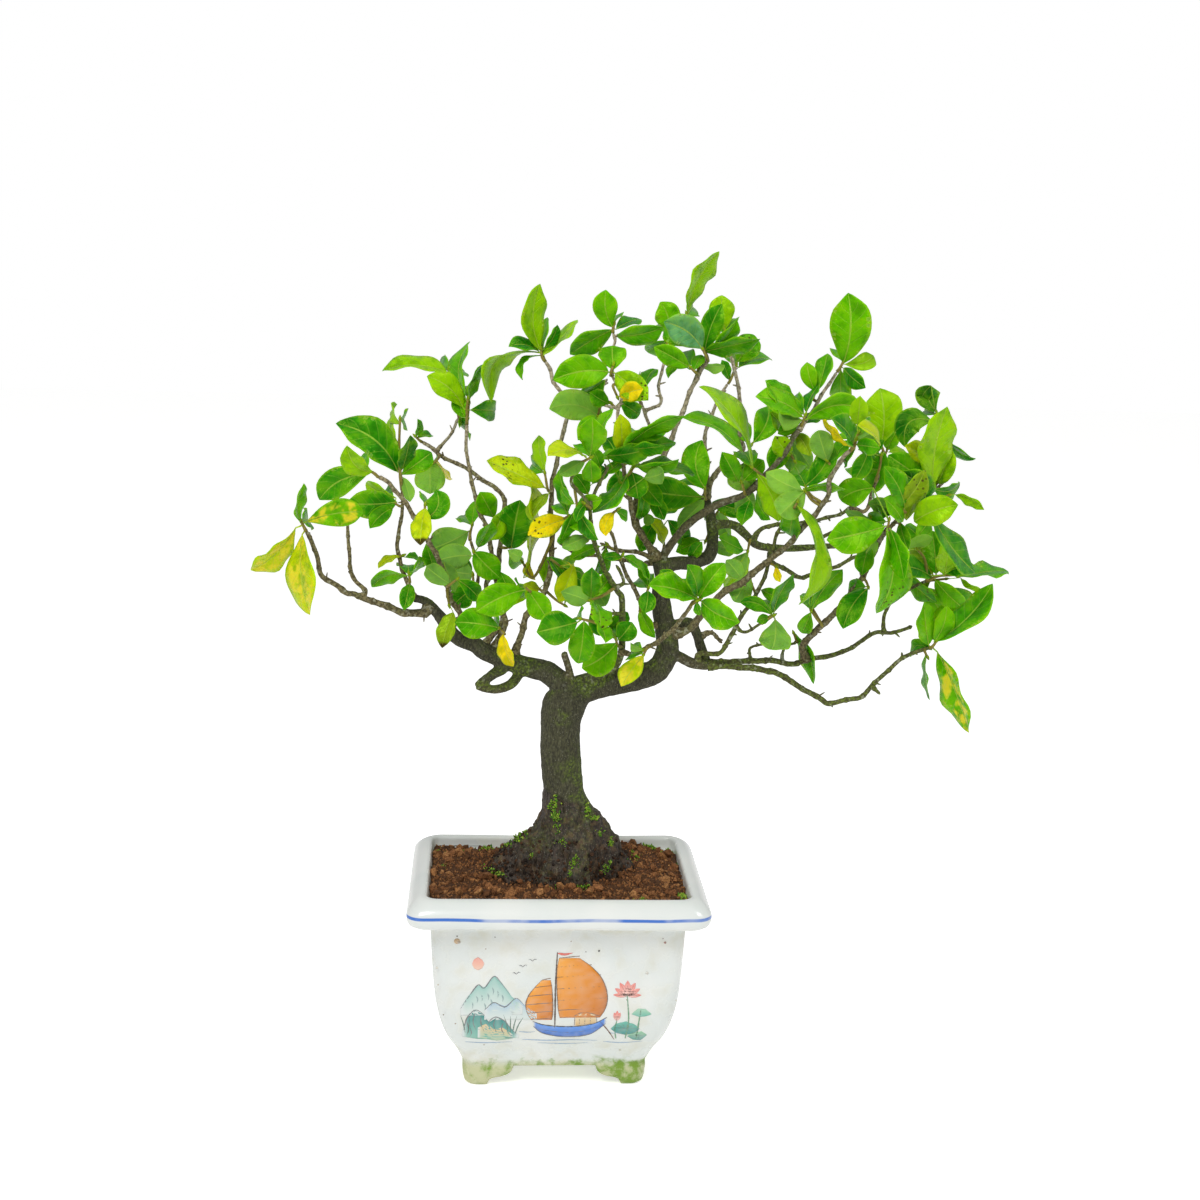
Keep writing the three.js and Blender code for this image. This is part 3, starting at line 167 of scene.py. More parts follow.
def new_material(name):
    """An empty node material, with its tree."""
    material = bpy.data.materials.new(name)
    material.use_nodes = True
    material.node_tree.nodes.clear()
    return material, material.node_tree


def finish_material(tree, surface_inputs):
    """Ends a material with one Principled shader."""
    surface = add_node(tree, "BsdfPrincipled", inputs=surface_inputs)
    add_node(tree, "OutputMaterial", inputs={"Surface": surface})


# %% A white world and two soft lamps
# The camera sees the world fully white, but less light than that comes from it, so the lamps tell in it.
WORLD_STRENGTH, WORLD_SEEN = 0.5, 1.0
world = bpy.data.worlds.new("white_tent")
world.use_nodes = True
world.node_tree.nodes.clear()
seen = add_node(world.node_tree, "LightPath", out="Is Camera Ray")
strength = add_node(world.node_tree, "MapRange", {}, {0: seen, 3: WORLD_STRENGTH, 4: WORLD_SEEN})
tent = add_node(world.node_tree, "Background", inputs={"Color": linear("#ffffff"), "Strength": strength})
add_node(world.node_tree, "OutputWorld", inputs={"Surface": tent})
bpy.context.scene.world = world
bpy.context.scene.view_settings.view_transform = "Standard"

# Each lamp: its place and how long its side is, in millimetres, and its power in watts.
LAMPS = {
    "lamp_above_left": ((-600, -1100, 1500), 700, 16),
    "lamp_above_right": ((900, -700, 1400), 600, 7),
}
LAMPS_AIM = (0, 0, 300)
for name, (spot, side, watts) in LAMPS.items():
    lamp_data = bpy.data.lights.new(name, "AREA")
    lamp_data.size = side * MM
    lamp_data.energy = watts
    lamp = bpy.data.objects.new(name, lamp_data)
    bpy.context.scene.collection.objects.link(lamp)
    lamp.location = row_place(spot)
    towards = Matrix.Translation(row_place(LAMPS_AIM)).translation - lamp.location
    lamp.rotation_euler = towards.to_track_quat("-Z", "Y").to_euler()

# %% [markdown]
# ## Surfaces as arrays
# Everything new is a surface worked out with numpy. A piece is a list of parts. A part has its points, its
# faces, and a value for each point where a colour or a finish changes over the piece.


# %% Parts and pieces
# The values that are colours, with three numbers a point.
COLOURS = {"paint", "tint"}


def grid_faces(rows, columns, closed):
    """Four-sided faces over a grid of rows by columns of points. A closed grid joins its last column to its
    first."""
    strips = columns if closed else columns - 1
    row, column = np.meshgrid(np.arange(rows - 1), np.arange(strips), indexing="ij")
    a = row * columns + column
    b = row * columns + (column + 1) % columns
    return np.stack([a, b, b + columns, a + columns], axis=-1).reshape(-1, 4)


def make_part(points, faces, **values):
    """A part: points, a list of arrays of faces, and named values. A value is either one for all points or
    one a point."""
    points = np.asarray(points, float)
    spread = {}
    for name, value in values.items():
        value = np.asarray(value, float)
        whole = value.ndim == 0 or (value.ndim == 1 and name in COLOURS)
        spread[name] = np.broadcast_to(value, (len(points), *value.shape)).copy() if whole else value
    return {"points": points, "faces": faces, "values": spread}


def mesh_of(name, parts, placed):
    """Parts joined in one mesh. placed is a function that gives their points in the mesh's own units."""
    starts = np.cumsum([0] + [len(part["points"]) for part in parts])
    faces = [(block + start).tolist() for part, start in zip(parts, starts) for block in part["faces"]]
    points = placed(np.vstack([part["points"] for part in parts]))
    mesh = bpy.data.meshes.new(name)
    mesh.from_pydata(points.tolist(), [], list(itertools.chain.from_iterable(faces)))
    return mesh


def make_piece(name, parts, materials, replaced=()):
    """One mesh object from parts, at the origin, riding on the whole object's body."""
    mesh = mesh_of(name, parts, row_place)
    for key in parts[0]["values"]:
        add_value(mesh, key, np.concatenate([part["values"][key] for part in parts]))
    mesh.polygons.foreach_set("use_smooth", np.ones(len(mesh.polygons), bool))
    piece = bpy.data.objects.new(name, mesh)
    bpy.context.scene.collection.objects.link(piece)
    for material in materials:
        mesh.materials.append(material)
    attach(piece, "root")
    if replaced:
        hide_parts(*replaced)
    mesh.calc_loop_triangles()
    print(f"{name}: {len(mesh.loop_triangles)} triangles")
    return piece


def shaped(parts, sides, *steps):
    """Parts as one mesh with modifiers run on it, in millimetres. A step is a modifier's kind and its
    settings, and all faces of the result have the same number of sides. Returns its points, normals and
    faces."""
    rough = bpy.data.objects.new("rough", mesh_of("rough", parts, np.asarray))
    bpy.context.scene.collection.objects.link(rough)
    for kind, settings in steps:
        step = rough.modifiers.new(kind, kind)
        for key, value in settings.items():
            setattr(step, key, value)
    seen = rough.evaluated_get(bpy.context.evaluated_depsgraph_get())
    mesh = seen.to_mesh()
    points, normals = np.zeros((2, 3 * len(mesh.vertices)))
    mesh.vertices.foreach_get("co", points)
    mesh.vertex_normals.foreach_get("vector", normals)
    corners = np.zeros(len(mesh.loops), int)
    mesh.loops.foreach_get("vertex_index", corners)
    seen.to_mesh_clear()
    bpy.data.objects.remove(rough)
    return points.reshape(-1, 3), normals.reshape(-1, 3), corners.reshape(-1, sides)


def add_value(mesh, key, column):
    """Stores one value a point on a mesh: a number, a place on the UV map, or a colour, which gets a fourth
    number, 1."""
    if column.ndim == 1:
        mesh.attributes.new(key, "FLOAT", "POINT").data.foreach_set("value", column)
        return
    if key == "uv":
        spots = np.zeros(len(mesh.loops), int)
        mesh.loops.foreach_get("vertex_index", spots)
        mesh.uv_layers.new(name="uv").data.foreach_set("uv", column[spots].ravel())
        return
    full = np.column_stack([column[:, :3], np.ones(len(column))])
    mesh.attributes.new(key, "FLOAT_COLOR", "POINT").data.foreach_set("color", full.ravel())


# %% Seeded noise
# The lattice has this many cells each way, and then repeats.
CELLS = 64
LATTICE = np.random.default_rng(11).uniform(-1, 1, (CELLS, CELLS, CELLS))


def noise(points, size):
    """Smooth random numbers from -1 to 1. Each corner of a lattice of cells of the given size, in
    millimetres, holds a random number, and a point takes the mean of its cell's eight corners, weighted by
    3t^2 - 2t^3."""
    cell = np.asarray(points, float) / np.asarray(size, float)
    base = np.floor(cell).astype(int)
    part = cell - base
    part = part * part * (3 - 2 * part)
    total = np.zeros(len(cell))
    for corner in itertools.product((0, 1), repeat=3):
        weight = np.where(corner, part, 1 - part).prod(axis=1)
        total += weight * LATTICE[tuple(((base + corner) % CELLS).T)]
    return total


def layered_noise(points, layers):
    """A sum of noises. Each layer: how high it is, the size of its cells, and how far its points are
    shifted."""
    return sum(height * noise(points + shift, size) for height, size, shift in layers)


def smoothstep(values, low, high):
    """0 below low, 1 above high, and 3t^2 - 2t^3 between them."""
    t = np.clip((np.asarray(values, float) - low) / (high - low), 0, 1)
    return t * t * (3 - 2 * t)


def run_along(path):
    """How far it is along a path to each of its points."""
    return np.concatenate([[0], np.cumsum(np.linalg.norm(np.diff(path, axis=0), axis=1))])


def unit(vectors):
    """Vectors stretched to length 1."""
    return vectors / np.linalg.norm(vectors, axis=-1, keepdims=True)


def smooth_path(corners, step):
    """A Catmull-Rom curve through corners, as points about step apart. Between b and c, with a before and d
    after, point(t) = b + t (c - a) / 2 + t^2 (2a - 5b + 4c - d) / 2 + t^3 (3b - 3c + d - a) / 2."""
    corners = np.asarray(corners, float)
    padded = np.vstack([2 * corners[0] - corners[1], corners, 2 * corners[-1] - corners[-2]])
    lengths = np.linalg.norm(np.diff(corners[:, :3], axis=0), axis=1)
    counts = np.maximum(1, np.round(lengths / step)).astype(int)
    span = np.repeat(np.arange(len(counts)), counts)
    t = np.concatenate([np.arange(count) / count for count in counts])[:, None]
    a, b, c, d = (padded[span + k] for k in range(4))
    curve = b + t * (c - a) / 2 + t**2 * (2 * a - 5 * b + 4 * c - d) / 2
    curve = curve + t**3 * (3 * b - 3 * c + d - a) / 2
    return np.vstack([curve, corners[-1]])


# %% [markdown]
# ## The floor
# A plain pale sheet under everything. It isn't part of the object. The camera
# sees it glow, so it ends without an edge against the white world and only the pot's shadow is left on it.
# Other rays meet less than half of that glow, so little of it shines on the pot.

# %% A pale floor
# The floor's side in metres, its glow for the camera, and the share of that glow for all other rays.
FLOOR_SIDE = 12
FLOOR_GLOW = 0.51
UNSEEN_SHARE = 0.4
bpy.ops.mesh.primitive_plane_add(size=FLOOR_SIDE)
floor = bpy.context.object
floor.name = "floor"
floor_material, tree = new_material("matt_white_paper")
seen = add_node(tree, "LightPath", out="Is Camera Ray")
glow = add_node(tree, "MapRange", {}, {0: seen, 3: FLOOR_GLOW * UNSEEN_SHARE, 4: FLOOR_GLOW})
finish_material(tree, {"Base Color": linear("#fbfbfa"), "Roughness": 0.9, "Specular IOR Level": 0.1,
                       "Emission Color": linear("#ffffff"), "Emission Strength": glow})
floor.data.materials.append(floor_material)

# %% [markdown]
# ## The pot
# A slab-moulded porcelain pot: a rounded rectangle carried up a wall that swells from the foot, out under a
# rolled rim, over it and down the inside. One grid does all of that, with the profile in one direction and
# the way round in the other. Glaze hides the corners of clay, so the profile is a smooth curve through its
# few points.

# %% Profile and way round
OUTER_CORNER, INNER_CORNER = 10, 6
# Each row: how far in from the widest line of the rim, and how high.
WALL_OUTSIDE = [
    (36, 14), (34.5, 18), (30.5, 27), (25.5, 36), (21.7, 46), (18.8, 58), (17, 72), (15.5, 96), (14.2, 115),
    (12.5, 117), (6, 118.5), (1.5, 121), (0, 127), (1.2, 130.5), (4.5, 134.2), (8.2, 136.6), (10.5, 137),
]
WALL_INSIDE = [
    (12.5, 135.5), (13.2, 130), (17, 122), (20.5, 112), (23.5, 72), (27.5, 50), (33, 36), (38, 29),
    (43, 24),
]
# The profile's step, and the steps along a side and round a corner.
PROFILE_STEP = 2.2
SIDE_STEPS, CORNER_STEPS = 24, 7
# The hand's unevenness: how long its waves are, and how far they move a point at most in x, y and z.
HAND_WAVES = 46
HAND_SHIFTS = np.array([0.5, 0.5, 0.45])


def rounded_rectangles(half_width, half_depth, radius):
    """Rings round rounded rectangles: straight sides in even steps, and corners as quarter circles. The
    sizes hold one number a ring. Returns rings by points by (x, y), each ring anticlockwise from above."""
    arcs = []
    for sx, sy, start in ((1, -1, -90), (1, 1, 0), (-1, 1, 90), (-1, -1, 180)):
        angle = np.radians(start + np.linspace(0, 90, CORNER_STEPS + 1))
        middle = np.stack([sx * (half_width - radius), sy * (half_depth - radius)], axis=-1)
        turn = np.stack([np.cos(angle), np.sin(angle)], axis=-1)
        arcs.append(middle[:, None, :] + radius[:, None, None] * turn[None])
    share = (np.arange(1, SIDE_STEPS) / SIDE_STEPS)[None, :, None]
    whole = []
    for arc, following in zip(arcs, arcs[1:] + arcs[:1]):
        whole += [arc, arc[:, -1:] + share * (following[:, :1] - arc[:, -1:])]
    return np.concatenate(whole, axis=1)


def close_ends(grid):
    """A grid of rings as points and faces, with a fan over the first ring and the last."""
    rows, columns = grid.shape[:2]
    points = np.vstack([grid.reshape(-1, 3), grid[0].mean(axis=0), grid[-1].mean(axis=0)])
    here = np.arange(columns)
    following = (here + 1) % columns
    last = (rows - 1) * columns
    first_fan = np.stack([np.full(columns, rows * columns), following, here], axis=-1)
    last_fan = np.stack([np.full(columns, rows * columns + 1), last + here, last + following], axis=-1)
    return points, [grid_faces(rows, columns, True), first_fan, last_fan]


def pot_rings(rows):
    """Rings of the wall from rows of (how far in, how high, corner radius)."""
    rows = np.asarray(rows, float)
    flat = rounded_rectangles(RIM_WIDTH / 2 - rows[:, 0], RIM_DEPTH / 2 - rows[:, 0], rows[:, 2])
    return np.concatenate([flat, np.broadcast_to(rows[:, 1, None, None], (*flat.shape[:2], 1))], axis=2)


def hand_made(points):
    """Moves points a little, as clay pressed by hand is uneven: one slow noise for each of x, y and z."""
    slow = [noise(points + shift, HAND_WAVES) for shift in (0, 300, 700)]
    return points + np.stack(slow, axis=-1) * HAND_SHIFTS


outside = [(*row, OUTER_CORNER) for row in WALL_OUTSIDE]
inside = [(*row, INNER_CORNER) for row in WALL_INSIDE]
profile = smooth_path(outside + inside, PROFILE_STEP)
wall_points, wall_faces = close_ends(pot_rings(profile))
wall_part = make_part(hand_made(wall_points), wall_faces)
print(f"the wall's profile has {len(profile)} points")

# %% [markdown]
# ## The pot's feet
# Each foot is a bracket: a board along the front and one along the side, meeting at a rounded corner. Its
# lower edge is an ogee: a flat toe at the corner, a small step, then a lobe that turns up to the wall.

# %% Four bracket feet
# Where a foot's outer faces would meet, from the pot's middle, and how high the foot goes, into the wall.
FOOT_CORNER = np.array([59.0, 35.6])
FOOT_TOP = 20
FOOT_CORNER_RADIUS = 9.5
FOOT_SIDE_STEPS, FOOT_CORNER_STEPS = 16, 8
# The lower edge: distance from the corner, and height.
FOOT_EDGE = np.array([
    (0, 0), (15.6, 0), (16.8, 1), (17.4, 3.4), (20, 4.4), (25, 5.2), (29, 6.8), (31.6, 9.4), (33, 14),
])
# The section from the outer face, round the bottom, to the inner face: how far in, and how high between the
# lower edge, 0, and the foot's top, 1.
FOOT_SECTION = np.array([
    (0.2, 1), (-0.6, 0.55), (0, 0.25), (0.9, 0.08), (3, 0), (6, 0), (8.3, 0.08), (9, 0.3), (9, 1),
])


def bracket_foot(sx, sy):
    """One foot: its section stands across a path along the front, round the corner and along the side."""
    straight = np.linspace(FOOT_EDGE[-1, 0], FOOT_CORNER_RADIUS, FOOT_SIDE_STEPS)
    angle = np.radians(np.linspace(0, 90, FOOT_CORNER_STEPS)[1:-1])
    turn = np.stack([np.sin(angle), np.cos(angle)], axis=-1)
    front = np.stack([straight, np.zeros_like(straight)], axis=-1)
    arc = FOOT_CORNER_RADIUS * (1 - turn)
    path = np.vstack([front, arc, front[::-1, ::-1]])
    inward = np.vstack([np.tile([0, 1], (FOOT_SIDE_STEPS, 1)), turn, np.tile([1, 0], (FOOT_SIDE_STEPS, 1))])
    low = np.interp(path.max(axis=1), *FOOT_EDGE.T)
    reach, share = FOOT_SECTION.T
    flat = path[:, None, :] + inward[:, None, :] * reach[None, :, None]
    height = low[:, None] + (FOOT_TOP - low[:, None]) * share[None, :]
    grid = np.concatenate([flat, height[..., None]], axis=2)
    grid[..., :2] = np.array([sx, sy]) * (FOOT_CORNER - grid[..., :2])
    points, faces = close_ends(grid if sx * sy < 0 else grid[:, ::-1])
    return make_part(hand_made(points), faces)


foot_parts = [bracket_foot(sx, sy) for sx in (-1, 1) for sy in (-1, 1)]

# %% [markdown]
# ## Glaze
# Glazed porcelain: white clay under a clear, faintly bluish grey glass. Light goes a little way in, and the
# surface shines softly. A cobalt line is brushed round the widest edge of the rim. Years of watering left
# brown specks, dust near the soil and green algae on the feet. A warm film lies under the rim and low on the
# wall.

# %% The porcelain's material
GLASS_IOR = 1.5
pot_material, tree = new_material("glazed_porcelain")
where = add_node(tree, "TexCoord", out="Object")
from_pot = add_node(tree, "VectorMath", SUBTRACT, {0: where, 1: tuple(POT_MIDDLE * MM)})
axes = add_node(tree, "SeparateXYZ", inputs={0: from_pot}).node.outputs
height = axes["Z"]
# Each noise: how many millimetres its features are across, and its detail.
clouds, film_patches, waver, pressure, orange_peel = (
    add_node(tree, "TexNoise", inputs={"Vector": from_pot, "Scale": per_metre(size), "Detail": detail})
    for size, detail in ((40, 2.0), (14, 4.0), (60, 2.0), (26, 3.0), (5, 2.0)))
clouds = add_node(tree, "MapRange", SMOOTH, {0: clouds, 1: 0.3, 2: 0.7})
colour = add_node(tree, "Mix", COLOUR, {0: clouds, 6: linear("#dee0dc"), 7: linear("#d4d9d6")}, 2)

# A warm, darker film in patches: under the rim and low on the wall, and as dust inside the rim by the soil.
# Places in a material are in metres. Each pair: where there is no film, and where it is full.
UNDER_RIM, RIM_SIDE, WALL_FOOT = (0.106, 0.1165), (0.1215, 0.1185), (0.04, 0.014)
INSIDE_RIM = {"X": (0.085, 0.082), "Y": (0.061, 0.058)}
under_rim, rim_side, wall_foot = (add_node(tree, "MapRange", SMOOTH, {0: height, 1: none, 2: full})
                                  for none, full in (UNDER_RIM, RIM_SIDE, WALL_FOOT))
under_rim = add_node(tree, "Math", TIMES, {0: under_rim, 1: rim_side})
film_places = add_node(tree, "Math", ADD, {0: under_rim, 1: wall_foot})
inward = []
for axis, (none, full) in INSIDE_RIM.items():
    aside = add_node(tree, "Math", ABSOLUTE, {0: axes[axis]})
    inward.append(add_node(tree, "MapRange", SMOOTH, {0: aside, 1: none, 2: full}))
inside = add_node(tree, "Math", TIMES, {0: inward[0], 1: inward[1]})
film_places = add_node(tree, "Math", ADD, {0: film_places, 1: inside})
film_patches = add_node(tree, "MapRange", SMOOTH, {0: film_patches, 1: 0.42, 2: 0.75})
film = add_node(tree, "Math", TIMES, {0: film_patches, 1: film_places})
film_share = add_node(tree, "Math", TIMES, {0: film, 1: 0.3})

# Specks: cells some millimetres across, of which the few with a high random number show a dot at their
# middle. The greatest dot's radius is a share of its cell.
SPECK_CELL, SPECK_RADIUS = 9, 0.085
cells = add_node(tree, "TexVoronoi", {"feature": "F1"},
                 {"Vector": from_pot, "Scale": per_metre(SPECK_CELL)})
cell_number = add_node(tree, "SeparateColor", inputs={0: cells.node.outputs["Color"]})
speck_size = add_node(tree, "MapRange", {}, {0: cell_number, 1: 0.6, 2: 1.0, 4: SPECK_RADIUS})
speck = add_node(tree, "Math", {"operation": "LESS_THAN"}, {0: cells, 1: speck_size})
speck = add_node(tree, "Math", TIMES, {0: speck, 1: 0.75})

# The cobalt line: half a brush's width either side of a height that wavers round the pot.
LINE_HEIGHT, LINE_HALF_WIDTH, LINE_WAVER = 127.0, 1.35, 1.4
waver = add_node(tree, "MapRange", {}, {0: waver, 3: -LINE_WAVER * MM, 4: LINE_WAVER * MM})
wavering = add_node(tree, "Math", ADD, {0: height, 1: waver})
off_line = add_node(tree, "Math", SUBTRACT, {0: wavering, 1: LINE_HEIGHT * MM})
off_line = add_node(tree, "Math", ABSOLUTE, {0: off_line})
on_line = add_node(tree, "MapRange", SMOOTH,
                   {0: off_line, 1: LINE_HALF_WIDTH * MM, 2: 0.5 * LINE_HALF_WIDTH * MM})
pressure = add_node(tree, "MapRange", SMOOTH, {0: pressure, 1: 0.36, 2: 0.58, 3: 0.48, 4: 1.0})
brushed = add_node(tree, "Math", TIMES, {0: on_line, 1: pressure})

# Cream scale low on the feet, and algae: thick there and thin up to the wall's lower edge, more on the right.
cream = add_node(tree, "MapRange", SMOOTH, {0: height, 1: 0.021, 2: 0.012, 4: 0.85})
leaning = add_node(tree, "MapRange", SMOOTH, {0: axes["X"], 1: -0.07, 2: 0.06, 3: 0.1, 4: 0.2})
ledge = add_node(tree, "MapRange", SMOOTH, {0: height, 1: 0.022, 2: 0.015, 4: 0.1})
blotches = add_node(tree, "TexNoise", inputs={"Vector": from_pot, "Scale": per_metre(9), "Detail": 7.0,
                                              "Roughness": 0.65})
patchy = add_node(tree, "Math", ADD, {0: blotches, 1: leaning})
patchy = add_node(tree, "Math", ADD, {0: patchy, 1: ledge})
patchy = add_node(tree, "MapRange", SMOOTH, {0: patchy, 1: 0.66, 2: 0.9})
low_down = add_node(tree, "MapRange", SMOOTH, {0: height, 1: 0.025, 2: 0.0175})
algae = add_node(tree, "Math", TIMES, {0: patchy, 1: low_down})
green_share = add_node(tree, "Math", TIMES, {0: algae, 1: 0.95})

# The glaze's colour takes these on in turn.
for share, over in ((film_share, "#c9c2a3"), (speck, "#7d5a36"), (brushed, "#2c66bd"), (cream, "#b3b57e"),
                    (green_share, "#6a8e06")):
    colour = add_node(tree, "Mix", COLOUR, {0: share, 6: colour, 7: linear(over)}, 2)

algae_and_film = add_node(tree, "Math", LARGER, {0: algae, 1: film})
dull = add_node(tree, "MapRange", {}, {0: algae_and_film, 1: 0.1, 2: 0.9, 3: 0.2, 4: 0.75})
peel = add_node(tree, "Bump", inputs={"Height": orange_peel, "Strength": 0.12, "Distance": 0.0004})
finish_material(tree, {"Base Color": colour, "Roughness": dull, "IOR": GLASS_IOR, "Normal": peel,
                       "Coat Weight": 0.3, "Coat Roughness": 0.08})

# %% Two drain holes cut through the floor
DRAIN_HOLE_RADIUS, DRAIN_HOLE_X = 7, 32
# The drill starts under the floor and ends over it.
DRILL_SIDES = 32
DRILL_HEIGHTS = (4.0, 34.0)


def drill(x):
    """A closed cylinder through the floor, as a mesh of its own: circle points cos and sin at two
    heights."""
    angle = 2 * np.pi * np.arange(DRILL_SIDES) / DRILL_SIDES
    ring = np.stack([x + DRAIN_HOLE_RADIUS * np.cos(angle), DRAIN_HOLE_RADIUS * np.sin(angle)], axis=-1)
    grid = np.stack([np.column_stack([ring, np.full(DRILL_SIDES, z)]) for z in DRILL_HEIGHTS])
    mesh = mesh_of("drill", [make_part(*close_ends(grid))], np.asarray)
    cutter = bpy.data.objects.new("drill", mesh)
    bpy.context.scene.collection.objects.link(cutter)
    return cutter


drills = [drill(x) for x in (-DRAIN_HOLE_X, DRAIN_HOLE_X)]
cuts = [("BOOLEAN", {"object": cutter, "operation": "DIFFERENCE", "solver": "EXACT"}) for cutter in drills]
points, _, faces = shaped([wall_part], 3, *cuts, ("TRIANGULATE", {}))
for cutter in drills:
    bpy.data.objects.remove(cutter)
pot_parts = [make_part(points, [faces]), *foot_parts]
make_piece("glazed_pot", pot_parts, [pot_material], ["pot"])

# %% [markdown]
# ## The limbs
# The trunk is a stack of rings. A limb springs from the nearest point of the limb that carries it and runs
# through its own points to its end depth, so moving one bough takes everything on it along. The points are
# sheet units.

# %% Trunk and limbs on the sheet
# Each row: height, the middle's x, half the width, and how deep the ring is for its width.
TRUNK_ROWS = [
    (123, 0, 42, 0.72), (134, -1, 44, 0.72), (145, 2, 39, 0.74), (152.6, 5.5, 33.5, 0.78),
    (160.8, 9, 25, 0.88), (168.9, 8.5, 20, 0.95), (181.8, 5.1, 14.3, 1), (192.6, 2.9, 13, 1),
    (210.7, 1.2, 12.9, 1), (230.7, 0.3, 13, 1), (244.6, 2.4, 14.6, 0.95), (253, 6, 15.5, 0.85),
    (259, 8, 10, 0.8),
]
# The line on the sheet from which boughs spring, and the trunk's width there.
TRUNK_LINE = [(561, 757), (560, 727), (564, 706), (573, 692)]
TRUNK_WIDTH = 40.0
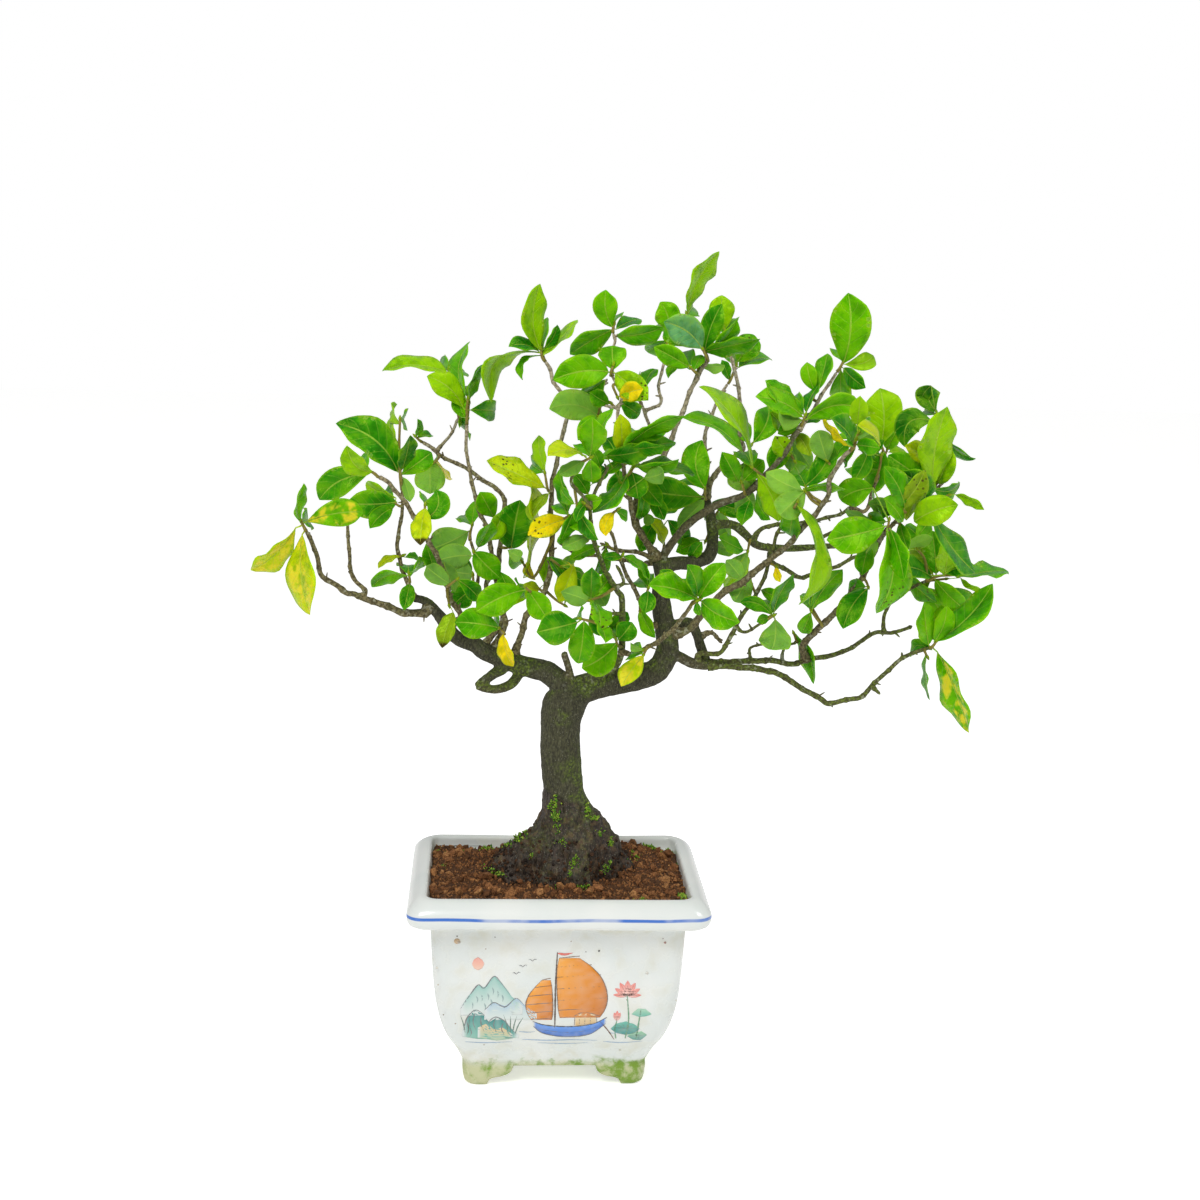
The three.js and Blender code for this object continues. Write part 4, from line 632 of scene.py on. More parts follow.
# Each limb: its name, the limb that carries it, its end's depth in millimetres, its widths at both ends and
# its points, both in sheet units.
LIMBS = [
    ("left_bough", "trunk", -8, (26, 9), [(557, 680), (545, 671), (525, 666), (512, 662), (500, 658),
     (485, 652), (475, 645), (462, 641), (452, 633), (441, 618), (432, 607), (425, 601), (414, 598)]),
    ("far_left_limb", "left_bough", -38, (8, 4), [(424, 612), (412, 613), (402, 613), (388, 606),
     (370, 601), (355, 594), (346, 593), (335, 584), (323, 577), (319, 570), (317, 555), (313, 545),
     (306, 531)]),
    ("left_twig_low", "far_left_limb", 22, (4.5, 3), [(365, 590), (355, 580), (350, 568), (350, 555),
     (348, 540), (348, 524), (349, 508)]),
    ("left_twig_high", "left_bough", 6, (5, 3), [(408, 583), (402, 570), (400, 558), (397, 545), (399, 530),
     (402, 516), (402, 490)]),
    ("left_front_branch", "left_bough", -62, (6, 4.2), [(461, 617), (451, 600), (447, 583), (442, 568),
     (436, 555), (428, 540), (420, 527), (412, 513), (403, 500), (395, 490), (388, 482), (378, 477)]),
    ("left_inner_twig", "left_bough", 28, (4, 3), [(478, 620), (477, 595), (478, 575), (475, 555),
     (470, 540)]),
    ("left_rear_branch", "left_bough", 48, (6, 3.2), [(505, 620), (487, 590), (490, 575), (492, 555),
     (487, 528), (478, 508), (472, 482), (468, 462), (466, 440), (467, 424)]),
    ("lichen_branch", "left_bough", 88, (6, 3.6), [(503, 618), (497, 580), (500, 550), (503, 520),
     (504, 500), (495, 487), (483, 481), (470, 470), (455, 463), (440, 455), (430, 447), (422, 442)]),
    ("lichen_twig", "lichen_branch", 76, (3.4, 2.8), [(450, 435), (459, 418)]),
    ("left_stub", "left_bough", -14, (11, 8), [(520, 672), (511, 684), (498, 689), (484, 688), (477, 686)]),
    ("left_stub_high", "left_bough", -12, (13, 9), [(503, 668), (493, 674), (484, 681), (477, 687)]),
    ("cut_stub", "trunk", -10, (9, 7), [(569, 670), (564, 653)]),
    ("centre_left_branch", "left_bough", 26, (6.5, 3.6), [(521, 635), (527, 615), (541, 598), (547, 585),
     (551, 565), (552, 545), (551, 520), (551, 500), (553, 480), (557, 460), (561, 442), (564, 428),
     (569, 412), (568, 400), (560, 391), (553, 380), (550, 370), (545, 361)]),
    ("front_mossy_branch", "trunk", -52, (9, 4.6), [(590, 679), (604, 673), (614, 667), (619, 660),
     (622, 645), (622, 600), (618, 592), (606, 573), (602, 563), (598, 553), (592, 533), (590, 508)]),
    ("mossy_fork_left", "front_mossy_branch", -60, (4, 3), [(584, 497), (571, 483), (579, 466)]),
    ("mossy_fork_right", "front_mossy_branch", -42, (4, 3), [(594, 495), (598, 485), (609, 467)]),
    ("mossy_side_low", "front_mossy_branch", -52, (3.4, 3), [(608, 614), (602, 624)]),
    ("mossy_side_high", "front_mossy_branch", -34, (3.4, 3), [(624, 582), (616, 565)]),
    ("right_bough", "trunk", 5, (31, 17), [(600, 684), (631, 679), (657, 670), (667, 652), (667, 636),
     (663, 615), (661, 595), (664, 578), (660, 560)]),
    ("hub_twig_upper", "right_bough", -14, (5, 3), [(640, 553), (625, 551), (610, 548), (600, 543)]),
    ("hub_twig_lower", "right_bough", 34, (5, 3), [(640, 564), (625, 560), (597, 556), (575, 553),
     (557, 541)]),
    ("centre_twig", "right_bough", -40, (5, 3), [(650, 625), (643, 615), (640, 600), (632, 585), (620, 560),
     (614, 540), (606, 524)]),
    ("front_twig", "front_mossy_branch", -88, (5, 4), [(632, 654), (650, 646), (668, 634), (682, 618),
     (691, 605)]),
    ("upper_stem", "right_bough", 26, (16, 10), [(678, 563), (690, 563), (708, 557), (713, 540), (710, 515),
     (706, 500)]),
    ("mossy_right_branch", "upper_stem", 56, (10, 5.5), [(725, 524), (735, 526), (745, 534), (757, 545),
     (775, 548), (800, 548), (830, 546), (850, 545)]),
    ("mossy_right_low", "mossy_right_branch", 96, (5, 3.6), [(770, 560), (790, 572), (802, 578), (812, 574),
     (835, 567), (857, 556)]),
    ("mossy_right_high", "mossy_right_branch", 84, (4.6, 3.4), [(765, 527), (795, 524), (818, 520),
     (840, 514), (850, 507)]),
    ("mossy_right_tip", "mossy_right_branch", 62, (4, 3), [(820, 540), (835, 530), (848, 522)]),
    ("rear_right_twig", "mossy_right_high", 92, (4, 3), [(865, 511), (873, 490), (881, 468), (884, 454)]),
    ("upper_right_branch", "right_bough", -30, (9, 5.5), [(685, 527), (715, 506), (745, 494), (765, 475),
     (783, 456), (792, 440), (799, 430)]),
    ("upper_right_tip", "upper_right_branch", -10, (4.2, 3.2), [(803, 425), (815, 407), (826, 388),
     (837, 372)]),
    ("upper_branch", "right_bough", 12, (7, 4), [(645, 540), (637, 525), (635, 505), (640, 490), (650, 478),
     (662, 460), (668, 447), (676, 427), (684, 408), (692, 388), (700, 372), (708, 361)]),
    ("centre_branch", "right_bough", -24, (6, 4.4), [(640, 534), (632, 514), (630, 497), (625, 480),
     (624, 465)]),
    ("centre_upper_twig", "centre_branch", -4, (4, 3), [(621, 440), (618, 420), (618, 408), (622, 396),
     (617, 384), (612, 376)]),
    ("top_centre_twig", "centre_upper_twig", 8, (3.2, 2.8), [(613, 350), (615, 340), (613, 333)]),
    ("centre_side_twig", "centre_upper_twig", 22, (3.2, 2.8), [(598, 403), (600, 392), (607, 379)]),
    ("rear_centre_twig", "upper_branch", 50, (4, 3), [(652, 445), (649, 425), (645, 413), (639, 400)]),
    ("rear_centre_fork", "rear_centre_twig", 64, (3.2, 2.8), [(660, 404), (659, 390), (660, 378),
     (665, 358)]),
    ("rear_upper_branch", "upper_stem", 64, (6, 3.2), [(713, 477), (730, 460), (743, 449), (740, 435),
     (741, 412), (739, 395), (736, 375), (731, 358), (728, 351)]),
    ("rear_upper_twig", "upper_stem", 98, (5, 3), [(707, 475), (705, 450), (705, 435), (710, 420),
     (716, 405), (720, 395), (728, 384)]),
    ("front_branch", "right_bough", -78, (8, 4.4), [(680, 633), (690, 628), (703, 613), (722, 594),
     (745, 580), (765, 563), (785, 548), (800, 531), (812, 518), (820, 508), (828, 496), (829, 483),
     (835, 470), (843, 457), (851, 450)]),
    ("low_hub", "right_bough", 8, (11, 11), [(680, 657), (692, 663), (708, 665)]),
    ("knob_arch", "right_bough", 12, (12, 10), [(690, 623), (697, 635), (702, 650), (707, 663)]),
    ("knob_twig", "knob_arch", 24, (6, 3), [(712, 633), (722, 643)]),
    ("low_inner_branch", "low_hub", -46, (5, 3.4), [(700, 654), (721, 652), (732, 633), (745, 611),
     (756, 595), (765, 575), (772, 553), (776, 537), (784, 522), (790, 513)]),
    ("low_inner_side", "low_inner_branch", -30, (3.4, 2.8), [(745, 632), (762, 623)]),
    ("low_right_branch", "low_hub", -16, (7, 4), [(740, 667), (770, 671), (780, 675), (800, 687),
     (822, 700), (830, 703), (852, 699), (862, 696), (875, 683), (895, 664), (912, 653), (929, 648)]),
    ("low_right_stub", "low_right_branch", -18, (4, 3), [(880, 694)]),
    ("low_rear_branch", "low_hub", 48, (7, 3.6), [(730, 662), (755, 661), (770, 660), (790, 664),
     (810, 659), (840, 653), (860, 642), (877, 632), (893, 633), (912, 626)]),
    ("low_rear_fork", "low_rear_branch", 30, (3.8, 3), [(885, 612), (897, 596), (915, 586), (927, 581)]),
    ("low_rear_twig", "low_rear_branch", 34, (3.2, 2.6), [(750, 648), (766, 644)]),
    ("low_rear_twig_right", "low_rear_branch", 30, (3.2, 2.6), [(785, 647), (797, 642)]),
    ("right_branch", "low_rear_branch", -36, (7, 5), [(803, 645), (822, 625), (840, 608), (847, 598),
     (862, 578), (873, 555), (880, 540), (887, 531)]),
    ("right_twig", "right_branch", -10, (4, 3.2), [(900, 516), (915, 506), (928, 497)]),
    ("right_twig_high", "right_twig", 22, (3.4, 2.8), [(945, 478), (950, 455), (944, 438), (936, 427)]),
]


def nearest_place(path, spot):
    """Where a path of straight stretches comes nearest to a spot: the place, its stretch and its share of
    that stretch. On each stretch the nearest share is (spot - start) . run / run . run, kept between 0 and
    1."""
    start, run = path[:-1], np.diff(path, axis=0)
    share = np.clip(((spot - start) * run).sum(axis=1) / (run**2).sum(axis=1), 0, 1)
    near = start + share[:, None] * run
    best = np.argmin(np.linalg.norm(near - spot, axis=1))
    return near[best], best, share[best]


def nearest_on(limb, spot):
    """The place on a limb nearest to a sheet point, with its depth and width there."""
    near, best, share = nearest_place(limb["at"], spot)
    depth, width = ((1 - share) * limb[key][best] + share * limb[key][best + 1]
                    for key in ("depth", "width"))
    return near, depth, width


def grow_limb(carrier, end_depth, widths, points):
    """A limb's sheet points, with depth and width going evenly along its run."""
    near, depth, carrier_width = nearest_on(carrier, np.array(points[0], float))
    at = np.vstack([near, points])
    run = run_along(at)
    share = run / run[-1]
    return {"at": at, "depth": depth + (end_depth - depth) * share,
            "width": widths[0] + (widths[1] - widths[0]) * share, "carrier_width": carrier_width}


limbs = {"trunk": {"at": np.array(TRUNK_LINE, float), "depth": np.zeros(len(TRUNK_LINE)),
                   "width": np.full(len(TRUNK_LINE), TRUNK_WIDTH)}}
for name, carrier, end_depth, widths, points in LIMBS:
    limbs[name] = grow_limb(limbs[carrier], end_depth, widths, points)
print(f"{len(limbs) - 1} limbs on the trunk")


# %% [markdown]
# ## Wood
# Old wood is thick and its forks have grown together, so the trunk and the boughs are first joined: a voxel
# remesh melts their tubes into one skin, which is then smoothed and pushed in and out by noise for bark and
# roots. Young twigs are thinner than a voxel, so they stay tubes, with the swellings, kinks and dead spurs
# that twigs have.


# %% Tubes along a path
def cross_frames(points):
    """The direction along a path at each point, and two across it. The reference is the axis that the path
    keeps furthest from, so the frames never flip."""
    along = np.gradient(points, axis=0)
    along /= np.linalg.norm(along, axis=1, keepdims=True)
    reference = np.eye(3)[np.argmin(np.abs(along).max(axis=0))]
    side = np.cross(along, reference)
    side /= np.linalg.norm(side, axis=1, keepdims=True)
    return along, side, np.cross(along, side)


def tube_grid(points, radii, sides):
    """Rings round a path: point + radius (cos a x side + sin a x other), anticlockwise seen from the path's
    end. radii is one number a ring, or one a ring and side."""
    _, side, other = cross_frames(points)
    angle = 2 * np.pi * np.arange(sides) / sides
    turn = np.cos(angle)[None, :, None] * side[:, None] + np.sin(angle)[None, :, None] * other[:, None]
    radii = np.asarray(radii, float)
    radii = radii[:, None] if radii.ndim == 1 else radii
    return points[:, None] + radii[..., None] * turn


def limb_course(limb, step):
    """A limb as a smooth path in space with a radius at each point."""
    corners = place(limb["at"], limb["depth"])
    course = smooth_path(np.column_stack([corners, limb["width"] / 2 * unit_at(corners)]), step)
    return course[:, :3], course[:, 3]


# %% Old wood: rings and tubes melted together
OLD_WOOD = [
    "left_bough", "right_bough", "upper_stem", "low_hub", "knob_arch", "front_mossy_branch", "cut_stub",
    "mossy_right_branch", "upper_right_branch", "left_stub", "left_stub_high",
]
# How high the roots reach, the sides and steps of the trunk and the boughs, and the size of a voxel.
ROOT_TOP = 189
TRUNK_SIDES, BOUGH_SIDES = 72, 14
TRUNK_STEP, BOUGH_STEP = 2.5, 2.0
VOXEL = 0.8


def trunk_rings():
    """Rings up the trunk. Under the root top they swell into roots: 1 + 0.1 cos(5a + 0.6) + 0.05 cos(11a)."""
    rows = smooth_path([(x, 0, z, half, ratio) for z, x, half, ratio in TRUNK_ROWS], TRUNK_STEP)
    x, _, z, half, ratio = rows.T[:, :, None]
    angle = 2 * np.pi * np.arange(TRUNK_SIDES)[None, :] / TRUNK_SIDES
    rooty = smoothstep(ROOT_TOP - z, 5, 50)
    radius = half * (1 + rooty * (0.1 * np.cos(5 * angle + 0.6) + 0.05 * np.cos(11 * angle)))
    points = [x + radius * np.cos(angle), radius * ratio * np.sin(angle), z + 0 * angle]
    return np.stack(points, axis=-1)


wood_parts = [make_part(*close_ends(trunk_rings()))]
for name in OLD_WOOD:
    course, radii = limb_course(limbs[name], BOUGH_STEP)
    wood_parts.append(make_part(*close_ends(tube_grid(course, radii, BOUGH_SIDES))))
melt = ("REMESH", {"mode": "VOXEL", "voxel_size": VOXEL})
skin, skin_normals, skin_faces = shaped(wood_parts, 4, melt, ("SMOOTH", {"factor": 0.5, "iterations": 6}))
print(f"the melted wood has {len(skin)} points")


# %% Bark and roots pushed out of the skin
# Layers of noise: long furrows up the trunk with lumps, and the fine strands of the roots. A cell with three
# sizes is longer in height.
FURROWS = [(0.16, (2, 2, 7), 0), (0.5, 9, 90), (0.22, 2.4, 50)]
STRANDS = [(0.75, (2.2, 2.2, 11), 140), (0.3, 2, 30)]
RIDGE_HEIGHT, RIDGE_CELL = 4.2, (7, 7, 34)
# A middle line has a place every few millimetres, and acts about as far as a limb is thick.
LINE_STEP, LIMB_REACH = 3.0, 7
# A limb that is never wider than this on the sheet is thin.
THIN_LIMB = 12
MOSSY_LIMBS = ["front_mossy_branch", "left_stub", "mossy_right_branch"]
# Where the bark is greenest, and its one grey crust: sheet point, depth and radius in millimetres.
GREEN_SPOTS = [(571, 773, -18, 11), (592, 682, -18, 11), (528, 676, -12, 11)]
GREY_SPOT = (568, 691, -20, 9)


def bark_relief(points):
    """How far the skin stands out, and from 0 to 1 how much a root each point is. The roots are ridges,
    where the size of a noise is small, cut into strands. They end lower on the right, at a wavering edge."""
    edge = ROOT_TOP + 3 - 13 * smoothstep(points[:, 0], 4, 20) + 7 * noise(points, 6)
    rooty = smoothstep(edge - points[:, 2], 0, 7)
    furrows = layered_noise(points, FURROWS)
    ridges = RIDGE_HEIGHT * (0.45 - np.abs(noise(points + 20, RIDGE_CELL))) + 1.1 * noise(points + 60, 5)
    return (1 - rooty) * furrows + rooty * (ridges + layered_noise(points, STRANDS)), rooty


def nearness(points, names, reach):
    """From 0 to 1, how near points are to the middle lines of some limbs: exp(-(distance / reach)^2)."""
    lines = np.vstack([limb_course(limbs[name], LINE_STEP)[0] for name in names])
    nearest = np.full(len(points), np.inf)
    for spot in lines:
        nearest = np.minimum(nearest, ((points - spot) ** 2).sum(axis=1))
    return np.exp(-nearest / reach**2)


def around(points, u, v, depth, radius):
    """From 0 to 1, how near points are to a sheet point's place at a depth: exp(-(distance / radius)^2)."""
    return np.exp(-((points - place((u, v), depth)) ** 2).sum(axis=1) / radius**2)


relief, rooty = bark_relief(skin)
thin = nearness(skin, [name for name in OLD_WOOD if limbs[name]["width"].max() < THIN_LIMB], LIMB_REACH)
# On thin limbs the bark stands out about half as far.
skin = skin + skin_normals * (relief * (1 - 0.55 * thin * (1 - rooty)))[:, None]
# The green film: more on top of the limbs, on the mossy ones, at its spots, and low on the trunk's right.
moss = 0.22 + 0.3 * noise(skin, 16) + 0.22 * skin_normals[:, 2]
moss = moss + 0.5 * nearness(skin, MOSSY_LIMBS, LIMB_REACH)
for spot in GREEN_SPOTS:
    moss += 0.45 * around(skin, *spot)
low_right = smoothstep(skin[:, 0], -2, 12) * smoothstep(200 - skin[:, 2], 0, 40) * (1 - rooty)
skin_part = make_part(skin, [skin_faces], age=1 - 0.45 * thin, moss=np.clip(moss + 0.35 * low_right, 0, 1),
                      root=rooty, lichen=around(skin, *GREY_SPOT))

# %% Young twigs: tubes with swellings, kinks and dead spurs
TWIG_STEP, TWIG_SIDES = 1.5, 8
# Where the first knot stands, how far apart knots are, and how far each is moved at random.
FIRST_KNOT, KNOT_GAP, KNOT_SCATTER = 4, 11, 2
# Swelling, flare, roughness and blunt end are shares of the radius. The sway is a length.
SWELLING, FLARE, ROUGHNESS, BLUNT_END = 0.25, 0.7, 0.14, 0.45
ROUGH_CELL, SWAY = 1.9, 0.35
# Half of the knots carry a dead spur.
SPUR_CHANCE, SPUR_LENGTHS, SPUR_SIDES = 0.5, (1.5, 4.0), 6
SPUR_RADII = np.array([0.9, 0.7, 0.62, 0.35])
grower = np.random.default_rng(3)


def grow_twig(name):
    """One young limb, with its dead spurs. Its radius is wider by a flare where it leaves its carrier and
    by a swelling at each knot: r (1 + 0.7 exp(-out / 1.3r) + 0.25 exp(-(s - knot)^2)). Every knot also
    pushes it a little to one side."""
    limb = limbs[name]
    course, radii = limb_course(limb, TWIG_STEP)
    run = run_along(course)
    buried = limb["carrier_width"] / 2 * unit_at(course[:1])[0]
    knots = np.arange(buried + FIRST_KNOT, run[-1], KNOT_GAP)
    knots = knots + grower.uniform(-KNOT_SCATTER, KNOT_SCATTER, len(knots))
    bumps = np.exp(-((run[:, None] - knots) ** 2)).sum(axis=1)
    flare = FLARE * np.exp(-np.maximum(run - buried, 0) / (1.3 * radii[0]))
    _, side, other = cross_frames(course)
    sway = np.interp(run, np.concatenate([[0], knots, run[-1:]]),
                     np.concatenate([[0], SWAY * (-1.0) ** np.arange(len(knots)), [0]]))
    course = course + side * sway[:, None] + other * (0.5 * np.roll(sway, 5))[:, None]
    grid = tube_grid(course, radii * (1 + flare + SWELLING * bumps), TWIG_SIDES)
    rough = noise(grid.reshape(-1, 3), ROUGH_CELL).reshape(grid.shape[:2])
    middle = course[:, None]
    grid = middle + (grid - middle) * (1 + ROUGHNESS * rough[..., None])
    grid[-1] = middle[-1] + (grid[-1] - middle[-1]) * BLUNT_END
    points, faces = close_ends(grid)
    mossy = 0.25 + (0.5 if "mossy" in name else 0.0) + (0.4 if name.startswith("low") else 0.0)
    age = np.clip(radii.mean() / 4, 0.1, 1)
    parts = [make_part(points, faces, age=age, moss=mossy, root=0.0)]
    for knot in knots[grower.random(len(knots)) < SPUR_CHANCE]:
        parts.append(dead_spur(course, run, radii, side, other, knot, mossy))
    return parts


def dead_spur(course, run, radii, side, other, knot, mossy):
    """A stub left where a side shoot died. It leans along the twig and ends blunt."""
    at = min(np.searchsorted(run, knot), len(run) - 2)
    angle = grower.uniform(0, 2 * np.pi)
    out = np.cos(angle) * side[at] + np.sin(angle) * other[at]
    along = course[at + 1] - course[at - 1]
    reach = grower.uniform(*SPUR_LENGTHS)
    lean = out + 0.5 * along / np.linalg.norm(along)
    stub = course[at] + lean * (radii[at] * 0.6 + np.linspace(0, 1, len(SPUR_RADII)) * reach)[:, None]
    points, faces = close_ends(tube_grid(stub, SPUR_RADII * grower.uniform(0.7, 1.15), SPUR_SIDES))
    return make_part(points, faces, age=0.35, moss=mossy, root=0.0)


twig_parts = [part for name in limbs if name not in OLD_WOOD + ["trunk"] for part in grow_twig(name)]
print(f"{len(twig_parts)} twigs and spurs")

# %% [markdown]
# ## Bark
# Old persimmon bark is dark grey with fine dry streaks; here it is damp, so it wears a green film of algae,
# thickest on top of the limbs. Young twigs are lighter and browner, with pale lichen dots. The root stock
# stands in wet soil and is nearly black. Age, film and root come as values of the points, so one material
# covers all the wood.

# %% The bark's material
bark_material, tree = new_material("damp_bark")
where = add_node(tree, "TexCoord", out="Object")
age, moss_film, rooted = (add_node(tree, "Attribute", {"attribute_name": name}, out="Fac")
                          for name in ("age", "moss", "root"))
lumps, fine, crust = (
    add_node(tree, "TexNoise", inputs={"Vector": where, "Scale": per_metre(size), "Detail": detail})
    for size, detail in ((6, 5.0), (1.6, 4.0), (3.2, 3.0)))
# The streaks' noise is squeezed in height, so its cells stand up along the trunk.
stretched = add_node(tree, "Mapping", inputs={"Vector": where, "Scale": (1, 1, 0.4)})
streaks = add_node(tree, "TexNoise", inputs={"Vector": stretched, "Scale": per_metre(1.0), "Detail": 6.0})
old_share = add_node(tree, "MapRange", SMOOTH, {0: streaks, 1: 0.3, 2: 0.74})
old_bark = add_node(tree, "Mix", COLOUR, {0: old_share, 6: linear("#2b2a1c"), 7: linear("#504f37")}, 2)
young_share = add_node(tree, "MapRange", SMOOTH, {0: fine, 1: 0.35, 2: 0.65})
young_bark = add_node(tree, "Mix", COLOUR, {0: young_share, 6: linear("#4e4529"), 7: linear("#8b8058")}, 2)
# High in the crown, between these heights in metres, the young twigs turn lighter and greyer.
PALE_TWIG_FROM, PALE_TWIG_FULL = 0.37, 0.44
crown_height = add_node(tree, "SeparateXYZ", inputs={0: where}).node.outputs["Z"]
pale_twig_share = add_node(tree, "MapRange", SMOOTH, {0: crown_height, 1: PALE_TWIG_FROM, 2: PALE_TWIG_FULL})
pale_twig_bark = add_node(tree, "Mix", COLOUR, {0: young_share, 6: linear("#7b7059"), 7: linear("#bfb296")}, 2)
young_bark = add_node(tree, "Mix", COLOUR, {0: pale_twig_share, 6: young_bark, 7: pale_twig_bark}, 2)
oldness = add_node(tree, "MapRange", SMOOTH, {0: age, 1: 0.3, 2: 0.8})
colour = add_node(tree, "Mix", COLOUR, {0: oldness, 6: young_bark, 7: old_bark}, 2)

wet_share = add_node(tree, "MapRange", SMOOTH, {0: streaks, 1: 0.36, 2: 0.66})
wet_root = add_node(tree, "Mix", COLOUR, {0: wet_share, 6: linear("#1c1610"), 7: linear("#43362a")}, 2)
dry_share = add_node(tree, "MapRange", SMOOTH, {0: lumps, 1: 0.5, 2: 0.68, 4: 0.7})
wet_root = add_node(tree, "Mix", COLOUR, {0: dry_share, 6: wet_root, 7: linear("#5b432f")}, 2)
colour = add_node(tree, "Mix", COLOUR, {0: rooted, 6: colour, 7: wet_root}, 2)

# The green film: where the point's own value and the lumps together are high.
filmy = add_node(tree, "Math", ADD, {0: moss_film, 1: lumps})
film = add_node(tree, "MapRange", SMOOTH, {0: filmy, 1: 0.72, 2: 1.2})
broken = add_node(tree, "MapRange", SMOOTH, {0: fine, 1: 0.3, 2: 0.6, 3: 0.25, 4: 0.9})
film = add_node(tree, "Math", TIMES, {0: film, 1: broken})
green_share = add_node(tree, "MapRange", SMOOTH, {0: fine, 1: 0.4, 2: 0.66})
green = add_node(tree, "Mix", COLOUR, {0: green_share, 6: linear("#34430e"), 7: linear("#667822")}, 2)
on_bark = add_node(tree, "MapRange", {}, {0: rooted, 3: 1.0, 4: 0.3})
film = add_node(tree, "Math", TIMES, {0: film, 1: on_bark})
colour = add_node(tree, "Mix", COLOUR, {0: film, 6: colour, 7: green}, 2)

# Lichen: pale crusts 1 to 3 mm across on the twigs, pale dots on the trunk, and one grey sheet under the
# first fork.
crust = add_node(tree, "MapRange", SMOOTH, {0: crust, 1: 0.58, 2: 0.66})
crusty = add_node(tree, "MapRange", {}, {0: age, 1: 0.25, 2: 1.0, 3: 0.6, 4: 0.05})
crust = add_node(tree, "Math", TIMES, {0: crust, 1: crusty})
dots = add_node(tree, "TexVoronoi", {"feature": "F1"}, {"Vector": where, "Scale": per_metre(1.7)})
dots = add_node(tree, "MapRange", SMOOTH, {0: dots, 1: 0.22, 2: 0.1, 4: 0.3})
crust = add_node(tree, "Math", LARGER, {0: crust, 1: dots})
sheet = add_node(tree, "Attribute", {"attribute_name": "lichen"}, out="Fac")
sheet = add_node(tree, "Math", TIMES_PLUS, {0: sheet, 1: 1.1, 2: fine})
sheet = add_node(tree, "MapRange", SMOOTH, {0: sheet, 1: 1.0, 2: 1.4, 4: 0.55})
crust = add_node(tree, "Math", LARGER, {0: crust, 1: sheet})
colour = add_node(tree, "Mix", COLOUR, {0: crust, 6: colour, 7: linear("#a6a795")}, 2)
grain = add_node(tree, "Math", ADD, {0: streaks, 1: fine})
skin_bump = add_node(tree, "Bump", inputs={"Height": grain, "Strength": 0.8, "Distance": 0.0006})
dull = add_node(tree, "MapRange", {}, {0: rooted, 3: 0.82, 4: 0.6})
finish_material(tree, {"Base Color": colour, "Roughness": dull, "Normal": skin_bump,
                       "Specular IOR Level": 0.35})

# %% The wood as two pieces
make_piece("old_wood", [skin_part], [bark_material], ["trunk_and_branches"])
make_piece("young_twigs", twig_parts, [bark_material])

# %% [markdown]
# ## Leafy shoots
# Persimmon leaves are leathery and glossy above, paler and duller beneath, and each stands on a short stalk
# that goes on as its midrib. A flat card with a leaf drawn on it would look thin from the side, so each
# blade is a closed solid a third of a millimetre thick. It is folded a little along its midrib, arched
# under its own weight, twisted, and waved at its edge, each by its own amounts. The CAD shoots say where
# the tips are and which way a blade turns.

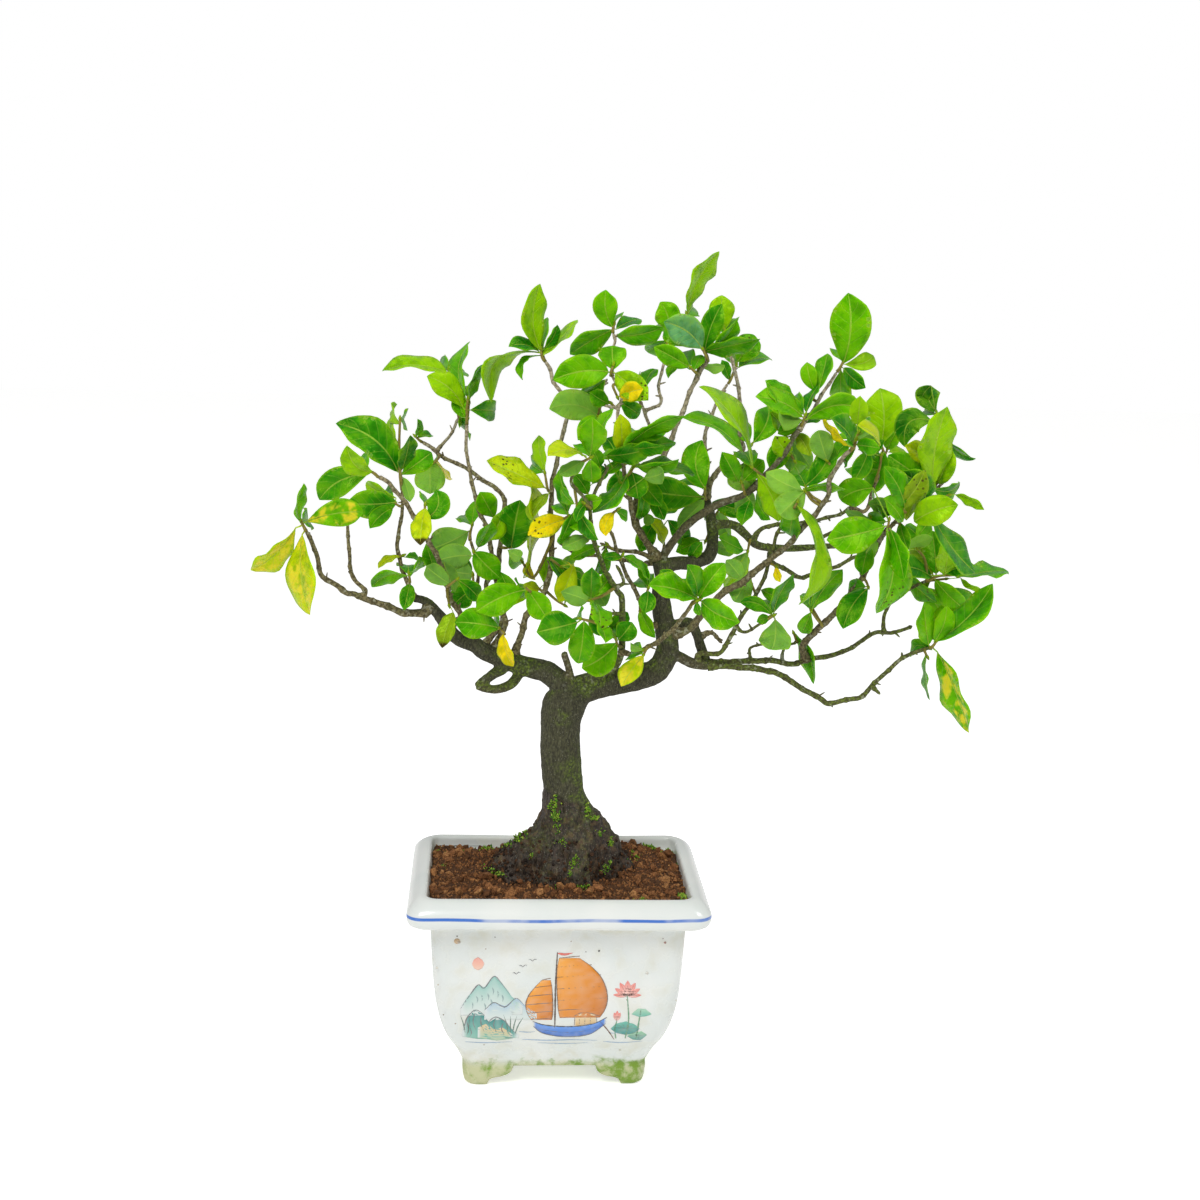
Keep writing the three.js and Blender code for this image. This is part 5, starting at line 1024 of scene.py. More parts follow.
# %% The shoots and their leaves on the sheet
# Each shoot: its name, which follows shoot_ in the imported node's name and leafy_shoot_ in the piece's, the
# limb that carries it, how many millimetres behind that limb it stands, its stem's points, and its leaves.
# Each leaf: its foot, its tip, how wide it shows, its tone with what is special about it, and for some how
# far it bows to its right, as a share of its length.
SHOOTS = [
    ("far_left", "far_left_limb", -2, [(304, 527), (301, 521)],
     [(301, 523, 305, 484, 11, "bright", -0.16), (296, 528, 251, 571, 22, "lime mottled"),
      (302, 534, 309, 615, 26, "lime mottled"), (306, 522, 364, 512, 30, "bright mottled")]),
    ("left_bright", "left_front_branch", -2, [(375, 474), (369, 470)],
     [(374, 472, 347, 446, 22, "fresh", -0.16), (368, 474, 319, 500, 32, "dark", 0.1)]),
    ("left_dark", "left_twig_high", -6, [(401, 482), (400, 470), (399, 452), (400, 420)],
     [(398, 472, 336, 423, 36, "dark", 0.09), (401, 475, 432, 452, 22, "mid"),
      (402, 470, 411, 436, 16, "deep"), (397, 443, 389, 418, 12, "fresh"), (403, 477, 410, 502, 12, "dull"),
      (400, 424, 396, 404, 6, "fresh")]),
    ("left_middle", "left_twig_high", -10, [(399, 506), (395, 503)],
     [(397, 502, 346, 503, 28, "dark"), (396, 498, 365, 483, 16, "fresh"),
      (393, 508, 370, 528, 18, "mid")]),
    ("left_yellow", "left_front_branch", -8, [(424, 524), (425, 506)],
     [(425, 507, 420, 545, 20, "lime tip"), (427, 518, 438, 490, 24, "dark", 0.22)]),
    ("left_pale", "lichen_branch", -14, [(437, 460), (432, 464)],
     [(430, 457, 429, 496, 30, "pale"), (437, 461, 449, 480, 9, "yellow")]),
    ("left_hanging", "left_twig_high", -10, [(410, 582), (409, 575)],
     [(410, 584, 404, 610, 16, "dark"), (407, 576, 372, 588, 15, "bright", 0.18),
      (411, 574, 420, 557, 8, "bright")]),
    ("upper_left", "left_rear_branch", 0, [(467, 420), (467, 408), (468, 399)],
     [(464, 409, 427, 376, 24, "fresh", 0.1), (466, 400, 469, 341, 15, "bright", -0.1),
      (470, 400, 497, 357, 11, "mid", -0.22), (470, 410, 496, 412, 22, "dark"),
      (465, 418, 457, 395, 16, "bright"), (469, 418, 471, 434, 10, "dark")]),
    ("upper_left_arch", "lichen_twig", 0, [(458, 411), (455, 392), (449, 371)],
     [(447, 372, 382, 370, 16, "fresh", 0.05), (451, 376, 466, 372, 14, "mid")]),
    ("left_spotted", "centre_left_branch", -12, [(548, 490), (545, 474)],
     [(546, 488, 487, 460, 25, "lime spots", -0.04), (545, 472, 538, 435, 14, "fresh"),
      (549, 493, 530, 520, 13, "olive")]),
    ("centre_yellow", "centre_left_branch", -42, [(562, 519), (568, 516)],
     [(567, 519, 528, 535, 24, "yellow spots"), (568, 513, 558, 470, 13, "dark"),
      (569, 518, 588, 531, 18, "bright")]),
    ("left_rear", "lichen_branch", -6, [(506, 548), (511, 547)],
     [(511, 549, 518, 498, 38, "dark"), (510, 550, 520, 566, 16, "mid"),
      (503, 510, 488, 540, 18, "fresh")]),
    ("left_bright_low", "centre_left_branch", -34, [(531, 592), (526, 588)],
     [(525, 590, 476, 612, 32, "bright"), (528, 590, 548, 620, 26, "bright")]),
    ("left_low", "left_rear_branch", -34, [(505, 634), (500, 629)],
     [(499, 628, 455, 622, 30, "mid"), (503, 634, 513, 667, 15, "yellow")]),
    ("left_inner", "left_inner_twig", -6, [(474, 588), (473, 576)],
     [(473, 589, 453, 606, 24, "dark"), (473, 574, 447, 570, 26, "dull")]),
    ("left_inner_high", "left_inner_twig", 4, [(470, 534), (472, 526)],
     [(469, 531, 428, 550, 32, "dull"), (472, 525, 475, 500, 14, "mid")]),
    ("top_left", "centre_left_branch", 0, [(542, 357), (541, 350)],
     [(541, 351, 541, 284, 23, "fresh", -0.2), (539, 353, 492, 403, 17, "fresh", 0.36),
      (540, 352, 509, 346, 14, "dark", 0.1), (543, 355, 577, 319, 13, "fresh"),
      (544, 349, 558, 325, 11, "dark")]),
    ("top_centre", "top_centre_twig", 0, [(613, 330), (614, 325)],
     [(613, 328, 606, 290, 24, "bright", -0.1), (612, 330, 570, 355, 22, "mid", 0.03),
      (615, 336, 663, 328, 22, "mid", 0.03), (616, 329, 640, 319, 12, "dark", 0.0)]),
    ("top_centre_low", "centre_upper_twig", -4, [(611, 373), (613, 366)],
     [(609, 372, 553, 380, 33, "bright", 0.05), (613, 370, 612, 345, 28, "bright"),
      (615, 373, 648, 400, 26, "fresh spots")]),
    ("top_yellow", "rear_centre_twig", -8, [(641, 396), (643, 391)],
     [(642, 392, 620, 400, 15, "yellow"), (644, 389, 655, 368, 14, "mid")]),
    ("centre", "centre_branch", -9, [(627, 460), (629, 452), (632, 443)],
     [(622, 453, 690, 418, 16, "bright", -0.14), (630, 440, 667, 430, 14, "mid"),
      (627, 450, 664, 447, 13, "dark"), (622, 458, 598, 460, 11, "mid"), (622, 452, 625, 415, 19, "lime")]),
    ("centre_low", "centre_branch", -6, [(628, 476), (633, 468)],
     [(634, 465, 679, 460, 14, "mid"), (632, 472, 638, 499, 24, "dark"),
      (626, 474, 592, 512, 17, "mid", -0.18), (640, 464, 695, 474, 14, "dark", 0.04)]),
    ("centre_left", "mossy_fork_left", 0, [(581, 463), (590, 458)],
     [(590, 456, 592, 418, 28, "bright"), (592, 457, 613, 408, 14, "bright"),
      (587, 458, 548, 455, 12, "lime"), (590, 460, 592, 483, 20, "bright"),
      (585, 461, 560, 475, 14, "dull")]),
    ("centre_spotted", "front_mossy_branch", -8, [(602, 596), (591, 600)],
     [(591, 598, 592, 568, 22, "dark"), (594, 598, 612, 575, 18, "bright spots"),
      (594, 603, 600, 630, 20, "bright spots"), (588, 601, 561, 592, 20, "dull")]),
    ("low_centre", "mossy_side_low", -6, [(594, 622), (582, 619)],
     [(578, 622, 533, 636, 34, "dark", -0.04), (584, 621, 578, 664, 28, "mid"),
      (596, 622, 606, 642, 12, "bright")]),
    ("low_bright", "front_mossy_branch", -12, [(618, 646), (616, 640)],
     [(617, 642, 582, 670, 32, "bright", -0.08), (618, 640, 632, 622, 22, "dark")]),
    ("low_yellow", "front_twig", -10, [(647, 648), (644, 654)], [(644, 655, 621, 686, 20, "lime mottled")]),
    ("centre_dark", "centre_twig", -8, [(645, 597), (648, 589)],
     [(648, 590, 645, 613, 18, "dark"), (649, 587, 640, 562, 12, "mid")]),
    ("front_rosette", "front_twig", 0, [(693, 602), (698, 600)],
     [(697, 599, 649, 585, 26, "bright", 0.02), (699, 598, 725, 563, 24, "bright"),
      (701, 601, 739, 622, 26, "bright"), (696, 597, 660, 570, 18, "dark"),
      (697, 596, 688, 565, 17, "dark")]),
    ("dark_pair", "upper_stem", -14, [(705, 496), (705, 490)],
     [(703, 497, 642, 490, 36, "dark"), (705, 488, 700, 440, 28, "mid", -0.16),
      (704, 500, 678, 528, 20, "dull")]),
    ("top_right", "upper_branch", 0, [(707, 357), (701, 344), (690, 323), (687, 315)],
     [(688, 314, 720, 252, 18, "fresh", -0.12), (699, 345, 665, 322, 32, "mid"),
      (704, 352, 760, 340, 18, "mid"), (703, 348, 697, 328, 20, "bright"),
      (705, 350, 722, 304, 24, "dark")]),
    ("top_right_low", "upper_branch", -10, [(696, 373), (691, 368)],
     [(689, 367, 654, 347, 22, "bright"), (694, 370, 702, 354, 12, "mid")]),
    ("top_right_rear", "rear_upper_branch", 0, [(727, 347), (725, 332)],
     [(725, 330, 722, 295, 25, "fresh"), (726, 338, 738, 318, 14, "bright")]),
    ("top_rear", "rear_centre_fork", 0, [(666, 354), (668, 333)],
     [(668, 331, 658, 302, 25, "bright", 0.12), (668, 340, 646, 352, 16, "mid")]),
    ("top_right_far", "rear_upper_twig", 0, [(731, 379), (736, 366)],
     [(737, 362, 755, 335, 26, "mid spots"), (739, 367, 771, 358, 14, "mid"),
      (729, 380, 722, 360, 10, "dark")]),
    ("right_tall", "upper_right_branch", -14, [(759, 473), (753, 468)],
     [(753, 468, 700, 386, 16, "fresh", 0.08), (757, 474, 778, 522, 22, "fresh", -0.12)]),
    ("right_rear", "rear_upper_branch", -7, [(746, 455), (751, 446)],
     [(744, 455, 683, 418, 16, "bright", 0.05), (753, 443, 769, 406, 30, "mid", 0.1)]),
    ("right_upper", "upper_right_branch", 0, [(802, 424), (805, 416)],
     [(803, 417, 756, 396, 22, "bright", 0.0), (806, 420, 860, 410, 26, "bright", -0.14),
      (802, 420, 779, 412, 18, "pale"), (806, 413, 818, 385, 10, "dark"),
      (804, 414, 766, 380, 20, "mid", -0.06)]),
    ("right_upper_rear", "upper_right_tip", 4, [(813, 399), (816, 391)],
     [(815, 391, 807, 362, 16, "bright"), (818, 390, 827, 353, 17, "mid")]),
    ("right_top", "upper_right_tip", 0, [(840, 368), (843, 362)],
     [(843, 364, 848, 293, 40, "bright", 0.07), (844, 364, 874, 355, 18, "fresh", 0.16),
      (843, 368, 865, 388, 16, "dark"), (841, 370, 842, 400, 24, "bright")]),
    ("right_pale", "front_branch", 4, [(812, 496), (807, 489)],
     [(806, 490, 780, 515, 30, "pale"), (805, 486, 832, 445, 24, "dark", 0.12)]),
    ("right_long", "low_inner_branch", -14, [(794, 508), (797, 503)],
     [(797, 505, 800, 605, 18, "fresh", -0.15)]),
    ("right_middle", "front_branch", 0, [(854, 447), (856, 441)],
     [(856, 445, 880, 448, 16, "mid"), (855, 449, 845, 466, 10, "dark"), (853, 445, 832, 418, 20, "dark"),
      (857, 441, 878, 430, 12, "dull")]),
    ("right_rear_high", "rear_right_twig", 0, [(883, 450), (881, 444)],
     [(881, 445, 880, 388, 36, "fresh", 0.06), (879, 447, 858, 420, 14, "mid")]),
    ("right_curled", "right_twig_high", 0, [(934, 423), (936, 415)],
     [(932, 421, 905, 447, 26, "deep", 0.38), (937, 412, 930, 385, 24, "deep", -0.15),
      (931, 386, 917, 404, 15, "deep", 0.05), (942, 425, 976, 459, 10, "dark", 0.06)]),
    ("right_light", "right_twig", -4, [(931, 493), (932, 487)],
     [(933, 486, 948, 407, 32, "fresh", -0.08), (930, 484, 888, 455, 26, "mid"),
      (927, 502, 897, 473, 32, "dark", 0.08), (934, 489, 960, 484, 15, "dark spots", 0.12)]),
    ("right_folded", "right_twig", -18, [(920, 511), (926, 516)],
     [(914, 522, 962, 500, 32, "fresh", -0.05), (932, 514, 976, 572, 22, "dark", 0.12)]),
    ("right_big", "right_branch", -11, [(888, 527), (889, 521)],
     [(886, 526, 827, 540, 36, "bright"), (887, 530, 877, 614, 32, "bright spots"),
      (890, 529, 903, 580, 18, "mid"), (873, 488, 838, 500, 32, "bright")]),
    ("right_mid_low", "right_branch", -12, [(866, 581), (868, 586)], [(868, 588, 843, 629, 24, "dark")]),
    ("low_right_cluster", "low_rear_fork", 0, [(931, 579), (939, 576), (955, 575)],
     [(932, 577, 897, 566, 20, "dark"), (936, 574, 932, 530, 26, "mid"), (943, 573, 975, 566, 18, "dark"),
      (957, 577, 1008, 570, 16, "mid", 0.02), (935, 580, 965, 610, 20, "bright"),
      (933, 575, 916, 538, 24, "olive")]),
    ("low_right_tip", "low_right_branch", 0, [(932, 647), (936, 642)],
     [(929, 645, 925, 602, 20, "bright"), (936, 641, 992, 583, 26, "mid", 0.1),
      (937, 652, 968, 733, 24, "bright mottled", -0.09), (932, 650, 910, 657, 13, "dark", 0.22),
      (934, 642, 947, 606, 18, "bright")]),
    ("low_inner", "low_inner_side", 0, [(767, 620), (773, 616)],
     [(774, 613, 794, 575, 16, "dark", -0.14), (771, 615, 740, 603, 15, "dark", 0.15),
      (775, 619, 772, 650, 32, "dull")]),
    ("low_upright", "right_branch", -6, [(817, 619), (812, 612)],
     [(812, 610, 843, 570, 19, "mid", -0.1), (811, 612, 802, 634, 16, "bright")]),
]
# Small shoots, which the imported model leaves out, in groups. Each group: the piece that it goes to, and its
# shoots, written in the same way but without names.
SMALL_SHOOTS = [
    ("small_shoots_left", [
        ("lichen_branch", -2, [(419, 440), (416, 437)],
         [(416, 437, 418, 419, 7, "mid"), (417, 438, 433, 436, 8, "dark")]),
        ("left_twig_high", -2, [(400, 557), (402, 556)],
         [(400, 556, 378, 568, 8, "lime"), (405, 557, 420, 558, 8, "mid")]),
        ("left_rear_branch", 3, [(467, 424), (469, 404)],
         [(470, 398, 478, 380, 11, "dark", -0.1), (460, 415, 460, 428, 6, "fresh")]),
        ("left_front_branch", -3, [(447, 590), (449, 604)],
         [(453, 612, 442, 648, 17, "olive tip"), (444, 562, 455, 592, 20, "dull")]),
        ("centre_left_branch", -3, [(552, 540), (534, 577), (523, 563)],
         [(524, 578, 531, 480, 10, "lime"), (535, 580, 528, 560, 10, "yellow"),
          (508, 550, 522, 557, 14, "pale")]),
        ("left_inner_twig", -12, [(476, 560), (474, 553)],
         [(474, 552, 500, 578, 26, "mid"), (472, 556, 434, 562, 26, "dull"),
          (478, 548, 492, 522, 16, "bright")]),
        ("left_front_branch", -14, [(448, 586), (456, 580)],
         [(450, 584, 426, 566, 20, "dull"), (458, 580, 480, 600, 18, "dark")]),
        ("centre_left_branch", 3, [(545, 361), (543, 355)],
         [(540, 355, 522, 380, 7, "mid", 0.22), (543, 353, 547, 317, 10, "bright")]),
    ]),
    ("small_shoots_middle", [
        ("centre_side_twig", 2, [(600, 408), (598, 415)],
         [(603, 420, 549, 409, 30, "pale", 0.14), (605, 380, 577, 395, 12, "mid")]),
        ("centre_left_branch", 4, [(545, 590), (556, 600), (564, 605)],
         [(565, 605, 548, 557, 16, "dark"), (562, 602, 568, 562, 16, "yellow")]),
        ("centre_twig", -3, [(606, 524), (611, 515), (617, 510)],
         [(615, 512, 606, 536, 15, "yellow", 0.15), (616, 511, 628, 519, 10, "mid")]),
        ("centre_twig", -3, [(620, 560), (622, 556)],
         [(622, 556, 603, 558, 9, "dark"), (623, 556, 648, 580, 9, "mid")]),
        ("centre_twig", -3, [(640, 606), (640, 610)], [(640, 610, 655, 638, 14, "bright")]),
        ("upper_branch", 3, [(636, 510), (644, 513)],
         [(645, 513, 652, 524, 12, "pale"), (646, 516, 664, 544, 14, "lime")]),
        ("centre_branch", 12, [(630, 500), (622, 494)],
         [(620, 470, 611, 502, 20, "dark"), (618, 462, 606, 438, 18, "dark"),
          (640, 480, 662, 506, 20, "dark")]),
        ("centre_branch", -14, [(628, 490), (622, 484)],
         [(606, 456, 652, 448, 20, "dark"), (640, 452, 676, 442, 16, "mid"),
          (644, 478, 664, 472, 18, "dull")]),
        ("mossy_fork_left", 10, [(575, 490), (577, 505)],
         [(576, 508, 602, 500, 16, "bright"), (574, 512, 560, 545, 14, "mid"),
          (577, 505, 598, 540, 14, "dark"), (574, 504, 560, 488, 12, "mid")]),
        ("right_bough", 22, [(664, 545), (660, 530)],
         [(656, 520, 640, 552, 20, "dark"), (668, 520, 690, 545, 18, "dark"),
          (662, 515, 676, 490, 16, "mid")]),
        ("upper_stem", 22, [(712, 520), (720, 508)],
         [(712, 502, 748, 512, 20, "dark"), (716, 512, 730, 540, 18, "dull"),
          (705, 520, 690, 498, 14, "mid")]),
        ("hub_twig_upper", -8, [(612, 549), (608, 545)],
         [(600, 546, 570, 560, 14, "bright"), (606, 546, 598, 575, 16, "dark")]),
        ("centre_left_branch", -12, [(552, 560), (560, 566)],
         [(574, 564, 559, 602, 22, "lime"), (562, 568, 590, 585, 18, "mid"),
          (580, 572, 606, 606, 24, "dull")]),
        ("centre_upper_twig", 10, [(618, 410), (612, 404)],
         [(610, 404, 590, 392, 18, "mid"), (620, 402, 640, 415, 18, "dark"),
          (600, 420, 578, 440, 20, "bright")]),
        ("upper_stem", 3, [(690, 563), (690, 560)], [(690, 560, 702, 542, 14, "dark")]),
        ("hub_twig_lower", 3, [(578, 554), (578, 552)], [(578, 552, 560, 566, 12, "dull")]),
        ("front_mossy_branch", -2, [(590, 508), (585, 504)], [(584, 505, 576, 522, 12, "dark")]),
        ("front_twig", -4, [(691, 605), (696, 602)], [(697, 602, 700, 615, 8, "dark")]),
        ("front_twig", -2, [(650, 646), (645, 649)], [(643, 650, 630, 645, 8, "pale")]),
        ("centre_upper_twig", -9, [(613, 386), (617, 396)], [(619, 397, 643, 389, 22, "yellow")]),
        # This leaf's grey-blue tone is a painted reflection, the sky's sheen on its glossy top.
        ("upper_branch", -8, [(707, 358), (703, 350)], [(702, 349, 664, 322, 33, "sky_sheen", 0.1)]),
        ("upper_branch", 2, [(692, 388), (698, 370)],
         [(690, 369, 668, 378, 8, "bright", 0.25), (700, 366, 725, 366, 10, "pale"),
          (708, 350, 737, 320, 14, "bright")]),
    ]),
    ("small_shoots_right", [
        ("low_rear_twig_right", 2, [(797, 642), (794, 634)], [(793, 632, 813, 684, 14, "mid", -0.16)]),
        ("low_inner_side", 2, [(762, 623), (768, 618)], [(770, 618, 757, 622, 10, "dark")]),
        ("right_branch", -4, [(822, 625), (813, 609)], [(811, 608, 810, 588, 10, "dark")]),
        ("mossy_right_branch", -3, [(750, 540), (748, 550)],
         [(747, 552, 728, 576, 20, "dull spots"), (748, 556, 724, 588, 14, "fresh"),
          (744, 550, 719, 537, 16, "mid")]),
        ("low_inner_branch", -2, [(769, 562), (775, 566)], [(775, 567, 780, 582, 8, "yellow spots")]),
        ("upper_right_branch", 3, [(753, 491), (757, 488)],
         [(757, 490, 730, 470, 28, "pale spots"), (753, 492, 735, 512, 20, "dull"),
          (757, 491, 770, 520, 10, "mid")]),
        ("upper_right_branch", 4, [(788, 450), (794, 460)],
         [(792, 456, 775, 436, 20, "fresh spots"), (796, 463, 783, 462, 20, "dull")]),
        ("front_branch", 4, [(851, 450), (858, 434)],
         [(857, 425, 860, 396, 18, "fresh"), (862, 434, 868, 417, 12, "mid"),
          (880, 446, 858, 425, 10, "lime"), (848, 446, 822, 420, 8, "yellow")]),
        ("right_branch", 3, [(880, 540), (882, 530)],
         [(880, 535, 860, 565, 16, "dull"), (884, 522, 872, 490, 5, "mid")]),
        ("low_rear_fork", 3, [(927, 581), (945, 579)],
         [(960, 578, 982, 590, 6, "fresh"), (930, 582, 915, 598, 14, "olive spots")]),
        ("low_right_branch", -2, [(925, 652), (927, 656)], [(925, 655, 929, 700, 5, "dark")]),
        ("right_twig", 2, [(928, 497), (948, 495)],
         [(955, 495, 984, 510, 10, "fresh", -0.16), (922, 511, 932, 524, 10, "mid")]),
        ("low_inner_branch", 6, [(756, 595), (752, 585)],
         [(750, 572, 734, 602, 24, "dull"), (742, 580, 726, 560, 18, "dull"),
          (760, 590, 785, 600, 14, "mid")]),
        ("low_rear_fork", 8, [(915, 586), (925, 592)],
         [(905, 574, 937, 603, 16, "dark spots"), (920, 588, 946, 628, 24, "bright"),
          (955, 600, 936, 642, 22, "bright"), (944, 590, 972, 612, 20, "mid")]),
        ("upper_right_branch", -8, [(745, 494), (742, 484)],
         [(738, 482, 722, 452, 20, "mid"), (744, 480, 764, 460, 18, "bright"),
          (750, 500, 742, 525, 16, "dark")]),
        ("rear_right_twig", -4, [(876, 480), (880, 466), (881, 456)],
         [(868, 452, 853, 482, 20, "dark"), (884, 452, 870, 494, 24, "mid"),
          (858, 450, 884, 440, 14, "dark"), (880, 470, 845, 470, 12, "bright")]),
        ("right_twig", -10, [(905, 512), (900, 508), (896, 506)],
         [(905, 508, 884, 466, 22, "mid"), (899, 512, 868, 503, 16, "dull"),
          (903, 522, 884, 498, 16, "bright"), (906, 520, 916, 498, 14, "olive"),
          (898, 508, 925, 470, 20, "olive spots")]),
        ("right_twig", 6, [(935, 486), (940, 480)],
         [(937, 484, 951, 448, 22, "fresh"), (932, 480, 914, 446, 26, "olive spots"),
          (930, 470, 905, 446, 18, "lime")]),
        ("low_rear_fork", -4, [(925, 560), (918, 550)],
         [(906, 549, 933, 538, 12, "pale"), (916, 538, 930, 520, 15, "bright"),
          (945, 575, 950, 535, 22, "fresh"), (925, 545, 905, 525, 14, "mid")]),
        ("right_branch", 8, [(884, 532), (878, 524), (872, 518)],
         [(874, 520, 845, 512, 12, "dull"), (880, 520, 905, 500, 14, "mid"),
          (870, 545, 862, 575, 18, "mid")]),
        ("upper_right_branch", 14, [(790, 445), (786, 436)],
         [(785, 440, 770, 470, 22, "mid"), (790, 436, 812, 470, 22, "dull"),
          (782, 430, 770, 412, 16, "fresh"), (788, 460, 800, 478, 20, "bright")]),
        ("front_branch", 12, [(835, 470), (828, 462)],
         [(828, 462, 818, 430, 24, "dull"), (832, 466, 850, 440, 14, "mid")]),
        ("front_branch", 2, [(812, 500), (806, 492)],
         [(804, 491, 845, 490, 10, "bright", -0.15), (802, 490, 766, 472, 24, "pale", -0.05)]),
    ]),
    ("small_shoots_left", [
        ("left_rear_branch", 8, [(487, 530), (493, 522)], [(494, 518, 480, 492, 22, "bright")]),
        ("left_rear_branch", 4, [(500, 612), (508, 600)],
         [(510, 600, 500, 572, 20, "mid"), (512, 606, 528, 585, 16, "fresh")]),
        ("left_front_branch", 6, [(442, 568), (436, 572)], [(434, 570, 426, 544, 16, "mid")]),
    ]),
    ("small_shoots_middle", [
        ("mossy_fork_left", 14, [(574, 488), (584, 492)],
         [(588, 494, 574, 474, 16, "mid"), (592, 484, 606, 468, 14, "dark")]),
        ("mossy_fork_right", 10, [(600, 484), (600, 470)],
         [(600, 468, 592, 448, 13, "mid"), (604, 474, 620, 462, 12, "bright")]),
        ("front_mossy_branch", 10, [(592, 536), (588, 540)], [(590, 536, 562, 548, 15, "dull")]),
        ("centre_left_branch", 6, [(543, 592), (536, 586)],
         [(540, 590, 524, 584, 12, "lime"), (544, 584, 546, 556, 12, "fresh")]),
        ("front_mossy_branch", 12, [(618, 630), (608, 634)],
         [(604, 634, 590, 614, 18, "dark"), (608, 630, 628, 612, 16, "mid")]),
        ("upper_branch", -10, [(646, 484), (650, 490)],
         [(650, 492, 664, 520, 15, "dark"), (645, 486, 640, 520, 14, "mid")]),
        ("upper_stem", 16, [(712, 525), (706, 540)],
         [(700, 540, 676, 552, 16, "bright"), (710, 545, 736, 552, 14, "dull")]),
    ]),
    ("small_shoots_right", [
        ("upper_right_branch", 10, [(792, 436), (796, 428)],
         [(798, 424, 778, 434, 13, "mid"), (802, 424, 820, 418, 12, "dark"),
          (796, 434, 810, 456, 16, "olive")]),
        ("rear_right_twig", 6, [(884, 458), (887, 450)],
         [(888, 450, 898, 430, 15, "bright"), (889, 452, 908, 456, 9, "fresh"),
          (882, 462, 862, 452, 14, "mid")]),
        ("right_twig", 4, [(902, 516), (900, 524)], [(900, 522, 908, 550, 14, "dark")]),
    ]),
]

# %% One leaf's blade
# A blade's rows from foot to tip, and its places across, from -1 at one edge to 1 at the other.
BLADE_ROWS = 18
BLADE_ACROSS = np.array([-1, -0.68, -0.36, -0.1, 0, 0.1, 0.36, 0.68, 1])
BLADE_THICKNESS, LEAST_HALF_WIDTH = 0.3, 0.15
# The curl is a share of the fold's rise, and the edge's waves are a share of the blade's width.
CURL, EDGE_WAVE = 0.45, 0.065
# The groove along the midrib, and how deep under it the rib's middle lies.
GROOVE_DEPTH, GROOVE_HALF_WIDTH = 0.3, 1.1
RIB_DEPTH = 0.25
# How blades differ: the least and the most of each measure.
BLADE_RANGES = {
    "fullness": (0.85, 1.25), "fold": (0.10, 0.5), "arch": (0.02, 0.12), "sag": (0.0, 0.035),
    "twist": (-0.4, 0.4), "waves": (1.3, 2.8),
}
leaf_shapes = np.random.default_rng(5)


def with_ends(values):
    """A grid's values as one list, then the means of its first and last ring for the fans' middles."""
    flat = values.reshape(-1, *values.shape[2:])
    return np.concatenate([flat, values[:1].mean(axis=1), values[-1:].mean(axis=1)])


def lie_of_blade(foot, tip, roll):
    """A blade's directions: along it, aside as the eye sees it, and across it once rolled."""
    along = unit(tip - foot)
    aside = unit(np.cross(along, EYE - foot))
    return along, aside, np.cos(roll) * aside + np.sin(roll) * np.cross(along, aside)


def blade(foot, tip, width, roll, looks, bow):
    """A leaf's blade. Along v from foot to tip, half the width is 3.04 t^0.9 (1 - t)^0.72 with t = v^p,
    drawn in to a point. The midrib bows aside by a share of its length. Across u, the halves rise by the
    fold and sink again by the curl, and the edge waves as a sine of v."""
    fullness, fold, arch, sag, twist, waves = leaf_shapes.uniform(*zip(*BLADE_RANGES.values()))
    phase, other_phase = leaf_shapes.uniform(0, 2 * np.pi, 2)
    # The rows stand closer together towards both ends.
    v = np.linspace(0, 1, BLADE_ROWS)
    v = 0.55 * v + 0.225 * (1 - np.cos(np.pi * v))
    length = np.linalg.norm(tip - foot)
    along, aside, across = lie_of_blade(foot, tip, roll)
    lift = WORLD_UP - along * along[2]
    hump = 4 * v * (1 - v)
    middle = foot + np.outer(v, tip - foot) + np.outer(arch * length * hump, np.cross(across, along))
    middle += np.outer(length * hump, sag * lift * np.linalg.norm(lift) + bow * aside)
    t = v**fullness
    outline = 3.04 * t**0.9 * (1 - t) ** 0.72 * (1 - 0.3 * smoothstep(v, 0.8, 1))
    half = np.maximum(width / 2 * outline, LEAST_HALF_WIDTH)
    along = unit(np.gradient(middle, axis=0))
    across = unit(across - (along @ across)[:, None] * along)
    normal = np.cross(across, along)
    turn = (twist * abs(math.cos(roll)) * (v - 0.4))[:, None]
    across = np.cos(turn) * across - np.sin(turn) * normal
    normal = np.cross(across, along)
    u = BLADE_ACROSS[None, :]
    size = half[:, None]
    rise = size * np.sin(fold) * (np.abs(u) - CURL * u**2)
    edge_phase = np.where(u > 0, phase, other_phase)
    wave = np.sin(2 * np.pi * waves * v[:, None] + edge_phase)
    rise = rise + EDGE_WAVE * width * outline[:, None] * u**2 * wave
    rise = rise - GROOVE_DEPTH * np.exp(-(u * size / GROOVE_HALF_WIDTH) ** 2)
    out = across[:, None] * (u * size * np.cos(fold))[..., None]
    top = middle[:, None] + out + normal[:, None] * rise[..., None]
    under = top - normal[:, None] * (BLADE_THICKNESS * (1.15 - 0.75 * np.abs(u)))[..., None]
    ring = np.concatenate([top, under[:, ::-1]], axis=1)
    both = np.concatenate([BLADE_ACROSS, BLADE_ACROSS[::-1]])
    uv = np.stack(np.broadcast_arrays((both[None, :] + 1) / 2, v[:, None]), axis=-1)
    beneath = np.broadcast_to(np.repeat([0.0, 1.0], len(BLADE_ACROSS)), uv.shape[:2])
    points, faces = close_ends(ring)
    part = make_part(points, faces, uv=with_ends(uv), under=with_ends(beneath), leafy=1.0, **looks)
    return part, middle - normal * RIB_DEPTH


# %% Stalks, midribs and stems
RIB_COLOUR = np.array(linear("#b4cf4e")[:3])
STEM_COLOUR = linear("#86793f")
RIB_SIDES = 6
# The radius of a midrib at its root, and how much of it is gone at its end, on a blade of the common width.
RIB_RADIUS, RIB_THINS = 0.52, 0.42
COMMON_WIDTH = 16
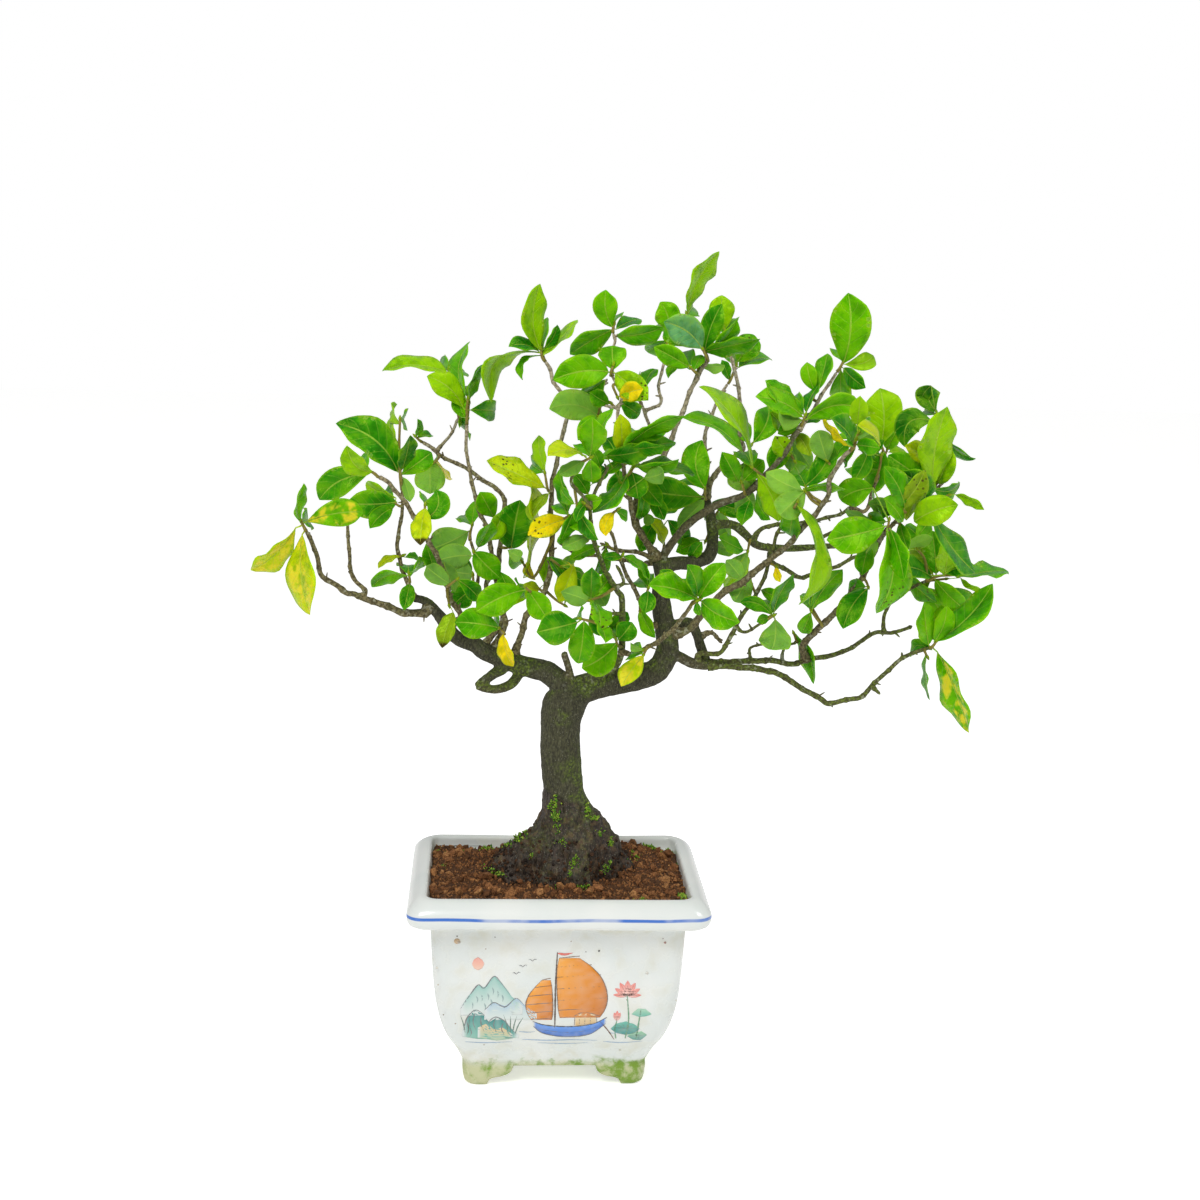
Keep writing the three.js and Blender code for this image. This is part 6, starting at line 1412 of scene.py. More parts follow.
# A longer stalk than this gets a point in its middle.
LONG_STALK = 3


def stalk(points, radii, sides, colour):
    """A round stalk, with the same values as a blade so that both fit in one piece."""
    grid = tube_grid(points, radii, sides)
    uv = np.broadcast_to(np.array([0.5, 0.5]), (*grid.shape[:2], 2))
    shape, faces = close_ends(grid)
    return make_part(shape, faces, uv=with_ends(uv), under=0.6, leafy=0.0, paint=colour[:3], spots=0.0,
                     mottled=0.0, browned=0.0)


def leaf(root, foot, tip, width, roll, looks, bow=0.0):
    """A blade with its stalk, which goes on under the blade as its midrib and thins out towards the tip."""
    part, under_middle = blade(foot, tip, width, roll, looks, bow)
    halfway = [root + (foot - root) * 0.5] if np.linalg.norm(foot - root) > LONG_STALK else []
    run = np.array([root, *halfway, *under_middle[:-2]])
    gone = np.linspace(0, 1, len(run))
    size = np.clip(width / COMMON_WIDTH, 0.6, 1.15)
    colour = (RIB_COLOUR + looks["paint"]) / 2
    return [part, stalk(run, size * (RIB_RADIUS - RIB_THINS * gone**0.6), RIB_SIDES, colour)]


# %% A whole shoot
# One tone, a grey-blue green, is a painted reflection: the sheen of the white sky on a glossy leaf top.
# The light yellow-green tone is partly the colour of young leaves and partly painted light: the glow of
# leaves lit through from behind.
TONES = {
    "lime": "#bac808", "fresh": "#8abc04", "bright": "#57a600", "mid": "#3f9602", "dark": "#1f7f08",
    "deep": "#0f660d", "olive": "#829c16", "dull": "#629838", "pale": "#84ba3c", "yellow": "#f4d20e",
    "sky_sheen": "#5c9a66",
}
# A leaf of one of these tones shows its underside.
UNDERSIDE_TONES = {"dull", "pale"}
STEM_RADIUS, STEM_STEP, STEM_SIDES = 0.95, 2.0, 7
SHORT_STEM = np.array([0, -2.0, 2.0])
# The bud at a stem's end: how far out its rings stand, and their radii.
BUD_PLACES, BUD_RADII = [-0.5, 0.6, 1.8, 3.2], [0.7, 1.1, 0.85, 0.15]
# The leaves of a small shoot stand by turns in front of it and behind it, by these millimetres.
LEANS = [-8, 11, -15, 16, -3, 20]
# A blade that shows narrower than this share of its length is turned, not narrow.
NATURAL_PROPORTION = 0.5
# How much wider a blade is made, because its fold and curl narrow it.
FULLER = 1.06
# A leaf without a bow of its own bows by at most this share of its length, to either side.
BOW_RANGE = (-0.06, 0.06)


def looks_of(tone, special=()):
    """A leaf's values for its points: its paint, and 1 for each thing that is special about it, else 0."""
    return {"paint": linear(TONES[tone])[:3], "spots": float("spots" in special),
            "mottled": float("mottled" in special), "browned": float("tip" in special)}


def node_points(name):
    """A CAD node's points in millimetres from the pot's middle."""
    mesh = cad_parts[name].data
    points = np.zeros(3 * len(mesh.vertices))
    mesh.vertices.foreach_get("co", points)
    return points.reshape(-1, 3) / MM - POT_MIDDLE


def fitted_tip(solid, sheet_tip):
    """The CAD leaf's tip: the solid's point that is seen nearest to the sheet's tip."""
    seen = np.linalg.norm(on_sheet(solid) - sheet_tip, axis=1)
    return solid[np.argmin(seen)]


def fitted_roll(solid, foot, tip, shown_width, natural_width):
    """The angle that a blade turns about its length to show narrower than it is, arccos(shown / natural),
    with the sign whose shoulders lie nearer to the CAD leaf's corners."""
    angle = math.acos(min(1, shown_width / natural_width))
    shoulder = foot + 0.55 * (tip - foot)
    misses = {}
    for roll in (angle, -angle):
        across = lie_of_blade(foot, tip, roll)[2]
        sides = shoulder + np.outer([-0.49, 0.49], across * natural_width)
        misses[roll] = sum(np.linalg.norm(solid - side, axis=1).min() for side in sides)
    return min(misses, key=misses.get)


def shoot_parts(carrier, lift, stem, leaves, solid=None):
    """A shoot's stem, bud and leaves, with the stem's end and the leaves' tips. A shoot without a CAD solid
    takes its tips' depths from the leans, and turns its leaves by turns to either side."""
    near, depth, _ = nearest_on(limbs[carrier], np.array(stem[0], float))
    shoot_depth = depth + lift
    corners = np.vstack([place(near, depth), place(stem, np.full(len(stem), shoot_depth))])
    # Two points in one place have no direction, so the limb's is dropped, or a short stem is added to it.
    if np.linalg.norm(corners[1] - corners[0]) < 1:
        corners = corners[1:] if len(corners) > 2 else np.vstack([corners[0], corners[0] + SHORT_STEM])
    course = smooth_path(corners, STEM_STEP)
    thickness = STEM_RADIUS * np.linspace(1.25, 0.8, len(course)) * (1 + 0.12 * noise(course, 2.3))
    parts = [stalk(course, thickness, STEM_SIDES, STEM_COLOUR)]
    bud = course[-1] + np.outer(BUD_PLACES, unit(course[-1] - course[-2]))
    parts.append(stalk(bud, BUD_RADII, RIB_SIDES, linear(TONES["olive"])))
    tips = []
    for order, (foot_u, foot_v, tip_u, tip_v, width, words, *bow) in enumerate(leaves):
        tone, *special = words.split()
        foot = place((foot_u, foot_v), shoot_depth)[0]
        root = nearest_place(course, foot)[0]
        if solid is None:
            tip = place((tip_u, tip_v), shoot_depth + LEANS[order % len(LEANS)])[0]
        else:
            tip = fitted_tip(solid, (tip_u, tip_v))
        shown = width * unit_at(foot[None])[0]
        natural = max(shown, NATURAL_PROPORTION * np.linalg.norm(tip - foot))
        if solid is None:
            roll = math.acos(shown / natural) * (1 if order % 2 == 0 else -1)
        else:
            roll = fitted_roll(solid, foot, tip, shown, natural)
        if tone in UNDERSIDE_TONES:
            roll += math.pi
        bow = bow[0] if bow else float(leaf_shapes.uniform(*BOW_RANGE))
        parts += leaf(root, foot, tip, FULLER * natural, roll, looks_of(tone, special), bow)
        tips.append(tip)
    return parts, course[-1], np.array(tips)


# %% [markdown]
# ## Leaf
# A persimmon leaf is a green wax-coated skin over a sap-filled middle, so light scatters inside it: with
# the light behind, it glows lime. The Principled shader's subsurface does that on the thin solid. The
# veins, the lighter edge and the blotches come from the blade's own UV map, across and along.

# %% The leaf's material
# How many side veins a blade has, and how steeply they climb from the midrib to the edge.
SIDE_VEINS, VEIN_CLIMB = 7, 3.2
leaf_material, tree = new_material("leathery_leaf")
where = add_node(tree, "TexCoord", out="Object")
flat = add_node(tree, "TexCoord", out="UV")
axes = add_node(tree, "SeparateXYZ", inputs={0: flat}).node.outputs
values = {name: add_node(tree, "Attribute", {"attribute_name": name}, out="Fac")
          for name in ("under", "leafy", "spots", "mottled", "browned")}
paint = add_node(tree, "Attribute", {"attribute_name": "paint"}, out="Color")
off_middle = add_node(tree, "Math", SUBTRACT, {0: axes["X"], 1: 0.5})
off_middle = add_node(tree, "Math", ABSOLUTE, {0: off_middle})
# Side veins: v times their number, less a climb for the way out to the edge, is folded to and fro. A vein
# is where that is near 0.
climb = add_node(tree, "Math", TIMES, {0: off_middle, 1: -VEIN_CLIMB})
vein_run = add_node(tree, "Math", TIMES_PLUS, {0: axes["Y"], 1: SIDE_VEINS, 2: climb})
vein_fold = add_node(tree, "Math", {"operation": "PINGPONG"}, {0: vein_run, 1: 0.5})
side_vein = add_node(tree, "MapRange", SMOOTH, {0: vein_fold, 1: 0.09, 2: 0.0})
midrib = add_node(tree, "MapRange", SMOOTH, {0: off_middle, 1: 0.03, 2: 0.01})
patches, grain, mottle, blotch = (
    add_node(tree, "TexNoise", inputs={"Vector": where, "Scale": per_metre(size), "Detail": detail})
    for size, detail in ((11, 3.0), (1.4, 3.0), (4, 4.0), (7, 2.0)))

light_share = add_node(tree, "MapRange", SMOOTH, {0: patches, 1: 0.4, 2: 0.75, 4: 0.4})
colour = add_node(tree, "Mix", COLOUR, {0: light_share, 6: paint, 7: linear("#8abb0a")}, 2)
uneven = add_node(tree, "Math", TIMES_PLUS, {0: mottle, 1: 0.5, 2: patches})
dark_share = add_node(tree, "MapRange", SMOOTH, {0: uneven, 1: 0.82, 2: 0.52, 4: 0.62})
darker = add_node(tree, "Mix", TINTED, {0: 1.0, 6: paint, 7: linear("#8fb47c")}, 2)
colour = add_node(tree, "Mix", COLOUR, {0: dark_share, 6: colour, 7: darker}, 2)
# The lighter edge is partly the margin's own yellower green and partly painted light: the glow of the thin
# margin lit through.
edge = add_node(tree, "MapRange", SMOOTH, {0: off_middle, 1: 0.4, 2: 0.5, 4: 0.5})
blotch = add_node(tree, "MapRange", SMOOTH, {0: blotch, 1: 0.42, 2: 0.6})
inner = add_node(tree, "MapRange", SMOOTH, {0: off_middle, 1: 0.47, 2: 0.3})
blotch = add_node(tree, "Math", TIMES, {0: blotch, 1: inner})
blotch = add_node(tree, "Math", TIMES, {0: blotch, 1: values["mottled"]})
vein_share = add_node(tree, "Math", TIMES, {0: side_vein, 1: 0.22})
vein_share = add_node(tree, "Math", LARGER, {0: vein_share, 1: midrib})
vein_share = add_node(tree, "Math", TIMES, {0: vein_share, 1: 0.75})
beneath_share = add_node(tree, "Math", TIMES, {0: values["under"], 1: 0.35})

# Black specks, at the middle of cells 3 mm across, and a burnt tip.
dots = add_node(tree, "TexVoronoi", {"feature": "F1"}, {"Vector": where, "Scale": per_metre(3)})
dot = add_node(tree, "MapRange", SMOOTH, {0: dots, 1: 0.3, 2: 0.2})
towards_tip = add_node(tree, "MapRange", SMOOTH, {0: axes["Y"], 1: 0.35, 2: 0.75})
dot = add_node(tree, "Math", TIMES, {0: dot, 1: towards_tip})
dot = add_node(tree, "Math", TIMES, {0: dot, 1: values["spots"]})
burnt = add_node(tree, "Math", TIMES_PLUS, {0: patches, 1: 0.4, 2: axes["Y"]})
burnt = add_node(tree, "MapRange", SMOOTH, {0: burnt, 1: 0.98, 2: 1.1})
burnt = add_node(tree, "Math", TIMES, {0: burnt, 1: values["browned"]})
marks = add_node(tree, "Math", LARGER, {0: dot, 1: burnt})
# The blade's colour takes these on in turn: its edge, its blotches, its veins, its underside and its marks.
for share, over in ((edge, "#93c818"), (blotch, "#d6c92e"), (vein_share, "#a9cf4c"),
                    (beneath_share, "#86b454"), (marks, "#3c2a12")):
    colour = add_node(tree, "Mix", COLOUR, {0: share, 6: colour, 7: linear(over)}, 2)
# Stalks and stems keep their own paint, broken up a little by the grain.
woody_share = add_node(tree, "MapRange", SMOOTH, {0: grain, 1: 0.4, 2: 0.7, 4: 0.5})
woody = add_node(tree, "Mix", COLOUR, {0: woody_share, 6: paint, 7: linear("#5d4a2c")}, 2)
colour = add_node(tree, "Mix", COLOUR, {0: values["leafy"], 6: woody, 7: colour}, 2)

dull = add_node(tree, "MapRange", {}, {0: values["under"], 3: 0.25, 4: 0.6})
sunk = add_node(tree, "Math", TIMES_PLUS, {0: side_vein, 1: -0.6, 2: grain})
sunk = add_node(tree, "Math", TIMES, {0: sunk, 1: values["leafy"]})
quilting = add_node(tree, "Bump", inputs={"Height": sunk, "Strength": 0.55, "Distance": 0.0006})
finish_material(tree, {
    "Base Color": colour, "Roughness": dull, "Normal": quilting,
    "Specular IOR Level": 0.42, "Specular Tint": linear("#d8ff50"),
    "Subsurface Weight": 0.3, "Subsurface Radius": (0.6, 1.0, 0.12), "Subsurface Scale": 0.0012,
})

# %% All shoots, each with one more leaf behind
# That leaf's tip stands this far behind the stem's end and above it. It is as wide as this, in millimetres,
# and rolled by at most this many radians.
BACK_REACH, BACK_RISE = 29, 3
BACK_WIDTH, BACK_ROLL = 15.0, 0.6
for name, carrier, lift, stem, leaves in SHOOTS:
    parts, top, tips = shoot_parts(carrier, lift, stem, leaves, node_points("shoot_" + name))
    behind = top + 0.45 * (tips.mean(axis=0) - top) + np.array([0, BACK_REACH, BACK_RISE])
    foot = top + 0.12 * (behind - top)
    roll = float(leaf_shapes.uniform(-BACK_ROLL, BACK_ROLL))
    parts += leaf(top, foot, behind, BACK_WIDTH, roll, looks_of("mid"))
    make_piece("leafy_shoot_" + name, parts, [leaf_material], ["shoot_" + name])
small_pieces = {}
for name, rows in SMALL_SHOOTS:
    for row in rows:
        small_pieces.setdefault(name, []).extend(shoot_parts(*row)[0])
for name, parts in small_pieces.items():
    make_piece(name, parts, [leaf_material])

# %% [markdown]
# ## Soil
# Red clay in crumbs. The bed is a closed sheet whose top rises from the pot's walls to the root stock.
# Crumbs of all sizes lie on it and stick to the roots, each an icosahedron pushed out of its shape.

# %% The bed and its crumbs
# Half the bed's length and depth, the heights of its edge and underside, and its grid's step.
SOIL_HALF = (82.4, 58.4)
SOIL_EDGE, SOIL_BASE = 131.4, 124
SOIL_STEP = 1.2
SOIL_LAYERS = [(1.5, 9, 0), (1.2, 4, 60), (0.7, 2, 120)]
# The scree: its place on the bed, how high it is heaped, and its radius squared. And how far the bed sinks
# along the back wall.
SCREE, SCREE_HEIGHT, SCREE_SPREAD = np.array([44.0, 47.0]), 5, 180
BACK_SINKS = 2.0
sower = np.random.default_rng(8)


def soil_height(x, y):
    """How high the soil lies: it rises from the walls in two steps, is heaped up at the scree and sunk
    along the back wall, and noises of three sizes roughen it."""
    spots = np.stack([x, y, np.zeros_like(x)], axis=-1)
    inset = np.minimum(SOIL_HALF[0] - np.abs(x), SOIL_HALF[1] - np.abs(y))
    rise = 1.1 * smoothstep(inset, 0, 9) + 1.5 * smoothstep(inset, 12, 32)
    heap = SCREE_HEIGHT * np.exp(-((spots[..., :2] - SCREE) ** 2).sum(axis=-1) / SCREE_SPREAD)
    rough = layered_noise(spots.reshape(-1, 3), SOIL_LAYERS).reshape(spots.shape[:-1])
    sunk = BACK_SINKS * smoothstep(y, 30, 52)
    return SOIL_EDGE + rise + heap - sunk + rough


def soil_bed():
    """The bed: rings over the top from left to right and back underneath, one ring for each step from front
    to back."""
    across = np.arange(-SOIL_HALF[0], SOIL_HALF[0] + SOIL_STEP / 2, SOIL_STEP)
    deep = np.arange(-SOIL_HALF[1], SOIL_HALF[1] + SOIL_STEP / 2, SOIL_STEP)
    x, y = np.meshgrid(across, deep)
    top = np.stack([x, y, soil_height(x, y)], axis=-1)
    under = top[:, [-1, 0]]
    under[..., 2] = SOIL_BASE
    return close_ends(np.concatenate([top, under], axis=1))


# The edges of the icosahedron below are 2 long.
JUST_OVER_EDGE = 2.1


def icosahedron():
    """Twelve points (0, 1, golden ratio) in all turns and signs. A face is any three of them 2 apart."""
    golden = (1 + 5**0.5) / 2
    corners = [turned for a, b in itertools.product((-1, 1), (-golden, golden))
               for turned in ((0, a, b), (a, b, 0), (b, 0, a))]
    corners = np.array(corners, float)
    faces = []
    for three in itertools.combinations(range(12), 3):
        a, b, c = corners[list(three)]
        if max(np.linalg.norm(a - b), np.linalg.norm(b - c), np.linalg.norm(c - a)) < JUST_OVER_EDGE:
            faces.append(three if np.dot(np.cross(b - a, c - a), a) > 0 else three[::-1])
    return corners / np.linalg.norm(corners[0]), np.array(faces)


def scattered(shape, faces, frames, spots, jitter, **values):
    """One part made of many copies of a small shape. Each copy's points are moved by the jitter, then
    turned and stretched by its own frame, then set on its spot. The values are one a copy."""
    wobble = 1 + jitter * sower.uniform(-1, 1, (len(spots), len(shape), 1))
    points = np.einsum("nij,nkj->nki", frames, shape[None] * wobble) + spots[:, None]
    shifted = faces[None] + len(shape) * np.arange(len(spots))[:, None, None]
    spread = {name: np.repeat(value, len(shape), axis=0) for name, value in values.items()}
    return make_part(points.reshape(-1, 3), [shifted.reshape(-1, 3)], **spread)


def random_frames(sizes):
    """Frames that turn a shape at random and scale it unevenly to about its size."""
    count = len(sizes)
    turns = np.linalg.qr(sower.normal(size=(count, 3, 3)))[0]
    turns *= np.linalg.det(turns)[:, None, None]
    return turns * (sizes[:, None] * sower.uniform(0.7, 1.2, (count, 3)))[:, None, :]


def mixed_tints(colours, count):
    """Random mixes of pairs of colours, one for each thing."""
    palette = np.array([linear(colour)[:3] for colour in colours])
    first, second = palette[sower.integers(0, len(palette), (2, count))]
    share = sower.random((count, 1))
    return first + share * (second - first)


LUMP, LUMP_FACES = icosahedron()
CLAY = ["#a97246", "#8a5934", "#99673e", "#b47c4a", "#6a4526", "#c08a56", "#7f532f"]
DARK_CLAY = ["#3c2a1b", "#281c15", "#523824", "#664429"]
# How many crumbs there are of each kind.
GRAINS, LUMPS, CLINGING = 5600, 700, 1300
# Grains are of all sizes in their range. Lumps go from the largest grain up, and few are large.
GRAIN_SIZES, LUMP_ADDS = (0.3, 0.9), 2.6
CRUMB_JITTER, CLING_JITTER = 0.45, 0.25
# The crumbs keep this share of the bed's sides, and their middles stand up by this share of their size.
STREWN_SHARE, STANDS_UP = 0.985, 0.35
# Between which heights crumbs cling to the roots, and how large those are.
CLING_LOW, CLING_HIGH = 128, 163
CLING_SIZES = (0.45, 1.5)

count = GRAINS + LUMPS
x = sower.uniform(-SOIL_HALF[0], SOIL_HALF[0], count) * STREWN_SHARE
y = sower.uniform(-SOIL_HALF[1], SOIL_HALF[1], count) * STREWN_SHARE
sizes = np.concatenate([sower.uniform(*GRAIN_SIZES, GRAINS),
                        GRAIN_SIZES[1] + LUMP_ADDS * sower.random(LUMPS) ** 3])
spots = np.column_stack([x, y, soil_height(x, y) + STANDS_UP * sizes])
crumb_part = scattered(LUMP, LUMP_FACES, random_frames(sizes), spots, CRUMB_JITTER,
                       tint=mixed_tints(CLAY, count))

# Crumbs on the roots: thick at the foot, thin higher up, and more on the left.
low = np.flatnonzero((skin[:, 2] < CLING_HIGH) & (skin[:, 2] > CLING_LOW))
wanted = np.exp(-(skin[low, 2] - 130) / 9) * (1 + 1.2 * smoothstep(-skin[low, 0], 5, 30))
chosen = sower.choice(low, CLINGING, replace=False, p=wanted / wanted.sum())
sizes = sower.uniform(*CLING_SIZES, CLINGING)
spots = skin[chosen] + skin_normals[chosen] * 0.2
cling_part = scattered(LUMP, LUMP_FACES, random_frames(sizes), spots, CLING_JITTER,
                       tint=mixed_tints(DARK_CLAY, CLINGING))

soil_material, tree = new_material("clay_soil")
where = add_node(tree, "TexCoord", out="Object")
tint = add_node(tree, "Attribute", {"attribute_name": "tint"}, out="Color")
fine = add_node(tree, "TexNoise", inputs={"Vector": where, "Scale": per_metre(1.1), "Detail": 5.0,
                                          "Roughness": 0.65})
shade = add_node(tree, "MapRange", SMOOTH, {0: fine, 1: 0.3, 2: 0.7})
shade = add_node(tree, "Mix", COLOUR, {0: shade, 6: linear("#8f8a86"), 7: linear("#ffffff")}, 2)
colour = add_node(tree, "Mix", TINTED, {0: 1.0, 6: tint, 7: shade}, 2)
crumbly = add_node(tree, "Bump", inputs={"Height": fine, "Strength": 1.0, "Distance": 0.0006})
finish_material(tree, {"Base Color": colour, "Roughness": 0.85, "Normal": crumbly,
                       "Specular IOR Level": 0.25})

bed_points, bed_faces = soil_bed()
bed_part = make_part(bed_points, bed_faces, tint=linear("#5e3f27")[:3])
soil_pieces = [make_piece("clay_soil", [bed_part, crumb_part], [soil_material], ["soil"]),
               make_piece("clinging_soil", [cling_part], [soil_material])]
# Crumbs of clay are broken, not rounded, so their faces stay flat.
for piece in soil_pieces:
    piece.data.polygons.foreach_set("use_smooth", np.zeros(len(piece.data.polygons), bool))

# %% [markdown]
# ## Moss
# Moss is a crowd of tiny leaves. Each is a closed spindle: a foot, three points round it and a tip. A patch
# says where it is seen on the sheet, and its leaves stand on the roots or the soil at that place.

# %% Patches of moss
SPINDLE = np.array([(0, 0, 0), (1, 0, 0.4), (-0.5, 0.87, 0.4), (-0.5, -0.87, 0.4), (0, 0, 1)])
SPINDLE_FACES = np.array([(0, 2, 1), (0, 3, 2), (0, 1, 3), (4, 1, 2), (4, 2, 3), (4, 3, 1)])
# Each patch: its middle and half its size in sheet units, how many leaves, and how long they are in
# millimetres.
MOSS_PATCHES = [
    (555, 813, 4, 15, 170, 2.4), (549, 806, 3, 5, 30, 2.2), (589, 809, 2.5, 6, 40, 2.4),
    (596, 817, 4, 3, 25, 2.4), (522, 832, 5, 4, 50, 2.2), (516, 838, 5, 3, 40, 2.2),
    (601, 832, 4, 3, 30, 2.0), (612, 842, 3, 4, 40, 2.0), (574, 861, 3.5, 6, 60, 2.0),
    (571, 873, 3, 4, 30, 1.8), (608, 866, 4, 5, 60, 2.0), (603, 873, 3, 3, 25, 1.8),
    (548, 890, 12, 2, 60, 1.8), (578, 894, 13, 3.5, 150, 2.0), (586, 887, 6, 3, 50, 2.0),
    (495, 873, 9, 3, 55, 2.2), (488, 868, 5, 3, 25, 2.0), (681, 856, 3.5, 9, 75, 2.2),
    (672, 848, 5, 4, 40, 2.0), (683, 893, 4.5, 4.5, 90, 2.4), (652, 844, 9, 3, 60, 2.4),
    (668, 846, 6, 2.5, 30, 2.4), (455, 848, 7, 2, 30, 1.8), (443, 865, 3, 3, 14, 1.6),
    (437, 846, 4, 2, 16, 1.6), (487, 845, 9, 3, 50, 2.4), (505, 843, 7, 3, 40, 2.4),
    (522, 900, 5, 1.6, 26, 1.8), (640, 900, 8, 1.6, 30, 1.8), (562, 842, 5, 4, 25, 1.8),
    (530, 855, 4, 3, 18, 1.8), (635, 858, 4, 4, 25, 2.0),
]
MOSS_GREENS = ["#4d8012", "#6a9a1a", "#8ca62c", "#35680f", "#9cae42"]
# About how high the soil lies, and how high up the trunk moss may grow.
SOIL_LEVEL, ROOTS_END = 134, 215
# A spot is on the root if one of its points is seen within this many sheet units.
SEEN_WITHIN = 2


def seen_spots(sheet_points):
    """What is seen at some sheet points: the frontmost of the root's points that are seen close by, or else
    the place where the sight line meets the level of the soil. Returns the places and the directions they
    face."""
    near_root = np.flatnonzero(skin[:, 2] < ROOTS_END)
    drawn = on_sheet(skin[near_root])
    away = (skin[near_root] - EYE) @ FORWARD
    spots, facing = [], []
    for u, v in sheet_points:
        close = np.flatnonzero(np.abs(drawn - (u, v)).max(axis=1) < SEEN_WITHIN)
        if len(close):
            best = near_root[close[np.argmin(away[close])]]
            spots.append(skin[best])
            facing.append(skin_normals[best])
            continue
        ray = FORWARD * FOCAL_LENGTH + RIGHT * (u - SHEET / 2) + UP * (SHEET / 2 - v)
        flat = EYE + ray * (SOIL_LEVEL - EYE[2]) / ray[2]
        spots.append((flat[0], flat[1], soil_height(flat[0], flat[1])))
        facing.append((0, 0, 1))
    return np.array(spots), np.array(facing)


def moss_part():
    """All the patches: leaves at random places in each, standing out from what they grow on."""
    where, lengths = [], []
    for u, v, half_u, half_v, count, length in MOSS_PATCHES:
        off = sower.normal(size=(count, 2)) * 0.5
        where.append(off * (half_u, half_v) + (u, v))
        lengths.append(length * sower.uniform(0.6, 1.3, count))
    where, lengths = np.vstack(where), np.concatenate(lengths)
    spots, facing = seen_spots(where)
    kept = (np.abs(spots[:, 0]) < SOIL_HALF[0] - 1) & (np.abs(spots[:, 1]) < SOIL_HALF[1] - 1)
    spots, facing, lengths = spots[kept], facing[kept], lengths[kept]
    out = unit(facing + sower.normal(size=facing.shape) * 0.5 + (0, 0, 0.4))
    side = unit(np.cross(out, sower.normal(size=out.shape)))
    broad = lengths * sower.uniform(0.18, 0.34, len(lengths))
    thick = broad[:, None]
    frames = np.stack([side * thick, np.cross(out, side) * thick, out * lengths[:, None]], axis=-1)
    # A little of each foot is sunk in what the leaf grows on.
    return scattered(SPINDLE, SPINDLE_FACES, frames, spots - out * 0.4, 0.1,
                     tint=mixed_tints(MOSS_GREENS, len(spots)))


moss_material, tree = new_material("moss_leaves")
tint = add_node(tree, "Attribute", {"attribute_name": "tint"}, out="Color")
finish_material(tree, {
    "Base Color": tint, "Roughness": 0.6, "Specular IOR Level": 0.3,
    "Subsurface Weight": 0.3, "Subsurface Radius": (0.6, 1.0, 0.2), "Subsurface Scale": 0.001,
})
make_piece("moss_tufts", [moss_part()], [moss_material], ["moss_front", "moss_right_edge"])

# %% [markdown]
# ## Drainage screens
# Squares of dark plastic net lie under the soil, over the drain holes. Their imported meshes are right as
# they are, so they only get a material.

# %% The screens' plastic
plastic, tree = new_material("black_plastic_net")
finish_material(tree, {"Base Color": linear("#2a2c2a"), "Roughness": 0.5})
for name in ("drainage_screen_left", "drainage_screen_right"):
    for place_in_list in range(len(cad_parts[name].data.materials)):
        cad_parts[name].data.materials[place_in_list] = plastic

# %% [markdown]
# ## Enamel painting
# Enamels are painted over the glaze and fired again, so they lie on it as a thin skin. Each patch here is a
# closed sheet a quarter of a millimetre thick between two edges that follow the front wall. Thin paint lets
# the glaze through, so its colour is mixed with the glaze's own. Places on the wall are (x, z).

# %% Patches and strokes on the front wall
GLAZE_COLOUR = np.array(linear("#d3d8d6")[:3])
# A patch stands this far out of the wall and reaches this far in.
PROUD, SUNK = 0.15, 0.12
# The front wall's profile up to the rim: how high, and how far in.
PAINTED_UP_TO = 112
WALL_HEIGHTS = profile[:np.argmax(profile[:, 1] > PAINTED_UP_TO), 1::-1]
INK, BROWN_INK = "#34363d", "#6a4526"
STROKE_STEP, WASH_STEP, WASH_ROWS = 0.9, 0.8, 9
# How much the brush's pressure changes at random.
UNSTEADINESS = 0.25
painter = np.random.default_rng(21)


def on_front_wall(flat, proud):
    """Places (x, z) as points that stand proud of the front wall, whose depth there is the profile's."""
    x, z = np.moveaxis(flat, -1, 0)
    inset = np.interp(z, *WALL_HEIGHTS.T)
    spots = np.stack([x, inset - RIM_DEPTH / 2, z], axis=-1)
    spots = hand_made(spots.reshape(-1, 3)).reshape(spots.shape)
    return spots - np.array([0, proud, 0])


def enamel(left, right, colours, strength, across):
    """A patch from a left edge to a right edge, seen in the direction that both run. The colours are those
    of the left and right edge, each one colour or one for each end. The strength thins the paint: 1 hides
    the glaze."""
    share = np.linspace(0, 1, across)[None, :, None]
    flat = left[:, None] + share * (right - left)[:, None]
    ring = np.concatenate([on_front_wall(flat, PROUD), on_front_wall(flat[:, ::-1], -SUNK)], axis=1)
    sides = [np.array([linear(colour)[:3] for colour in np.atleast_1d(colour)]) for colour in colours]
    run = np.linspace(0, 1, len(left))[:, None]
    sides = [side[0] + run * (side[-1] - side[0]) for side in sides]
    paint = sides[0][:, None] + share * (sides[1] - sides[0])[:, None]
    watery = 1 + 0.1 * noise(np.insert(flat, 1, 0.0, axis=-1).reshape(-1, 3), 2.5).reshape(flat.shape[:2])
    cover = np.clip(strength * watery, 0, 1)[..., None]
    paint = GLAZE_COLOUR + cover * (paint - GLAZE_COLOUR)
    both = np.concatenate([paint, paint[:, ::-1]], axis=1)
    points, faces = close_ends(ring)
    return make_part(points, faces, paint=with_ends(both))


def stroke(corners, width, colour, strength=0.9, lift=0.15):
    """A brush stroke: widest a third of the way along, thin where the brush comes down and where it lifts
    off."""
    path = smooth_path(np.insert(np.array(corners, float), 1, 0.0, axis=-1), STROKE_STEP)[:, ::2]
    run = np.linspace(0, 1, len(path))
    pressure = lift + (1 - lift) * np.sin(np.pi * run**0.7)
    pressure = pressure * (1 + UNSTEADINESS * painter.uniform(-1, 1, len(path)))
    along = unit(np.gradient(path, axis=0))
    aside = np.stack([-along[:, 1], along[:, 0]], axis=-1) * (width / 2 * pressure)[:, None]
    return enamel(path + aside, path - aside, (colour, colour), strength, 3)


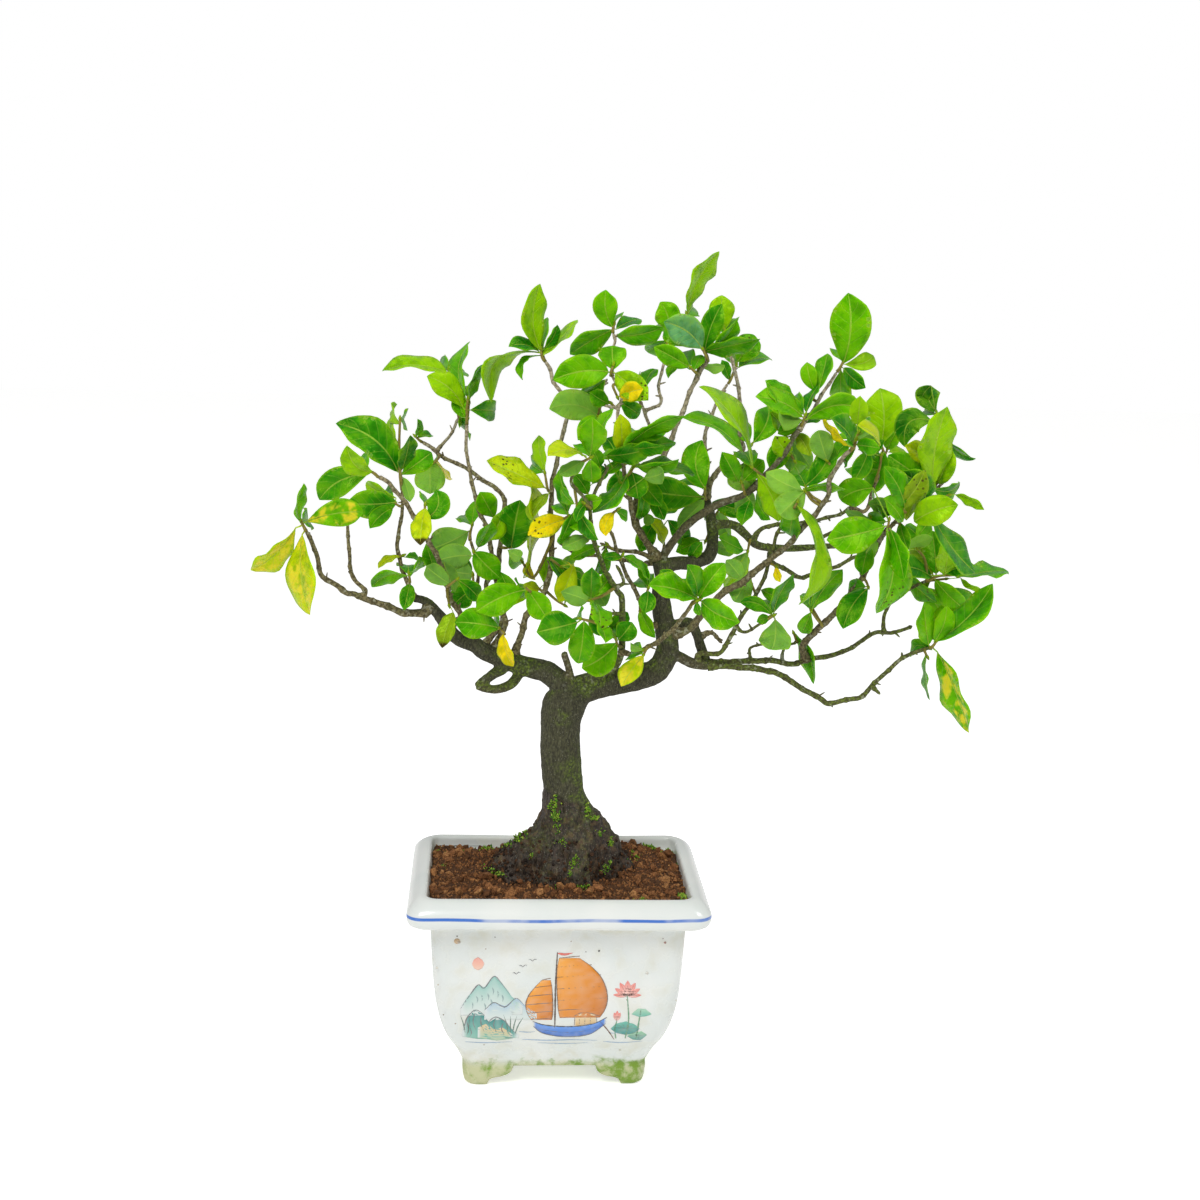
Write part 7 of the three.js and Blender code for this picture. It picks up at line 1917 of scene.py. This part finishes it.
def wash(crest, base, crest_colour, base_colour, strength, base_strength, soft=0.12):
    """A broad patch between a crest line and a base line, both from left to right, fading out at both
    ends."""
    count = int(np.ptp(np.array(crest)[:, 0]) / WASH_STEP) + 4
    edges = []
    for line in (crest, base):
        line = np.array(line, float)
        x = np.linspace(line[0, 0], line[-1, 0], count)
        edges.append(np.column_stack([x, np.interp(x, *line.T)]))
    edges[0][:, 1] += 0.35 * noise(np.insert(edges[0], 1, 5.0, axis=-1), 2.2)
    run = np.linspace(0, 1, count)[:, None]
    ends = smoothstep(run, 0, soft) * smoothstep(1 - run, 0, soft)
    down = np.linspace(0, 1, WASH_ROWS)[None, :]
    cover = ends * (strength + (base_strength - strength) * down)
    return enamel(*edges, (crest_colour, base_colour), cover, WASH_ROWS)


def petal(root, tip, width, colours, strength):
    """A petal: a lens shape from its root to its tip, paler at the root."""
    root, tip = np.array(root, float), np.array(tip, float)
    v = np.linspace(0, 1, 9)[:, None]
    along = tip - root
    aside = np.array([-along[1], along[0]]) / np.linalg.norm(along)
    aside = aside * width / 2 * np.sin(np.pi * v**0.85) ** 0.8
    middle = root + v * along
    return enamel(middle + aside, middle - aside, (colours, colours), strength, 5)


# %% Distant hills and rocks on the left
TEAL, DEEP_TEAL, MIST = "#4ba892", "#1f7f7b", "#b4d2c2"
parts = [
    wash([(-61, 62), (-56, 70), (-50, 78), (-46, 76), (-40, 84), (-35, 79), (-29, 70), (-22, 64)],
         [(-61, 56), (-22, 57)], "#79b3a8", MIST, 0.8, 0.1),
    wash([(-46, 60), (-40, 66), (-33, 63), (-26, 69), (-20, 63), (-13, 58)], [(-46, 53), (-13, 53)],
         "#86aeca", MIST, 0.65, 0.1),
    wash([(-60, 44), (-57, 54), (-52, 60), (-47, 57), (-43, 51), (-38, 55), (-33, 52), (-28, 45),
          (-24, 41)],
         [(-60, 40), (-50, 38), (-36, 37.5), (-24, 39)], DEEP_TEAL, TEAL, 0.9, 0.75),
    wash([(-50, 47), (-45, 50), (-40, 46), (-34, 47), (-28, 42)], [(-50, 39), (-38, 36.5), (-28, 38)],
         "#d8b26a", "#7fae7a", 0.7, 0.6),
]
for line in (
    [(-59, 45), (-57, 54), (-52, 60), (-47, 57.5), (-44, 52)],
    [(-44, 50), (-41, 54), (-38, 55), (-33, 52), (-29, 46)],
    [(-57, 52), (-56, 46), (-57, 41)], [(-52, 58), (-53, 51), (-51, 45)], [(-48, 56), (-48, 50), (-46, 44)],
    [(-39, 54), (-40, 49), (-38, 43)], [(-34, 51), (-35, 46), (-33, 41)], [(-55, 47), (-54, 43), (-55, 40)],
    [(-61, 61), (-56, 69), (-50, 77.5), (-46, 75.5), (-40, 83.5), (-35, 78.5), (-30, 71)],
    [(-46, 60), (-40, 65.5), (-33, 62.5), (-26, 68.5), (-20, 62.5)],
):
    parts.append(stroke(line, 0.75, INK, 0.75))
# Trees on the hill: short strokes that hang from these places.
for x, z in [(-54, 66), (-51, 70), (-48, 71), (-44, 72), (-41, 76), (-38, 74), (-35, 71), (-46, 65),
             (-42, 68)]:
    parts.append(stroke([(x, z), (x + 0.8, z - 2.5), (x + 0.4, z - 5)], 0.9, "#3f7a78", 0.6))
# Reeds: tall thin strokes that fan out of the rocks.
for x, z, lean in [(-31, 44, -3), (-29.5, 43, 0), (-28, 43, 2.5), (-26.5, 42, 5), (-58, 43, -3),
                   (-56, 43, 1)]:
    parts.append(stroke([(x, z), (x + lean * 0.4, z + 7), (x + lean, z + 13)], 0.7, "#2f5f4a", 0.85))

# %% A sailing boat in the middle
SAIL, SAIL_LIGHT, SAIL_DARK, HULL, HULL_DARK = "#da861e", "#eca33c", "#bb6814", "#5b90dd", "#3765b4"
parts += [
    wash([(-15, 51.5), (-9, 49), (2, 47.6), (14, 47.8), (24, 50), (31, 54)],
         [(-15, 48), (-10, 43), (0, 40), (12, 39.6), (22, 42), (31, 50)],
         HULL, HULL_DARK, 0.95, 0.95, 0.03),
    wash([(11, 55.5), (14, 57), (22, 57.4), (25, 56)], [(11, 48), (25, 50.4)],
         "#e4cfa2", "#c9a46a", 0.9, 0.9, 0.03),
]
# Each sail's rows: height, its left edge and its right edge. They run upwards.
SAIL_ROWS, SAIL_COLUMNS = 34, 9
for rows in (
    [(54.5, 1.5, 27), (60, 0.5, 30), (67, 0, 31.5), (75, -0.4, 30.5), (83, -0.6, 27), (90, -0.4, 21),
     (96, 0.6, 13.5)],
    [(53, -16.5, -3.5), (58, -19, -3), (64, -20, -3), (70, -18.5, -3.2), (76, -14.5, -3.6),
     (81, -10, -4.4)],
):
    z, left, right = np.array(rows).T
    fine_z = np.linspace(z[0], z[-1], SAIL_ROWS)
    edges = [np.column_stack([np.interp(fine_z, z, side), fine_z]) for side in (left, right)]
    parts.append(enamel(*edges, ((SAIL, SAIL_LIGHT), (SAIL_DARK, SAIL)), 0.96, SAIL_COLUMNS))
    parts += [stroke(list(zip(edge, z)), 0.6, BROWN_INK) for edge in (left, right)]
    for height, start, end in rows:
        batten = [(start, height), ((start + end) / 2, height + 0.8), (end, height + 1.4)]
        parts.append(stroke(batten, 0.55, BROWN_INK, 0.85, 0.6))
# The mast, its pennant, the hull's edges and plank, the cabin's ends and roof, the oar, and the cabin's bars.
for row in (
    ([(-1.6, 47), (-1.4, 75), (-0.6, 100)], 1.0, "#4a3324", 0.95, 0.6),
    ([(-0.6, 99.5), (4, 98.6), (9, 99.6)], 1.5, "#d8503c", 0.9),
    ([(-15.5, 51.8), (-9, 49.3), (2, 47.8), (14, 48), (24, 50.2), (31.5, 54.5)], 0.8, INK, 0.9, 0.5),
    ([(-15, 48), (-10, 43.2), (0, 40.2), (12, 39.8), (22, 42.2), (31, 50)], 0.8, INK, 0.85, 0.4),
    ([(-12, 46), (0, 43.6), (14, 43.6), (26, 47.6)], 0.5, "#26427c", 0.8, 0.5),
    ([(11, 48.4), (11, 55.4)], 0.5, BROWN_INK), ([(25, 50.4), (25, 56)], 0.5, BROWN_INK),
    ([(10.4, 55.6), (17, 58.4), (25.8, 56.2)], 0.9, "#8a5a30", 0.9, 0.5),
    ([(27, 52), (33, 44), (37, 37)], 0.8, BROWN_INK, 0.9, 0.4),
    *(([(x, 49), (x, 54.6)], 0.5, BROWN_INK, 0.8) for x in (14, 17.5, 21)),
):
    parts.append(stroke(*row))

# %% Lotus on the right
PINKS = ("#f0c0b4", "#e2604f")
PALE_PINKS = ("#f3d5cb", "#e88f80")
STALK_GREEN, VEIN_GREEN = "#4c8a5e", "#235b55"
for line, width in (
    ([(44, 38), (45.5, 52), (44, 70)], 0.9), ([(51, 38), (52, 50), (53, 60)], 0.9),
    ([(38, 38), (37, 46), (38, 52)], 0.8),
):
    parts.append(stroke(line, width, STALK_GREEN, 0.85, 0.6))
for crest, base, colours, strengths in (
    ([(34, 46), (38, 50), (44, 51.5), (49, 49.5), (53, 46)],
     [(34, 46), (38, 42.5), (44, 41), (49, 42), (53, 46)], (TEAL, DEEP_TEAL), (0.85, 0.9)),
    ([(45, 40), (49, 43), (54, 44), (58, 41)], [(45, 40), (49, 37), (54, 36.5), (58, 41)],
     ("#7fb98c", DEEP_TEAL), (0.8, 0.85)),
    ([(47, 57), (51, 61), (56, 61), (60, 57)], [(47, 57), (52, 55), (56, 55.4), (60, 57)],
     ("#8cc3a0", TEAL), (0.8, 0.85)),
):
    parts.append(wash(crest, base, *colours, *strengths, 0.05))
for x, z in [(35, 46.4), (37.5, 49), (41, 50.6), (46, 50.4), (50, 48.6), (52.4, 46), (49, 43), (39, 43.2)]:
    parts.append(stroke([(43.5, 46), ((43.5 + x) / 2, (46 + z) / 2 + 0.4), (x, z)], 0.45, VEIN_GREEN, 0.75))
for x, z in [(46.5, 40.4), (49.5, 42.4), (54, 43), (57, 41), (53.5, 37.4)]:
    parts.append(stroke([(51.5, 40), (x, z)], 0.4, VEIN_GREEN, 0.7))
# Three rounds of petals: where they spring from, their colours and strength, and each tip's way and width.
FLOWER = (44, 70)
OUTER_PETALS = [(-8, 5, 3.6), (8, 5, 3.6), (-5, 9, 4), (5, 9, 4), (-9, 0.6, 3), (9, 0.6, 3), (0, 10.5, 4.6)]
for (x, z), colours, strength, petals in (
    (FLOWER, PINKS, 0.85, OUTER_PETALS),
    ((44, 69.6), PALE_PINKS, 0.95, [(-4, 4.5, 3.2), (4, 4.5, 3.2), (0, 6.5, 3.6)]),
    ((38, 52), PINKS, 0.85, [(-2, 6, 2.6), (2, 6, 2.6), (0, 7.4, 3)]),
):
    parts += [petal((x, z), (x + dx, z + dz), width, colours, strength) for dx, dz, width in petals]
for dx, dz, _ in OUTER_PETALS:
    ends = [(FLOWER[0] + dx * share, FLOWER[1] + dz * share) for share in (0.35, 0.98)]
    parts.append(stroke(ends, 0.35, "#b8443a", 0.7))

# %% Water, birds and a low sun
parts.append(wash([(-54, 92), (-52.5, 95), (-50, 96.4), (-47.5, 95), (-46, 92)],
                  [(-54, 92), (-52.5, 89), (-50, 87.6), (-47.5, 89), (-46, 92)],
                  "#e98a72", "#eeb08f", 0.75, 0.7, 0.05))
for line, width in (
    ([(-58, 35.5), (-44, 34.6), (-28, 35.4)], 0.6), ([(-22, 37.5), (-6, 36.6), (10, 37), (26, 36.4)], 0.7),
    ([(-12, 34.4), (6, 33.6), (20, 34.4)], 0.5), ([(30, 35.4), (42, 34.4), (55, 35.6)], 0.6),
    ([(-24, 44), (-18, 43.4), (-14, 44)], 0.5), ([(33, 43), (36, 42.4), (40, 43)], 0.4),
):
    parts.append(stroke(line, width, "#6f97bd", 0.75))
for x, z in [(-22, 90), (-16, 94), (-26, 85)]:
    parts.append(stroke([(x - 2.4, z + 1), (x - 1.2, z + 1.2), (x, z)], 0.45, INK, 0.85))
    parts.append(stroke([(x, z), (x + 1.3, z + 1.5), (x + 2.6, z + 1.2)], 0.45, INK, 0.85))

# %% Marks on the glaze
# Each mark: where it is seen on the sheet, its radius in millimetres, its colour and its strength.
MARKS = [
    (457, 936, 0.5, "#4a3a22", 0.85), (457, 941, 1.9, "#b98a3c", 0.7), (459, 942, 1.0, "#8f6a2c", 0.6),
    (599, 951, 0.7, "#3c342c", 0.85), (586, 952, 0.4, "#5a4a3a", 0.7), (495, 937, 0.4, "#5a4632", 0.7),
    (443, 1015, 0.5, "#6a5434", 0.7), (665, 942, 0.8, "#8c4a30", 0.8), (663, 938, 0.4, "#7a4a34", 0.6),
    (647, 973, 1.0, "#b8a88a", 0.4), (437, 968, 0.8, "#cdbfa0", 0.5), (438, 985, 0.6, "#b9a888", 0.5),
    (676, 1000, 0.6, "#b5a78c", 0.5), (484, 1046, 0.6, "#9a8a6a", 0.5), (620, 1052, 0.9, "#b3a888", 0.45),
]
# A sight line at about the wall's depth gives the height, and the height gives the wall's own depth.
ABOUT_THE_WALL = -56
for u, v, radius, colour, strength in MARKS:
    height = place((u, v), ABOUT_THE_WALL)[0][2]
    spot = place((u, v), np.interp(height, *WALL_HEIGHTS.T) - RIM_DEPTH / 2)[0]
    turn = np.linspace(0, np.pi, 7)
    outline = [spot[::2] + radius * np.stack([-np.cos(turn), side * np.sin(turn)], axis=-1)
               for side in (1, -1)]
    parts.append(enamel(*outline, (colour, colour), strength, 3))

enamel_material, tree = new_material("overglaze_enamel")
paint = add_node(tree, "Attribute", {"attribute_name": "paint"}, out="Color")
finish_material(tree, {"Base Color": paint, "Roughness": 0.24, "IOR": GLASS_IOR,
                       "Coat Weight": 0.3, "Coat Roughness": 0.1})
make_piece("overglaze_painting", parts, [enamel_material])
